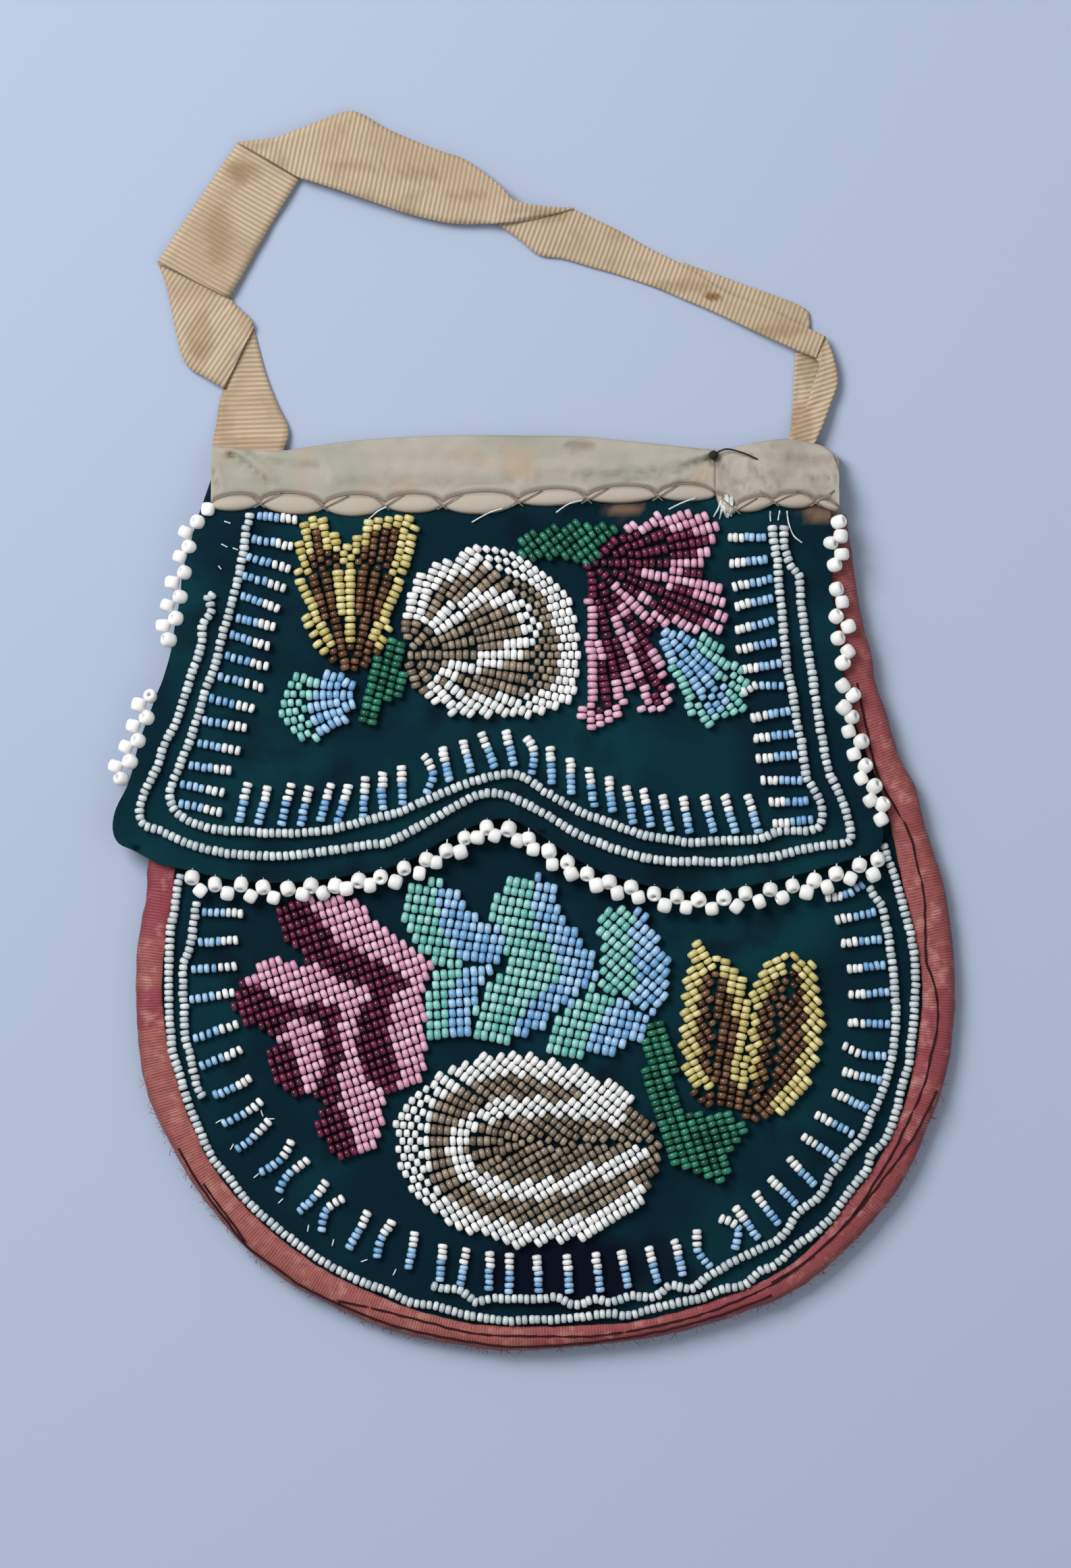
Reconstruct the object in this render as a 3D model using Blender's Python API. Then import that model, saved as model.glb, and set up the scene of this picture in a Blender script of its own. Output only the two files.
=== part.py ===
"""Beaded velvet flap bag, lying on its back: pouch, flap, bindings, ribbon handle and beadwork.

The origin is the centre of the back panel's outer face. +Z points out of the beaded front,
+Y towards the handle and +X to the right as the front is seen. Sizes below are millimetres.
"""
import math

import bmesh
import bpy
from mathutils import Vector

MM = 0.001

# Cloth thicknesses and the play between layers
CLEARANCE = 0.3
FLAP_CLEARANCE = 0.5
BEAD_SEAT = 0.4
BACK_THICKNESS = 0.8
PANEL_THICKNESS = 0.9
LINING_THICKNESS = 0.4
TAPE_THICKNESS = 0.5
POUCH_GAP = 0.4

# How far the filled front stands up over the back, and the ellipse that it fades out on
CROWN_HEIGHT = 3.0
CROWN_CENTRE = (2.7, -1.5)
CROWN_HALF_WIDTH = 90.0
CROWN_HALF_HEIGHT = 99.0

# The flap comes down to the back lining between these heights, where the top binding grips it
FLAP_FALL_START = 76.0
FLAP_FALL_END = 91.0

# Heights on the bag
MOUTH_HEIGHT = 73.0
PANEL_TOP = 91.0
RIBBON_THICKNESS = 0.5
SIDE_WALL = 0.6

# Beads
STRING_DIAMETER = 1.9
BAR_WIDTH = 1.8
BEADWORK_HEIGHT = 1.7
BEAD_ROW = 4.2
BEAD_ROW_RELIEF = 0.5
EDGE_BEAD_DIAMETER = 3.0
EDGE_THREAD_DIAMETER = 1.2
FLAP_EDGE_INSET = 2.15
FIELD_GAP = 0.35

# Spacing of the cuts that let a flat sheet follow the crown
DRAPE_STEP = 28.0
FINE_DRAPE_STEP = 30.0

# Layers, from the back up, worked out from the thicknesses
BACK_LINING_Z = BACK_THICKNESS + CLEARANCE
FRONT_LINING_Z = BACK_LINING_Z + LINING_THICKNESS + POUCH_GAP
FRONT_Z = FRONT_LINING_Z + LINING_THICKNESS + CLEARANCE
FRONT_TOP = FRONT_Z + PANEL_THICKNESS
SIDE_LIP_Z = FRONT_TOP + CLEARANCE
SIDE_LIP_TOP = SIDE_LIP_Z + TAPE_THICKNESS
FLAP_LINING_Z = SIDE_LIP_TOP + FLAP_CLEARANCE
FLAP_Z = FLAP_LINING_Z + LINING_THICKNESS + CLEARANCE
FLAP_TOP = FLAP_Z + PANEL_THICKNESS
BACK_LIP_Z = 0.0
CROWN_FROM = BACK_LINING_Z + LINING_THICKNESS + POUCH_GAP / 2
FLAP_FALL = FLAP_LINING_Z - (BACK_LINING_Z + LINING_THICKNESS + CLEARANCE)

# Side binding, clockwise from the upper right: outer edge, then inner edge, of each place
BINDING_PLACES = [
    ((65.7, 77), (59, 77)), ((67.9, 63.3), (61, 62.5)), ((71.1, 49.4), (64.3, 48)),
    ((74.3, 36.7), (67.5, 35)), ((80.3, 21.6), (73.6, 19)), ((85.1, 5), (77.6, 5)),
    ((87.3, -5), (80.1, -5)), ((88.7, -20), (82.2, -20)), ((87.9, -32), (81.2, -31)),
    ((84.7, -45), (78.6, -44)), ((80.8, -55), (74.9, -54.6)), ((75.2, -65), (68.9, -63)),
    ((65, -76.2), (61, -72.6)), ((55, -83.9), (52, -80.4)), ((45, -88.2), (44, -84.6)),
    ((30, -92.9), (28.8, -89.1)), ((10, -95.9), (9.5, -91.6)), ((-6.5, -96.7), (-6, -92)),
    ((-24.1, -93.9), (-22.5, -89.5)), ((-34.7, -90.6), (-32.2, -86.2)), ((-45.4, -85.5), (-42.2, -81.5)),
    ((-55.6, -79), (-51.9, -75)), ((-64.8, -70.2), (-60.6, -67.1)), ((-72.7, -60), (-68.4, -58.1)),
    ((-78, -49.4), (-73, -48.2)), ((-81.9, -40), (-76.4, -38.4)), ((-83.4, -25), (-78.3, -25)),
    ((-83.4, -12), (-78.1, -12)), ((-81.5, 0), (-76.4, 0)), ((-79, 14), (-72.5, 12)),
    ((-74, 32), (-67.3, 30)), ((-69, 52), (-62, 50)), ((-65, 77), (-58, 77)),
]
BINDING_STEPS = 2

# Velvet edge of the flap, clockwise from the upper left
FLAP_OUTLINE = [
    (-66, 91), (62, 91), (62.2, 77.8), (62.6, 66), (64.2, 47.1), (66.2, 30.9), (70, 21), (73, 12.4),
    (72.6, 7.7), (62.4, 4.6), (50.8, 1.4), (39.2, -0.6), (33.4, -0.9), (27.6, -0.3), (16.1, 2.6), (4.5, 8.9),
    (-4.7, 14.2), (-13.9, 12.1), (-25.5, 5.8), (-37.1, 2.6), (-54.5, 0.8), (-66, 2), (-77.6, 4.6),
    (-87, 9.6), (-88.7, 12.9), (-85.9, 21.6), (-81.2, 36.7), (-75.9, 50), (-73.3, 67.4), (-70, 79),
]

# Cream top binding: lower scallops and upper edge, from left to right
SCALLOPS = [
    (-67.5, 80.1), (-62, 79.7), (-57.1, 81.5), (-50, 78.9), (-43.8, 80.7), (-37, 78.7), (-31, 81),
    (-25, 79.2), (-18.9, 81.1), (-11, 78.9), (-3, 81.8), (4, 80.7), (11.4, 82.4), (19, 81.3), (26.2, 83),
    (32, 81.5), (38, 83),
]
PATCH_SCALLOPS = [(38.3, 83), (45.6, 78.7), (50.5, 81.8), (54.9, 80.4), (59.2, 81.8), (64.1, 80.1)]
BINDING_TOP = [
    (-67.5, 93.4), (-54.5, 92.4), (-37.1, 94.6), (-13.9, 95.7), (10.3, 95.4), (36.3, 92.8), (47.9, 94.3),
    (53.7, 94.9), (60.1, 93.7), (64.1, 92.5),
]
BACK_LIP_HEIGHT = 82.0

# Ribbon handle: one edge, the other edge and the height of each place along the strip
RIBBON_PLACES = [
    ((-67, 94), (-52.4, 93.2), 1.2), ((-66.3, 100), (-52.6, 99.5), 0.6), ((-65.6, 105), (-57.6, 115), 0.2),
    ((-73, 110.6), (-59, 119), -0.3), ((-75.6, 121.1), (-63, 123.4), -0.5), ((-79, 132), (-63.8, 124.5), -0.5),
    ((-73, 141), (-58.5, 133.4), -0.6), ((-62.1, 157.3), (-49.1, 149.9), -0.6),
    ((-54.5, 158.2), (-47, 149.2), -0.6), ((-48.6, 160.3), (-41.1, 147.2), -0.3),
    ((-39.8, 163.4), (-35, 145.3), 0.2), ((-30.1, 159.8), (-28, 143), 0.4), ((-20, 155.6), (-19.2, 140.7), 0.2),
    ((-10.7, 151), (-11.6, 140.2), 0.6), ((-4, 144.9), (-6.8, 140.1), 1.2), ((1.5, 143.6), (-1.5, 136), 1.0),
    ((8.6, 143.2), (6.1, 132.9), 0.4), ((17.9, 138.8), (14, 130.7), 0), ((29.7, 132.5), (26.3, 126.6), 0),
    ((36.4, 129.8), (32.5, 123.8), 0.1), ((49.9, 125.3), (43.2, 119), 0.2), ((57.4, 122), (51.6, 115.2), 0.3),
    ((62.1, 116.1), (55.1, 112.9), 0.6), ((64.1, 107.4), (55, 105), 0.9), ((62.4, 101.7), (54.5, 98.2), 1.1),
    ((60.4, 94.1), (53.8, 95.3), 1.3),
]

# Bead strings, each from its start to its end
FLAP_OUTER_STRING = [
    (-68.1, 61.6), (-69.2, 54), (-71.3, 45.9), (-74.7, 35.5), (-78.8, 25.7), (-82, 18.5), (-81, 13.8),
    (-73, 10.3), (-63.2, 7.8), (-51.6, 7.4), (-40, 8.9), (-30.1, 10.3), (-19.7, 15.8), (-10.5, 20.4),
    (-5.6, 20), (4.5, 14.9), (16.1, 9.2), (27.6, 6.3), (39.2, 6.1), (50.8, 7.4), (60.6, 9.5), (65.9, 10.8),
    (65.3, 17), (61.8, 25.1), (59.8, 35.5), (58.3, 45.9), (56.6, 55.8), (55.7, 65.6), (52.7, 72.6), (52.5, 75.6),
]
FLAP_INNER_STRING = [
    (-59.3, 77.2), (-60.8, 70.3), (-62.9, 61), (-65.2, 52.9), (-68.4, 42.5), (-71.8, 31.5), (-75.6, 21),
    (-73.9, 15.8), (-66, 12.9), (-54.5, 12.1), (-42.9, 12.9), (-34.2, 15), (-24.4, 18.1), (-13.9, 22.5),
    (-4.7, 24.5), (2.7, 20.7), (10.8, 16.1), (23, 11.7), (32.8, 10.2), (45, 10.7), (54.9, 12.6),
    (59.4, 13.7), (59.2, 20.5), (56.3, 29.7), (54.3, 41.3), (52.5, 52.9), (51.4, 64.5), (50.2, 75),
]
BODY_OUTER_STRING = [
    (-75, -3), (-76.3, -13.5), (-76.3, -25), (-75.2, -35), (-72.5, -44), (-67.2, -55.9), (-60.2, -64.7),
    (-50, -73.5), (-37.1, -81.4), (-25.9, -86.2), (-13.9, -89), (0, -89.9), (15.3, -88.7), (30.1, -86.4),
    (44, -82.2), (54.7, -74.8), (62.5, -68.4), (70.3, -57.5), (74.6, -49.5), (77, -42.4), (79.2, -31.7),
    (80.2, -19.5), (79, -9), (76.9, -1), (75.6, 3.4),
]
BODY_INNER_STRING_LEFT = [
    (-70.3, -4), (-71.6, -9), (-73, -15.4), (-73.1, -26.8), (-72, -34.1), (-69, -43.4),
]
BODY_INNER_STRING_RIGHT = [
    (-21.3, -82.8), (-12, -85.9), (0, -85.6), (9, -86.5), (20.8, -84.9), (31.5, -83.2), (39.8, -79),
    (50.9, -73.4), (59.2, -64.7), (66, -54.8), (71, -47), (74.4, -37.8), (76, -28.2), (75.6, -17),
    (74.4, -8.5), (71.5, -1),
]

# Fringe bars: where each starts on its string and where its free end is
FLAP_BARS = [
    ((-59.1, 73.7), (-50.1, 72)), ((-60, 70), (-50.7, 67.4)), ((-60.8, 66.2), (-51.7, 63.3)),
    ((-61.4, 61.9), (-53, 59)), ((-62.3, 57.2), (-53.8, 55.2)), ((-63.7, 53.8), (-55, 51.1)),
    ((-64.6, 49.4), (-55.3, 46.8)), ((-66, 45.1), (-56.3, 42.5)), ((-67.8, 40.4), (-58.2, 38.1)),
    ((-69.3, 35.8), (-59.8, 34.1)), ((-70.4, 31), (-61.2, 29.3)), ((-72.2, 26.4), (-63, 25.2)),
    ((-61.5, 13.8), (-59.6, 22.8)), ((-57.5, 13.8), (-55.3, 22.3)), ((-52.8, 13.6), (-50.4, 22.6)),
    ((-48.7, 13.5), (-46.7, 22.2)), ((-44.6, 14.4), (-42.2, 22.5)), ((-40.9, 14.4), (-38.5, 22.5)),
    ((-35.6, 15.2), (-35, 24)), ((-31.3, 16.7), (-31.3, 25.2)), ((-27.3, 17.6), (-27.5, 26.4)),
    ((-21.8, 20.2), (-23, 28.6)), ((-17.4, 22.5), (-19, 30.3)), ((-12.8, 24.2), (-14.8, 31.7)),
    ((-7.9, 25.1), (-10.9, 33.3)), ((-3.8, 25.7), (-5.9, 33.8)), ((-0.3, 23.9), (-1, 32.4)),
    ((3.9, 21.6), (3.5, 30.5)), ((8.1, 19.9), (7.7, 28)), ((12.7, 17.3), (11.6, 26)),
    ((16.6, 16.1), (15.7, 24.2)), ((21, 13.5), (19.4, 22.2)), ((24.8, 12.9), (22.9, 21.6)),
    ((28.7, 12.1), (26.9, 20.3)), ((32.8, 11.7), (31.2, 20)), ((37.8, 11.7), (35.7, 20.2)),
    ((42.4, 11.7), (39.9, 20.2)), ((57, 26), (47.2, 24)), ((54.9, 28.9), (46.5, 28)),
    ((54.3, 33.3), (45.9, 32.2)), ((53.7, 37.7), (45.3, 36.2)), ((52.5, 42.8), (44.6, 41.7)),
    ((52, 47.7), (44.1, 46)), ((50.8, 52), (42.3, 50.6)), ((50.5, 56.4), (42, 54.5)),
    ((50.2, 61.3), (42, 59.5)), ((50.2, 65.2), (41.7, 63.9)), ((49.2, 69.4), (41.2, 68.6)),
]
BODY_LEFT_BARS = [
    ((-70.3, -11), (-61.8, -10.2)), ((-71.8, -16.5), (-62, -15.8)), ((-72.2, -22.9), (-65.2, -22.2)),
    ((-71.4, -31), (-61.7, -27.9)), ((-69.9, -36.9), (-60.9, -33.2)),
]
BODY_LOOSE_BARS = [
    ((-67.2, -42.9), (-58.9, -39.1)), ((-65.3, -48.9), (-56.7, -43.9)), ((-62.3, -54.5), (-55.1, -48)),
    ((-57.4, -59.1), (-50.5, -52.2)), ((-53.5, -63.3), (-47, -56.1)), ((-49.3, -67.5), (-43.3, -60.7)),
    ((-44, -71.6), (-39.8, -64.2)), ((-38.9, -75.1), (-35, -67)), ((-32.6, -77.2), (-29.6, -69.1)),
    ((-26.2, -79.5), (-24.6, -71.4)),
]
BODY_RIGHT_BARS = [
    ((-19.7, -81.8), (-18.8, -74)), ((-15.3, -83), (-13.9, -75.5)), ((-9.3, -83.7), (-9, -76.5)),
    ((-5, -84.6), (-4.9, -77)), ((1.2, -84.1), (0.9, -77)), ((7.6, -84.6), (7, -77)),
    ((14.1, -84.3), (13.1, -76.2)), ((19.7, -83.6), (18.3, -75.1)), ((26.2, -82.5), (24.1, -74.4)),
    ((31.6, -80.9), (29.6, -73.2)), ((37.3, -79), (34.3, -71.1)), ((42.6, -75.8), (39.4, -68.6)),
    ((47.3, -73.2), (42.4, -66.5)), ((51.6, -70), (46.5, -63.5)), ((55.4, -65.8), (49.6, -60.2)),
    ((59.3, -61.9), (53.5, -56.1)), ((63.9, -56.3), (56.5, -51.4)), ((67.2, -51.2), (59.3, -46.8)),
    ((70.4, -45.9), (63, -42.2)), ((73.2, -39.9), (64.6, -38)), ((74.5, -34.5), (64.8, -32.5)),
    ((74.8, -27.9), (66, -27.8)), ((74.8, -21.2), (66, -21.8)), ((74, -15.5), (65.6, -16.5)),
    ((73.1, -10), (64.6, -11)), ((72.1, -4.6), (63.2, -6.2)),
]

# Chains of large edge beads: the centre of every bead, in stringing order
EDGE_BOTTOM_UPPER = [
    (-71.4, 2.8), (-66.6, 1.4), (-61.1, 1.4), (-56.5, 0.8), (-51.3, 0.5), (-46.5, 1.1), (-41.4, 1.1),
    (-36.5, 2.2), (-31.9, 3), (-27, 4.8), (-22.3, 6.6), (-18.1, 8.4), (-14.3, 11.1), (-9.7, 13.3),
    (-5.1, 13), (-1, 10.9), (3.3, 8.4), (7.2, 6), (11.3, 3.6), (15.9, 1.9), (20.5, 0.8), (25.3, -0.5),
    (30.1, -1.1), (34.6, -1.8), (39.9, -1.4), (44.4, -0.5), (49.6, 0.3), (54.3, 1.1), (58.8, 2.2),
    (63.4, 3.6), (68.3, 5.4), (72.1, 6.6),
]
EDGE_BOTTOM_LOWER = [
    (-69.7, 0.1), (-64, -0.5), (-59.1, -1.1), (-54.3, -1.4), (-48.2, -0.7), (-44, -0.4), (-39.1, 0.5),
    (-34.2, 1.2), (-28.8, 1.9), (-23.8, 3.7), (-20.3, 6), (-15.2, 8.2), (-11.6, 11.2), (-8, 11.6),
    (-3.2, 10.6), (0, 8.8), (4, 5.6), (8, 3.6), (13.2, 1.2), (17.6, -0.4), (22, -1.3), (27.5, -3),
    (32, -3.4), (37.4, -3.7), (42.6, -3.2), (47.3, -2.2), (52.1, -1.4), (57.2, -0.3), (61.5, 0.8),
    (66.4, 2.6), (71.2, 3.4),
]
EDGE_LEFT_UPPER = [
    (-70.3, 77.3), (-72.8, 75.1), (-72, 72.1), (-74, 70), (-73, 66.7), (-75.6, 64.6), (-73.9, 61.6),
    (-76.6, 59.8), (-75, 57.1), (-77.5, 55.6), (-76.3, 52.6),
]
EDGE_LEFT_LOWER = [
    (-80.1, 41.2), (-82.6, 39), (-81.2, 36.3), (-83.8, 34.3), (-82.7, 31.5), (-85.3, 30), (-84.6, 27.1),
    (-87.3, 25.8), (-86.3, 23.1),
]
EDGE_RIGHT_UPPER = [(62.6, 77.6), (64.4, 75), (62.5, 72.7), (64.8, 70.6), (63.2, 68.1)]
EDGE_RIGHT_LOWER = [
    (63.3, 63.2), (64.9, 60.5), (63.6, 57.7), (66, 55.4), (63.9, 52.9), (66, 50.3), (64.7, 47.6),
    (64.9, 44), (67, 41.5), (65.2, 38.8), (67, 36.2), (66, 33.2), (68.8, 31.3), (67.3, 28.6), (69.7, 26.4),
    (68.8, 23.8), (71.6, 22), (70.7, 19.1), (73.3, 17.6), (73, 14.6),
]

# Beadwork fields: each outline, and the slope of its bead rows in degrees
FLAP_YELLOW = [
    (-37.5, 45.5), (-41, 47.5), (-45, 51.5), (-47.5, 55.5), (-49, 60), (-49, 66), (-49, 76), (-47.5, 79),
    (-44, 79), (-42.5, 76), (-41, 72.5), (-39, 71), (-37, 75), (-34.5, 78), (-31, 79), (-26, 78.3),
    (-25, 75.5), (-26.5, 71), (-28.2, 66), (-29.6, 60), (-31, 55.5), (-33, 51), (-35.5, 47.5),
]
FLAP_BLUE_BUD = [
    (-53, 38), (-52.5, 42), (-49.5, 45), (-45, 46), (-41, 45), (-38, 43.5), (-38, 38.5), (-40, 36),
    (-43, 33.5), (-46.5, 32), (-50, 33), (-52.5, 35),
]
FLAP_GREEN_LEFT = [
    (-36.5, 44.3), (-33, 46), (-31, 49), (-29.8, 54), (-28.2, 53), (-27.8, 48), (-27.8, 43), (-29.5, 40),
    (-32, 37), (-33.5, 34.5), (-36, 34), (-37, 38),
]
SHELL = [
    (-27, 53), (-27.5, 58), (-26.5, 63), (-23, 68.5), (-19, 70.5), (-13, 72), (-8, 72.5), (-4, 70.6),
    (0.5, 68.2), (4, 66), (7, 62), (9, 58), (9.6, 53), (9.6, 48), (8.6, 43), (6.5, 40), (3, 38), (-2, 36.5),
    (-7, 37), (-12, 36.5), (-16, 37.5), (-20.5, 39.5), (-24, 42), (-26.5, 46),
]
SHELL_CRESCENT = [
    (-22, 52.5), (-18.5, 55.8), (-14, 58.5), (-8, 59.2), (-3.5, 58.2), (-0.8, 55.6), (-1.3, 52.4), (-4, 50.7),
    (-9, 49.3), (-14, 48.2), (-18, 47.6),
]
FLAP_GREEN_TOP = [
    (-3.5, 72.5), (-1, 75), (4, 77), (9, 77), (14, 77), (16.5, 76.2), (14.5, 73), (12.2, 70.3), (10.4, 69),
    (6, 70.6), (1, 71),
]
FLAP_FLOWER_TOP = [
    (15, 70.8), (18.6, 75.6), (22, 78.6), (28, 79.3), (34, 79), (38, 77.8), (39, 75.5), (38.5, 71), (35.6, 66.6),
    (28, 66.4), (20, 67.4),
]
FLAP_FLOWER_MIDDLE = [
    (16.2, 65.8), (22, 65.9), (35, 65.2), (38.6, 63.6), (40, 61), (40, 58), (39, 55.8), (35.6, 54.8),
    (31, 56.4), (27, 57.2), (24, 60.2), (19.6, 60.4),
]
FLAP_FLOWER_LEFT = [
    (10.9, 61), (11, 50), (10.6, 40), (11, 36), (13, 33.8), (16.5, 34.3), (18.5, 38), (20.3, 41), (20.6, 58.8),
    (18, 61.2), (15.2, 64.6), (13, 64.4),
]
FLAP_FLOWER_RIGHT = [
    (21.6, 44), (22.3, 40), (24, 38), (26.5, 37), (28.7, 39), (29, 42), (27.6, 46), (26, 51), (24.9, 55),
    (23.6, 58.8), (21.6, 59),
]
FLAP_TEAL = [
    (26.6, 54.6), (30, 54), (35.6, 52.6), (39.3, 50.6), (41, 48.8), (42.8, 45.5), (43, 42), (43, 38),
    (41, 35.7), (37, 34.9), (33.5, 36.2), (32, 39), (30.6, 42.5), (29, 47), (27.3, 51),
]
PETAL_ONE = [
    (-53.5, -5.5), (-50.5, -3.2), (-46, -2.9), (-38, -2.2), (-35, -4), (-31.5, -7), (-28.3, -9.6), (-25, -12.4),
    (-23.6, -15.3), (-25, -17.6), (-36, -16), (-46, -14.6), (-50, -13.2), (-52.4, -10),
]
PETAL_TWO = [
    (-63, -22), (-60, -18.8), (-57, -16.4), (-54, -14.5), (-51, -15.2), (-47, -16.6), (-43, -18.6), (-38.6, -20),
    (-40, -23.6), (-44, -26.4), (-48, -26.2), (-51, -27.8), (-55, -29.8), (-59, -28.6), (-61.6, -26),
]
PETAL_THREE = [
    (-55.6, -35), (-53.5, -31.3), (-50.4, -29), (-47.5, -27.8), (-44.6, -28.6), (-44, -33), (-44, -39),
    (-47, -41.5), (-50, -42.8), (-53, -41), (-55, -38),
]
PETAL_FOUR = [
    (-45.4, -44), (-46.2, -48), (-44.3, -52), (-41.5, -55.2), (-39, -56.5), (-36, -55), (-33, -53), (-32, -50),
    (-32.2, -45.5), (-33.4, -42.8), (-36.8, -41.2), (-42.8, -41.2),
]
PETAL_FIVE = [
    (-24.6, -18.6), (-24.2, -25), (-24, -30), (-24, -37.5), (-25.6, -40.6), (-28, -42), (-31, -41.8), (-34, -40),
    (-37.6, -40), (-42.6, -39.6), (-42.8, -28.4), (-38.6, -24.6), (-37, -20.6), (-30, -18.6),
]
TEAL_ONE = [
    (-25, 0.2), (-21.6, 0.2), (-18.5, 0), (-15.5, -1), (-13.5, -3.2), (-12, -5.8), (-9.8, -8), (-8, -10),
    (-6.7, -12.4), (-6.4, -15), (-7.6, -18), (-10.2, -21.2), (-12.6, -24.6), (-14, -28), (-15.2, -30),
    (-18, -31), (-20.5, -31), (-22, -29), (-22.8, -25), (-22.7, -20.5), (-20.8, -16), (-21.6, -13),
    (-25.4, -9.6), (-26.6, -4.5), (-26.1, -2),
]
TEAL_TWO = [
    (-4.5, 3.4), (-2, 3.4), (1, 2.4), (3, 0.4), (5, -2.2), (7.5, -6.2), (9.3, -9.8), (10.3, -12.8), (11.6, -15),
    (12, -18), (8.4, -21), (6.2, -23), (4.6, -25.5), (2, -28.4), (-1, -30.4), (-4, -31.8), (-8, -32.3),
    (-11.8, -30.5), (-12.2, -27.4), (-10.8, -24.6), (-8.8, -22), (-6.4, -19), (-4.8, -15), (-4.8, -12.3),
    (-6.8, -9.6), (-8.1, -7), (-8.3, -4), (-7.6, -1), (-6.5, 1.5),
]
TEAL_THREE = [
    (18, -3.4), (20.5, -4.4), (23.5, -6.6), (25.8, -9.5), (26.8, -12.8), (27.2, -15.4), (27.4, -18.5), (27, -22),
    (25.6, -25.4), (23.6, -28.5), (22.2, -31), (19.6, -33.3), (16, -34.5), (12, -34.2), (7, -33.7), (4.2, -32.7),
    (3.3, -31.2), (4.8, -28.2), (7, -25), (9.9, -22.3), (12.8, -19.8), (13.8, -16.6), (14.2, -12.8),
    (14, -9.4), (13.8, -7), (15.4, -4.8),
]
OVAL = [
    (26.5, -52), (24.5, -49), (22, -44.8), (19, -41.8), (15, -39.8), (11, -38.4), (6, -36.4), (2, -35.2),
    (-2, -35), (-8, -34.8), (-14, -36), (-19, -38), (-23, -41.5), (-26.5, -44.5), (-28.8, -48.3), (-29.3, -53),
    (-28.8, -57), (-27.5, -61.5), (-25, -65), (-21, -68.5), (-17, -70.8), (-12, -72.3), (-6, -73.4), (0, -73.8),
    (5, -73.5), (10, -72.3), (15, -70.8), (19, -68.8), (23, -65.3), (25.6, -61.5),
]
OVAL_RING = [
    (17, -49), (13, -47.6), (8, -47.4), (2, -47), (-3, -47), (-8, -48), (-11.8, -50), (-14.6, -53), (-14, -56.4),
    (-11, -59.2), (-8, -61.2), (-4, -62), (1, -61.6), (5, -60.4), (10, -59), (15, -57.6), (19.5, -56),
]
BODY_STEM = [
    (24.8, -28), (28, -28.6), (29.2, -32), (29.7, -37), (29.9, -42), (30.2, -44.8), (32, -46.8), (35.6, -48.2),
    (39, -47.7), (43, -48), (44.4, -50), (44.6, -51.5), (42.3, -53.7), (41.2, -56), (40.6, -59), (38.8, -60.8),
    (35, -60.3), (33, -58.3), (30.5, -56.8), (28.4, -56), (27.4, -54), (26.4, -50), (25.2, -46.2), (24.3, -42),
    (23.6, -37), (23.2, -33.4), (24.2, -30.4),
]
BODY_YELLOW = [
    (34, -9.9), (32.3, -12), (32.2, -19), (32.2, -23), (31.8, -27), (31.4, -31), (31.4, -40), (32.7, -42.8),
    (35, -44.8), (38.5, -46), (41.8, -45.7), (44, -47.6), (48, -48.6), (51, -46.7), (53.5, -46), (55.5, -43.7),
    (57.6, -40), (59, -36), (60.4, -33), (60.2, -29), (60, -24), (59.6, -19), (58.8, -15.2), (57, -13.6),
    (54, -13.3), (51, -14.8), (48.5, -16.3), (47, -18.8), (45, -20.8), (43.7, -19), (41.3, -14.8), (38.4, -12.7),
    (36, -11.2),
]

# Where pink beads take over from dark red ones: the pink lies to the left of each line
FLAP_TOP_SPLIT = ((40, 75.5), (14, 75.5))
FLAP_LEFT_SPLIT = ((14.5, 30), (14.5, 60))
PETAL_ONE_SPLIT = ((-26, -18.5), (-47, -2))
PETAL_TWO_SPLIT = ((-39, -24), (-61.5, -19))
PETAL_FIVE_SPLIT = ((-29, -43), (-30, -18))

# Slopes of the bead rows, in degrees
YELLOW_SLOPE = 100
BUD_SLOPE = 20
SPRIG_SLOPE = 80
TOP_SPRIG_SLOPE = 5
FLOWER_TOP_SLOPE = 10
FLOWER_MIDDLE_SLOPE = 170
FLOWER_LEFT_SLOPE = 90
FLOWER_RIGHT_SLOPE = 95
FLAP_TEAL_SLOPE = 150
SHELL_SLOPE = 5
PETAL_SLOPE = 20
TEAL_SLOPES = (0, -15, -30)
STEM_SLOPE = 75
BODY_YELLOW_SLOPE = 60
OVAL_SLOPE = 0
SHELL_RIM_WIDTH = 4.4
OVAL_RIM_WIDTH = 4.8
INNER_BAND_WIDTH = 3.2
CUTTER_HEIGHT = 20.0


def crown(x, y):
    """Height by which the filled pouch lifts its front at a point."""
    across = 1 - ((x - CROWN_CENTRE[0]) / CROWN_HALF_WIDTH) ** 2
    along = 1 - ((y - CROWN_CENTRE[1]) / CROWN_HALF_HEIGHT) ** 2
    return CROWN_HEIGHT * max(across, 0) * max(along, 0)


def flap_fall(y):
    """How far the flap has come down towards the back at a height on the bag."""
    share = (y - FLAP_FALL_START) / (FLAP_FALL_END - FLAP_FALL_START)
    return FLAP_FALL * min(max(share, 0), 1)


def settle(x, y, z):
    """Return the height of a point once the layers lie over each other."""
    if z < CROWN_FROM:
        return z
    lifted = z + crown(x, y)
    return lifted - flap_fall(y) if z >= FLAP_LINING_Z - CLEARANCE / 2 else lifted


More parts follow.
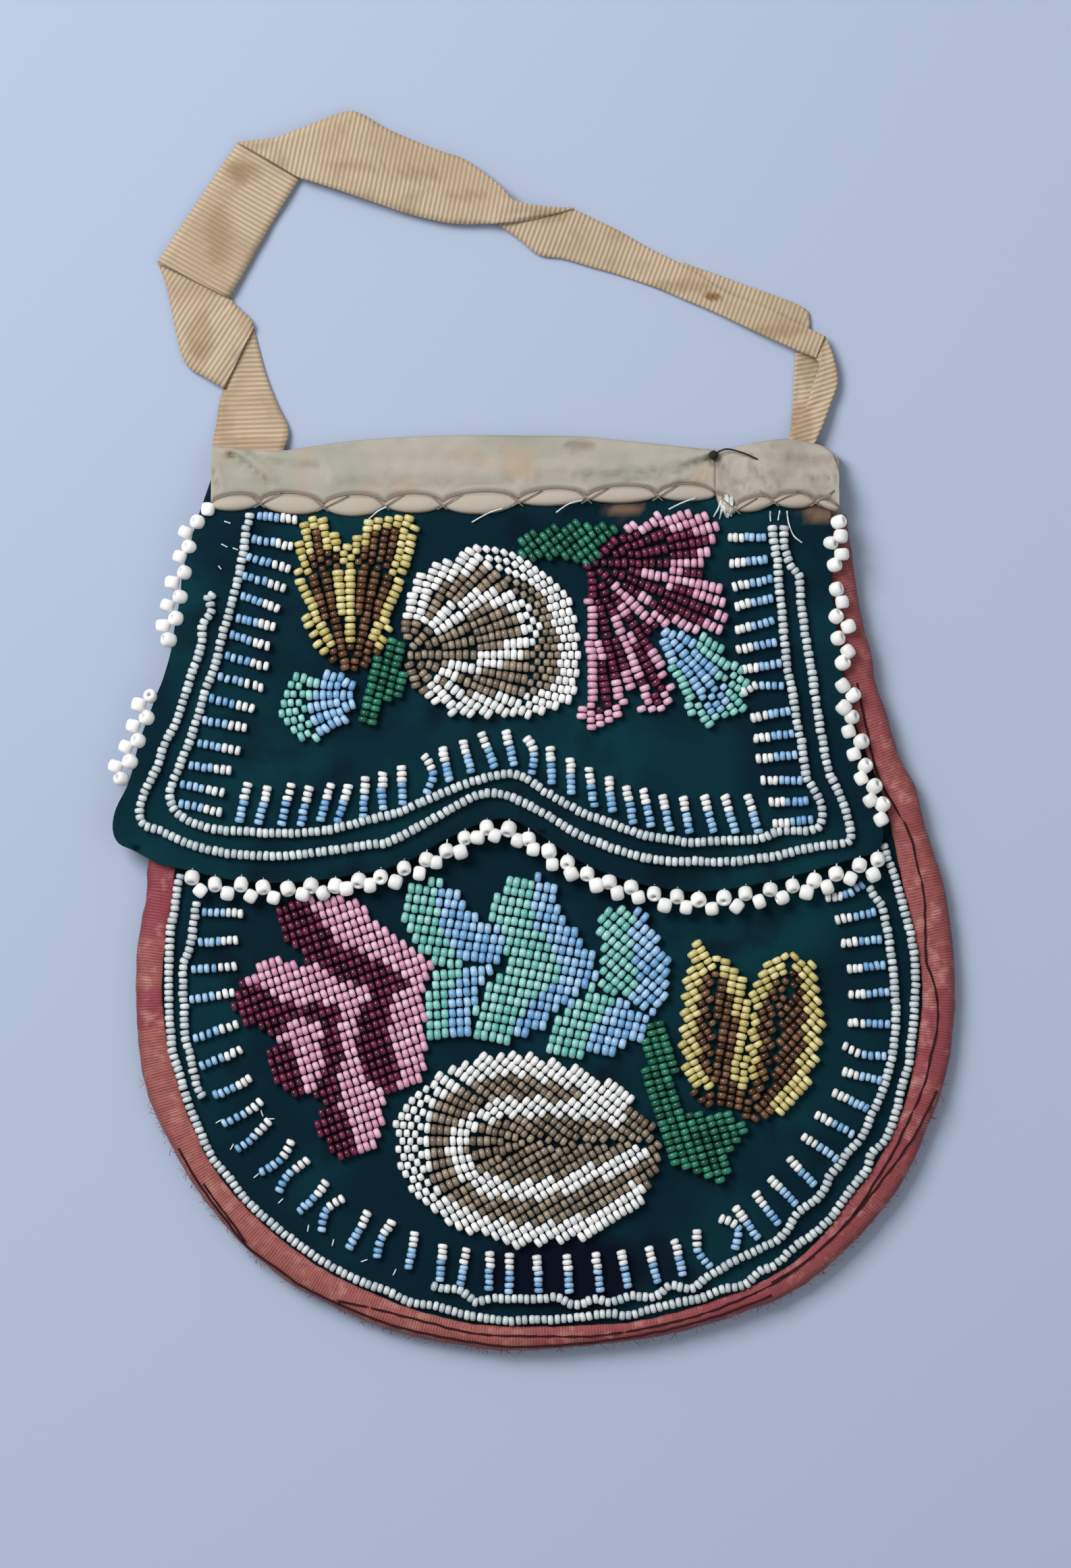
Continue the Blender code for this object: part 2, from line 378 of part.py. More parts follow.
def smooth(points, steps, closed=False):
    """Round a hand-drawn line with a curve that passes through its points."""
    count = len(points)
    spans = count if closed else count - 1
    line = []
    for index in range(spans):
        if closed:
            a, b, c, d = (points[(index + shift) % count] for shift in (-1, 0, 1, 2))
        else:
            a, b = points[max(index - 1, 0)], points[index]
            c, d = points[index + 1], points[min(index + 2, count - 1)]
        for step in range(steps):
            t = step / steps
            line.append(tuple(
                0.5 * (2 * q + (r - p) * t + (2 * p - 5 * q + 4 * r - s) * t * t
                       + (3 * q - p - 3 * r + s) * t ** 3)
                for p, q, r, s in zip(a, b, c, d)))
    if not closed:
        line.append(tuple(points[-1]))
    return line


def signed_area(points):
    """Area of an outline, positive when it runs anticlockwise."""
    return sum(a[0] * b[1] - b[0] * a[1] for a, b in zip(points, points[1:] + points[:1])) / 2


def side_normals(points, closed):
    """Unit normals to the left of a line at each of its points, with the mitre's stretch."""
    normals = []
    for index, point in enumerate(points):
        before = points[index - 1] if closed or index else point
        after = points[(index + 1) % len(points)] if closed or index < len(points) - 1 else point
        first = Vector((point[0] - before[0], point[1] - before[1]))
        second = Vector((after[0] - point[0], after[1] - point[1]))
        first = first.normalized() if first.length else second.normalized()
        second = second.normalized() if second.length else first
        along = (first + second).normalized()
        stretch = 1 / max(along.dot(first), 0.5)
        normals.append(Vector((-along.y, along.x)) * stretch)
    return normals


def inset(points, distance):
    """Move a closed outline inwards by a distance."""
    turn = 1 if signed_area(points) > 0 else -1
    normals = side_normals(points, True)
    return [(p[0] + n.x * distance * turn, p[1] + n.y * distance * turn) for p, n in zip(points, normals)]


def band(path, width):
    """Outline of a band of even width that follows an open path."""
    normals = side_normals(path, False)
    left = [(p[0] + n.x * width / 2, p[1] + n.y * width / 2) for p, n in zip(path, normals)]
    right = [(p[0] - n.x * width / 2, p[1] - n.y * width / 2) for p, n in zip(path, normals)]
    return left + right[::-1]


def comb(path, bars, width, bar_width):
    """Outline of a string whose fringe bars all stand on the side that they lean to."""
    lengths = [0.0]
    for a, b in zip(path, path[1:]):
        lengths.append(lengths[-1] + math.dist(a, b))
    middle = bars[len(bars) // 2]
    normals = side_normals(path, False)
    nearest = min(range(len(path)), key=lambda index: math.dist(path[index], middle[0]))
    lean = Vector((middle[1][0] - path[nearest][0], middle[1][1] - path[nearest][1]))
    side = 1 if lean.dot(normals[nearest]) > 0 else -1
    plain = [(p[0] - n.x * side * width / 2, p[1] - n.y * side * width / 2) for p, n in zip(path, normals)]
    fringed = [(length, (p[0] + n.x * side * width / 2, p[1] + n.y * side * width / 2))
               for length, p, n in zip(lengths, path, normals)]
    stands = []
    for base, tip in bars:
        best = None
        for index in range(len(path) - 1):
            a, b = Vector(path[index]), Vector(path[index + 1])
            run = b - a
            share = min(max((Vector(base) - a).dot(run) / run.length_squared, 0), 1)
            foot = a + run * share
            gap = (Vector(base) - foot).length
            if best is None or gap < best[0]:
                best = (gap, lengths[index] + share * run.length, foot, run.normalized())
        _, place, foot, along = best
        out = Vector((-along.y, along.x)) * side
        lean = (Vector(tip) - foot).normalized()
        reach = (width / 2) / max(lean.dot(out), 0.5)
        across = Vector((-lean.y, lean.x)) * bar_width / 2
        if across.dot(along) > 0:
            across = -across
        start = foot + lean * reach
        corners = [start + across, Vector(tip) + across, Vector(tip) - across, start - across]
        stands.append((place, [tuple(corner) for corner in corners]))
    keep = [(length, [point]) for length, point in fringed
            if all(abs(length - place) > bar_width for place, _ in stands)]
    ordered = sorted(keep + stands, key=lambda entry: entry[0])
    back = [point for _, group in ordered for point in group]
    return plain + back[::-1]


def material_for(name, colour, roughness):
    """Make the one material of a finish, or find it again."""
    found = bpy.data.materials.get(name)
    if found:
        return found
    material = bpy.data.materials.new(name)
    material.use_nodes = True
    shader = material.node_tree.nodes["Principled BSDF"]
    shader.inputs["Base Color"].default_value = (*colour, 1)
    shader.inputs["Roughness"].default_value = roughness
    shader.inputs["Metallic"].default_value = 0
    material.diffuse_color = (*colour, 1)
    return material


FINISHES = {
    "velvet": ((0.012, 0.028, 0.034), 0.9),
    "lining_cotton": ((0.45, 0.40, 0.32), 0.9),
    "red_silk": ((0.41, 0.085, 0.09), 0.55),
    "cream_cotton": ((0.62, 0.54, 0.43), 0.85),
    "cream_patch": ((0.66, 0.60, 0.50), 0.8),
    "tan_ribbon": ((0.60, 0.42, 0.23), 0.6),
    "string_beads": ((0.58, 0.65, 0.68), 0.3),
    "edge_beads": ((0.82, 0.82, 0.83), 0.25),
    "white_beads": ((0.76, 0.77, 0.76), 0.35),
    "brown_beads": ((0.14, 0.07, 0.03), 0.25),
    "blue_beads": ((0.36, 0.56, 0.78), 0.3),
    "green_beads": ((0.02, 0.14, 0.09), 0.25),
    "mint_beads": ((0.24, 0.50, 0.43), 0.3),
    "tan_beads": ((0.26, 0.20, 0.14), 0.3),
    "maroon_beads": ((0.07, 0.005, 0.018), 0.2),
    "pink_beads": ((0.68, 0.34, 0.48), 0.3),
}


def part_object(name, mesh, finish, collection):
    """Place a finished mesh or curve in the bag's collection with its own copy of a finish."""
    colour, roughness = FINISHES[finish]
    mesh.materials.append(material_for(f"{name}_{finish}", colour, roughness))
    thing = bpy.data.objects.new(name, mesh)
    collection.objects.link(thing)
    return thing


def cut_lines(low, high, step):
    """Even cuts across a stretch, counted from zero so that all layers share them."""
    return [index * step for index in range(math.ceil(low / step), math.floor(high / step) + 1)]


def bisect_all(form, place, normal, faces=None):
    """Cut a form, or some of its faces, along an upright plane without parting it."""
    geometry = list(form.verts) + list(form.edges) + list(form.faces)
    if faces is not None:
        edges = {edge for face in faces for edge in face.edges}
        corners = {corner for face in faces for corner in face.verts}
        geometry = list(corners) + list(edges) + list(faces)
    bmesh.ops.bisect_plane(form, geom=geometry, dist=1e-7, plane_co=place, plane_no=normal)


def drape(form, step):
    """Cut a flat form into fields and let it settle on what lies below."""
    xs = [corner.co.x / MM for corner in form.verts]
    ys = [corner.co.y / MM for corner in form.verts]
    for x in cut_lines(min(xs) + 1, max(xs) - 1, step):
        bisect_all(form, (x * MM, 0, 0), (1, 0, 0))
    for y in cut_lines(min(ys) + 1, max(ys) - 1, step) + [FLAP_FALL_START]:
        if min(ys) + 1 < y < max(ys) - 1:
            bisect_all(form, (0, y * MM, 0), (0, 1, 0))


def settle_all(form):
    """Bring every corner of a form to its settled height."""
    for corner in form.verts:
        corner.co.z = settle(corner.co.x / MM, corner.co.y / MM, corner.co.z / MM) * MM


def slab_form(outline, low, height):
    """Raise a flat outline to a closed slab."""
    form = bmesh.new()
    corners = [form.verts.new((x * MM, y * MM, low * MM)) for x, y in outline]
    face = form.faces.new(corners)
    raised = bmesh.ops.extrude_face_region(form, geom=[face])["geom"]
    top = [item for item in raised if isinstance(item, bmesh.types.BMVert)]
    bmesh.ops.translate(form, vec=(0, 0, height * MM), verts=top)
    bmesh.ops.recalc_face_normals(form, faces=form.faces[:])
    return form


def finish_form(name, form, finish, collection):
    """Settle a form and turn it into one of the bag's pieces."""
    settle_all(form)
    bmesh.ops.recalc_face_normals(form, faces=form.faces[:])
    mesh = bpy.data.meshes.new(name)
    form.to_mesh(mesh)
    form.free()
    return part_object(name, mesh, finish, collection)


def sheet(name, outline, low, thickness, finish, collection):
    """A cloth panel that follows the bag's crown."""
    form = slab_form(outline, low, thickness)
    drape(form, DRAPE_STEP)
    return finish_form(name, form, finish, collection)


def add_rows(form, slope):
    """Press the rows of a beaded field into its upper face."""
    across = Vector((-math.sin(math.radians(slope)), math.cos(math.radians(slope)), 0))
    top = [face for face in form.faces if face.normal.z > 0.9]
    high = max(corner.co.z for corner in form.verts)
    reach = [corner.co.dot(across) / MM for corner in form.verts]
    half = BEAD_ROW / 2
    for line in cut_lines(min(reach) + half / 3, max(reach) - half / 3, half):
        bisect_all(form, across * line * MM, across, top)
        top = [face for face in form.faces if face.normal.z > 0.9]
    for corner in form.verts:
        if corner.co.z > high - MM * CLEARANCE:
            place = corner.co.dot(across) / MM / BEAD_ROW
            corner.co.z -= BEAD_ROW_RELIEF * MM * 2 * abs(place - round(place))


def beadwork(name, outline, slope, base, finish, collection, side=None):
    """A field of bead rows: its outline drawn in, or only its part on one side of a line."""
    form = slab_form(inset(outline, FIELD_GAP / 2), base + BEAD_SEAT, BEADWORK_HEIGHT)
    if side:
        start, end = Vector(side[0]), Vector(side[1])
        along = (end - start).normalized()
        out = Vector((along.y, -along.x, 0))
        place = Vector((start.x, start.y, 0)) - out * FIELD_GAP / 2
        geometry = list(form.verts) + list(form.edges) + list(form.faces)
        cut = bmesh.ops.bisect_plane(form, geom=geometry, dist=1e-7, plane_co=place * MM, plane_no=out,
                                     clear_outer=True)
        edges = [item for item in cut["geom_cut"] if isinstance(item, bmesh.types.BMEdge)]
        bmesh.ops.holes_fill(form, edges=edges)
        bmesh.ops.recalc_face_normals(form, faces=form.faces[:])
    drape(form, FINE_DRAPE_STEP)
    add_rows(form, slope)
    return finish_form(name, form, finish, collection)


def cut_band(thing, path, width, cutters):
    """Leave room in a beaded field for a band of other beads that lies in it."""
    start = Vector(path[0]) + (Vector(path[0]) - Vector(path[1])).normalized() * FIELD_GAP
    end = Vector(path[-1]) + (Vector(path[-1]) - Vector(path[-2])).normalized() * FIELD_GAP
    room_path = [tuple(start)] + path[1:-1] + [tuple(end)]
    form = slab_form(band(room_path, width + 2 * FIELD_GAP), FRONT_Z, CUTTER_HEIGHT)
    mesh = bpy.data.meshes.new(thing.name + "_cutter")
    form.to_mesh(mesh)
    form.free()
    cutter = bpy.data.objects.new(mesh.name, mesh)
    cutter.hide_render = True
    cutter.display_type = "WIRE"
    cutters.objects.link(cutter)
    room = thing.modifiers.new("room_for_band", "BOOLEAN")
    room.operation = "DIFFERENCE"
    room.object = cutter


def tube(name, path, height, diameter, finish, collection, sides_step=0, radii=None):
    """A string of beads as a slim tube that follows the crown."""
    curve = bpy.data.curves.new(name, "CURVE")
    curve.dimensions = "3D"
    curve.bevel_depth = diameter / 2 * MM
    curve.bevel_resolution = sides_step
    curve.use_fill_caps = True
    spline = curve.splines.new("POLY")
    spline.points.add(len(path) - 1)
    for index, (point, place) in enumerate(zip(spline.points, path)):
        z = settle(place[0], place[1], height)
        point.co = (place[0] * MM, place[1] * MM, z * MM, 1)
        point.radius = radii[index] if radii else 1
    return part_object(name, curve, finish, collection)


def bead_chain(name, beads, collection):
    """Large beads on one thread, thick at each bead and thin between them."""
    path, radii = [beads[0]], [1.0]
    for a, b in zip(beads, beads[1:]):
        path += [((a[0] + b[0]) / 2, (a[1] + b[1]) / 2), b]
        radii += [EDGE_THREAD_DIAMETER / EDGE_BEAD_DIAMETER, 1.0]
    lead = EDGE_BEAD_DIAMETER / 2
    first = Vector(beads[0]) + (Vector(beads[0]) - Vector(beads[1])).normalized() * lead
    last = Vector(beads[-1]) + (Vector(beads[-1]) - Vector(beads[-2])).normalized() * lead
    path = [tuple(first)] + path + [tuple(last)]
    radii = [radii[1]] + radii + [radii[1]]
    height = SIDE_LIP_TOP + CLEARANCE + EDGE_BEAD_DIAMETER / 2
    return tube(name, path, height, EDGE_BEAD_DIAMETER, "edge_beads", collection, 0, radii)


def section_run(name, sections, finish, collection):
    """Skin a run of like sections, each a closed ring of points, and close both ends."""
    form = bmesh.new()
    rings = []
    for section in sections:
        corners = [form.verts.new((x * MM, y * MM, z * MM)) for x, y, z in section]
        rings.append([form.edges.new(pair) for pair in zip(corners, corners[1:] + corners[:1])])
    for first, second in zip(rings, rings[1:]):
        bmesh.ops.bridge_loops(form, edges=first + second)
    bmesh.ops.holes_fill(form, edges=rings[0])
    bmesh.ops.holes_fill(form, edges=rings[-1])
    return finish_form(name, form, finish, collection)


def binding_lines():
    """Smoothed outer and inner edges of the side binding."""
    outer = smooth([place[0] for place in BINDING_PLACES], BINDING_STEPS)
    inner = smooth([place[1] for place in BINDING_PLACES], BINDING_STEPS)
    return outer, inner


def panel_outline(top):
    """Outline of a pouch layer: inside the binding's wall, and straight across its top."""
    outer, inner = binding_lines()
    edge = []
    for a, b in zip(outer, inner):
        inward = Vector((b[0] - a[0], b[1] - a[1])).normalized() * (SIDE_WALL + CLEARANCE)
        edge.append((a[0] + inward.x, a[1] + inward.y))
    first, last = edge[0], edge[-1]
    if top > first[1]:
        return [(last[0], top), (first[0], top)] + edge
    kept = [point for point in edge if point[1] < top - 1]
    right = (kept[0][0] - (top - kept[0][1]) * (kept[0][0] - first[0]) / (first[1] - kept[0][1]), top)
    left = (kept[-1][0] + (top - kept[-1][1]) * (last[0] - kept[-1][0]) / (last[1] - kept[-1][1]), top)
    return [left, right] + kept


def back_outline():
    """Outline of the back panel, which lies within the back lips of both bindings."""
    outer, inner = binding_lines()
    top = BACK_LIP_HEIGHT - CLEARANCE
    shoulder = outer[0][1] + CLEARANCE
    left, right = outer[-1][0] + SIDE_WALL, outer[0][0] - SIDE_WALL
    return [(left, top), (right, top), (right, shoulder), (inner[0][0], shoulder), *inner[1:-1],
            (inner[-1][0], shoulder), (left, shoulder)]


def build_side_binding(collection):
    """Red tape folded round the pouch's edge, with a lip on the front and on the back."""
    outer, inner = binding_lines()
    sections = []
    for a, b in zip(outer, inner):
        across = Vector((b[0] - a[0], b[1] - a[1]))
        inward = across.normalized()
        profile = [
            (SIDE_WALL, BACK_LIP_Z), (across.length - CLEARANCE, BACK_LIP_Z),
            (across.length - CLEARANCE, TAPE_THICKNESS), (SIDE_WALL, TAPE_THICKNESS), (SIDE_WALL, SIDE_LIP_Z),
            (across.length, SIDE_LIP_Z), (across.length, SIDE_LIP_TOP), (SIDE_WALL, SIDE_LIP_TOP),
            (0, SIDE_LIP_TOP - SIDE_WALL), (0, SIDE_WALL),
        ]
        sections.append([(a[0] + inward.x * depth, a[1] + inward.y * depth, z) for depth, z in profile])
    return section_run("side_binding", sections, "red_silk", collection)


def height_at(line, x):
    """Height of a line that runs from left to right, at a place along it."""
    for a, b in zip(line, line[1:]):
        if a[0] <= x <= b[0]:
            return a[1] + (b[1] - a[1]) * (x - a[0]) / (b[0] - a[0])
    return line[0][1] if x < line[0][0] else line[-1][1]


def build_top_binding(name, scallops, finish, collection):
    """Cream strip folded over the top edge, scalloped in front and straight at the back."""
    sections = []
    lip = FLAP_TOP + CLEARANCE
    wall = PANEL_TOP + CLEARANCE
    for x, low in scallops:
        top = height_at(BINDING_TOP, x)
        profile = [
            (BACK_LIP_HEIGHT, BACK_LIP_Z), (BACK_LIP_HEIGHT, TAPE_THICKNESS), (wall, TAPE_THICKNESS), (wall, lip),
            (low, lip), (low, lip + TAPE_THICKNESS), (top - TAPE_THICKNESS, lip + TAPE_THICKNESS),
            (top, lip - FLAP_FALL / 4), (top, TAPE_THICKNESS), (top - TAPE_THICKNESS, BACK_LIP_Z),
        ]
        sections.append([(x, y, z) for y, z in profile])
    return section_run(name, sections, finish, collection)


def build_ribbon(collection):
    """The handle: one flat strip, narrow where it twists, with its ends at the top binding."""
    form = bmesh.new()
    rails = []
    for near, far, height in RIBBON_PLACES:
        a = form.verts.new((near[0] * MM, near[1] * MM, height * MM))
        b = form.verts.new((far[0] * MM, far[1] * MM, height * MM))
        rails.append(form.edges.new((a, b)))
    for first, second in zip(rails, rails[1:]):
        bmesh.ops.bridge_loops(form, edges=[first, second])
    bmesh.ops.recalc_face_normals(form, faces=form.faces[:])
    bmesh.ops.solidify(form, geom=form.faces[:], thickness=RIBBON_THICKNESS * MM)
    low = min(corner.co.z for corner in form.verts)
    bmesh.ops.translate(form, vec=(0, 0, BACK_LIP_Z * MM - low), verts=form.verts[:])
    bmesh.ops.recalc_face_normals(form, faces=form.faces[:])
    mesh = bpy.data.meshes.new("ribbon_handle")
    form.to_mesh(mesh)
    form.free()
    return part_object("ribbon_handle", mesh, "tan_ribbon", collection)


def build_cloth(collection):
    """The panels and linings, from the back to the front."""
    pouch = panel_outline(PANEL_TOP)
    front = panel_outline(MOUTH_HEIGHT)
    flap = inset(FLAP_OUTLINE, FLAP_EDGE_INSET)
    flap = [(x, PANEL_TOP if y > FLAP_FALL_END - 2 * FLAP_EDGE_INSET else y) for x, y in flap]
    lining = inset(flap, CLEARANCE)
    lining = [(x, min(y, PANEL_TOP - CLEARANCE)) for x, y in lining]
    sheet("back_panel", back_outline(), 0, BACK_THICKNESS, "velvet", collection)
    back_cut = inset(pouch, CLEARANCE)[::2]
    front_cut = inset(front, CLEARANCE)[::2]
    sheet("back_lining", back_cut, BACK_LINING_Z, LINING_THICKNESS, "lining_cotton", collection)
    sheet("front_lining", front_cut, FRONT_LINING_Z, LINING_THICKNESS, "lining_cotton", collection)
    sheet("front_panel", front, FRONT_Z, PANEL_THICKNESS, "velvet", collection)
    sheet("flap_lining", lining, FLAP_LINING_Z, LINING_THICKNESS, "lining_cotton", collection)
    sheet("flap_panel", flap, FLAP_Z, PANEL_THICKNESS, "velvet", collection)


def build_fringes(collection):
    """Strings of seed beads, plain or with their fringe of short bars."""
    flap_z = FLAP_TOP + BEAD_SEAT
    body_z = FRONT_TOP + BEAD_SEAT
    radius = STRING_DIAMETER / 2
    tube("flap_outer_string", smooth(FLAP_OUTER_STRING, 2), flap_z + radius, STRING_DIAMETER, "string_beads",
         collection)
    tube("body_outer_string", smooth(BODY_OUTER_STRING, 2), body_z + radius, STRING_DIAMETER, "string_beads",
         collection)
    fringes = [
        ("flap_fringe", FLAP_INNER_STRING, FLAP_BARS, flap_z),
        ("body_fringe_left", BODY_INNER_STRING_LEFT, BODY_LEFT_BARS, body_z),
        ("body_fringe_right", BODY_INNER_STRING_RIGHT, BODY_RIGHT_BARS, body_z),
    ]
    for name, path, bars, height in fringes:
        outline = comb(smooth(path, 2), bars, STRING_DIAMETER, BAR_WIDTH)
        finish_form(name, slab_form(outline, height, STRING_DIAMETER), "string_beads", collection)
    for number, (base, tip) in enumerate(BODY_LOOSE_BARS, 1):
        tube(f"body_loose_bar_{number}", [base, tip], body_z + radius, BAR_WIDTH, "blue_beads", collection, 1)


def build_edge_beads(collection):
    """The zigzag chains of large beads along the flap's edge."""
    bottom = [bead for pair in zip(EDGE_BOTTOM_UPPER, EDGE_BOTTOM_LOWER) for bead in pair]
    bottom.append(EDGE_BOTTOM_UPPER[-1])
    chains = {
        "edge_beads_bottom": bottom,
        "edge_beads_left_upper": EDGE_LEFT_UPPER,
        "edge_beads_left_lower": EDGE_LEFT_LOWER,
        "edge_beads_right_upper": EDGE_RIGHT_UPPER,
        "edge_beads_right_lower": EDGE_RIGHT_LOWER,
    }
    for name, beads in chains.items():
        bead_chain(name, beads, collection)


def build_nested_oval(prefix, outline, rim_width, ring, base, slope, collection, cutters):
    """A white rim and an inner white band round a tan field, both open at the hinge."""
    rim_path = inset(outline, rim_width / 2)[1:]
    for part, path, width in (("rim", rim_path, rim_width - FIELD_GAP), ("band", ring, INNER_BAND_WIDTH)):
        form = slab_form(band(path, width), base + BEAD_SEAT, BEADWORK_HEIGHT)
        drape(form, FINE_DRAPE_STEP)
        finish_form(f"{prefix}_{part}", form, "white_beads", collection)
    inner = inset(outline, rim_width + FIELD_GAP)
    field = beadwork(f"{prefix}_field", inner, slope, base, "tan_beads", collection)
    cut_band(field, ring, INNER_BAND_WIDTH, cutters)


def build_flap_beadwork(collection, cutters):
    """Leaves, bud, shell and flower sewn on the flap."""
    base = FLAP_TOP
    fields = [
        ("flap_yellow_leaf", FLAP_YELLOW, YELLOW_SLOPE, "brown_beads", None),
        ("flap_blue_bud", FLAP_BLUE_BUD, BUD_SLOPE, "blue_beads", None),
        ("flap_green_left", FLAP_GREEN_LEFT, SPRIG_SLOPE, "green_beads", None),
        ("flap_green_top", FLAP_GREEN_TOP, TOP_SPRIG_SLOPE, "green_beads", None),
        ("flap_flower_top", FLAP_FLOWER_TOP, FLOWER_TOP_SLOPE, "maroon_beads", FLAP_TOP_SPLIT[::-1]),
        ("flap_flower_top_edge", FLAP_FLOWER_TOP, FLOWER_TOP_SLOPE, "pink_beads", FLAP_TOP_SPLIT),
        ("flap_flower_middle", FLAP_FLOWER_MIDDLE, FLOWER_MIDDLE_SLOPE, "maroon_beads", None),
        ("flap_flower_left", FLAP_FLOWER_LEFT, FLOWER_LEFT_SLOPE, "maroon_beads", FLAP_LEFT_SPLIT[::-1]),
        ("flap_flower_left_edge", FLAP_FLOWER_LEFT, FLOWER_LEFT_SLOPE, "pink_beads", FLAP_LEFT_SPLIT),
        ("flap_flower_right", FLAP_FLOWER_RIGHT, FLOWER_RIGHT_SLOPE, "maroon_beads", None),
        ("flap_teal_leaf", FLAP_TEAL, FLAP_TEAL_SLOPE, "mint_beads", None),
    ]
    for name, outline, slope, finish, side in fields:
        beadwork(name, outline, slope, base, finish, collection, side)
    build_nested_oval("flap_shell", SHELL, SHELL_RIM_WIDTH, SHELL_CRESCENT, base, SHELL_SLOPE, collection,
                      cutters)


def build_body_beadwork(collection, cutters):
    """Flower, leaves, oval and stem sewn on the pouch's front."""
    base = FRONT_TOP
    splits = {
        "petal_one": (PETAL_ONE, PETAL_ONE_SPLIT),
        "petal_two": (PETAL_TWO, PETAL_TWO_SPLIT),
        "petal_five": (PETAL_FIVE, PETAL_FIVE_SPLIT),
    }
    for name, (outline, line) in splits.items():
        beadwork(f"body_{name}", outline, PETAL_SLOPE, base, "maroon_beads", collection, line[::-1])
        beadwork(f"body_{name}_edge", outline, PETAL_SLOPE, base, "pink_beads", collection, line)
    beadwork("body_petal_three", PETAL_THREE, PETAL_SLOPE, base, "maroon_beads", collection)
    beadwork("body_petal_four", PETAL_FOUR, PETAL_SLOPE, base, "maroon_beads", collection)
    for number, (outline, slope) in enumerate(zip((TEAL_ONE, TEAL_TWO, TEAL_THREE), TEAL_SLOPES), 1):
        beadwork(f"body_teal_leaf_{number}", outline, slope, base, "mint_beads", collection)
    beadwork("body_green_stem", BODY_STEM, STEM_SLOPE, base, "green_beads", collection)
    beadwork("body_yellow_leaf", BODY_YELLOW, BODY_YELLOW_SLOPE, base, "brown_beads", collection)
    build_nested_oval("body_oval", OVAL, OVAL_RIM_WIDTH, OVAL_RING, base, OVAL_SLOPE, collection, cutters)


def main():
    """Clear the scene and build the bag."""
    for thing in list(bpy.data.objects):
        bpy.data.objects.remove(thing, do_unlink=True)
    bag = bpy.data.collections.new("beaded_bag")
    cutters = bpy.data.collections.new("cutters")
    bpy.context.scene.collection.children.link(bag)
    bpy.context.scene.collection.children.link(cutters)
    build_cloth(bag)
    build_side_binding(bag)
    build_top_binding("top_binding", SCALLOPS, "cream_cotton", bag)
    build_top_binding("top_binding_patch", PATCH_SCALLOPS, "cream_patch", bag)
    build_ribbon(bag)
    build_fringes(bag)
    build_edge_beads(bag)
    build_flap_beadwork(bag, cutters)
    build_body_beadwork(bag, cutters)


main()
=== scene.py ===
"""Visual model of a small velvet bag with glass seed beadwork, lying on its back.

The row frame is in metres. The tables and sizes below are millimetres: +X to the right and +Y
towards the handle as the front is seen, and +Z out of the beaded front.
"""

import logging
import math
import random
from dataclasses import dataclass, field
from enum import Enum
from typing import Callable, Optional, Sequence

import bmesh
import bpy
import numpy as np
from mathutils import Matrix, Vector, noise


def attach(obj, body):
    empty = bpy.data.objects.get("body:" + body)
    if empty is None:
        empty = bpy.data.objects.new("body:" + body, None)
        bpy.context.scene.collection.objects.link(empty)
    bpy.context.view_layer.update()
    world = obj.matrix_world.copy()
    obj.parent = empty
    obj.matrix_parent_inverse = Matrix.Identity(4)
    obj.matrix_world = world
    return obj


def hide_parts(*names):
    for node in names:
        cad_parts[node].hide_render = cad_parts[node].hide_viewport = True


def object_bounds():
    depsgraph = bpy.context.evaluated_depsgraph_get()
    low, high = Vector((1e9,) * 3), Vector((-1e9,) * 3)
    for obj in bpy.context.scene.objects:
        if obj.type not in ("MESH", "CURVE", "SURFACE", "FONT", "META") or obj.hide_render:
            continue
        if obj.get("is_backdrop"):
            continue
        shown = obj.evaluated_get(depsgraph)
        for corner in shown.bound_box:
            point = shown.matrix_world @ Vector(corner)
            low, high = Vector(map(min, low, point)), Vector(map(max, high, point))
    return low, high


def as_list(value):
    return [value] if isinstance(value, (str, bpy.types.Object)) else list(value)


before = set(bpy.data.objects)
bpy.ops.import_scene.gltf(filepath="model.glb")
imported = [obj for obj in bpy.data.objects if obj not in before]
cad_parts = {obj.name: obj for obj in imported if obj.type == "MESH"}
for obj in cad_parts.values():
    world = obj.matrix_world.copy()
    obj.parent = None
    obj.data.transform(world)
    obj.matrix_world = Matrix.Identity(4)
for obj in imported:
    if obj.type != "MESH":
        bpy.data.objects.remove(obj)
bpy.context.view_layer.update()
LOG = logging.getLogger("beaded_bag")

Point = tuple[float, float]
Place = tuple[float, float, float]
Line = Sequence[Point]
Height = Callable[[float, float], float]

MM = 0.001

# Layers of the lying bag, from the surface it lies on upwards
BACK_THICKNESS = 0.8
BACK_LINING_TOP = 1.5
FRONT_LINING_TOP = 2.3
FRONT_TOP = 3.5
SIDE_LIP_TOP = 4.3
FLAP_TOP = 6.4
UNDER_BINDING = 6.7

# The cloths: how thick they are, how far the flap's lining lies under its velvet, the radius of a panel's
# soft edge and the height of the velvet's waves
PANEL_THICKNESS = 0.9
LINING_THICKNESS = 0.3
FLAP_LINING_DEPTH = 1.2
PANEL_EDGE_RADIUS = 0.25
RUFFLE = 0.12

# Where the panels end towards the handle
POUCH_TOP = 91
FRONT_PANEL_TOP = 73
BACK_PANEL_TOP = 81.7

# The filled pouch stands up in the middle, and the flap comes down to the top binding
CROWN_HEIGHT = 3.0
CROWN_CENTRE = (2.7, -1.5)
CROWN_HALF_WIDTH = 90.0
CROWN_HALF_HEIGHT = 99.0
FLAP_FALL = 3.0
FLAP_FALL_START = 76.0
FLAP_FALL_END = 91.0

# Beads, and how deep they press into the velvet's pile
SEED_DIAMETER = 2.05
BEAD_SINK = 0.1
STRING_PITCH = 1.36
BAR_PITCH = 1.3
BAR_BEADS = 7
BAR_BLUE_BEADS = 4
EDGE_DIAMETER = 3.1

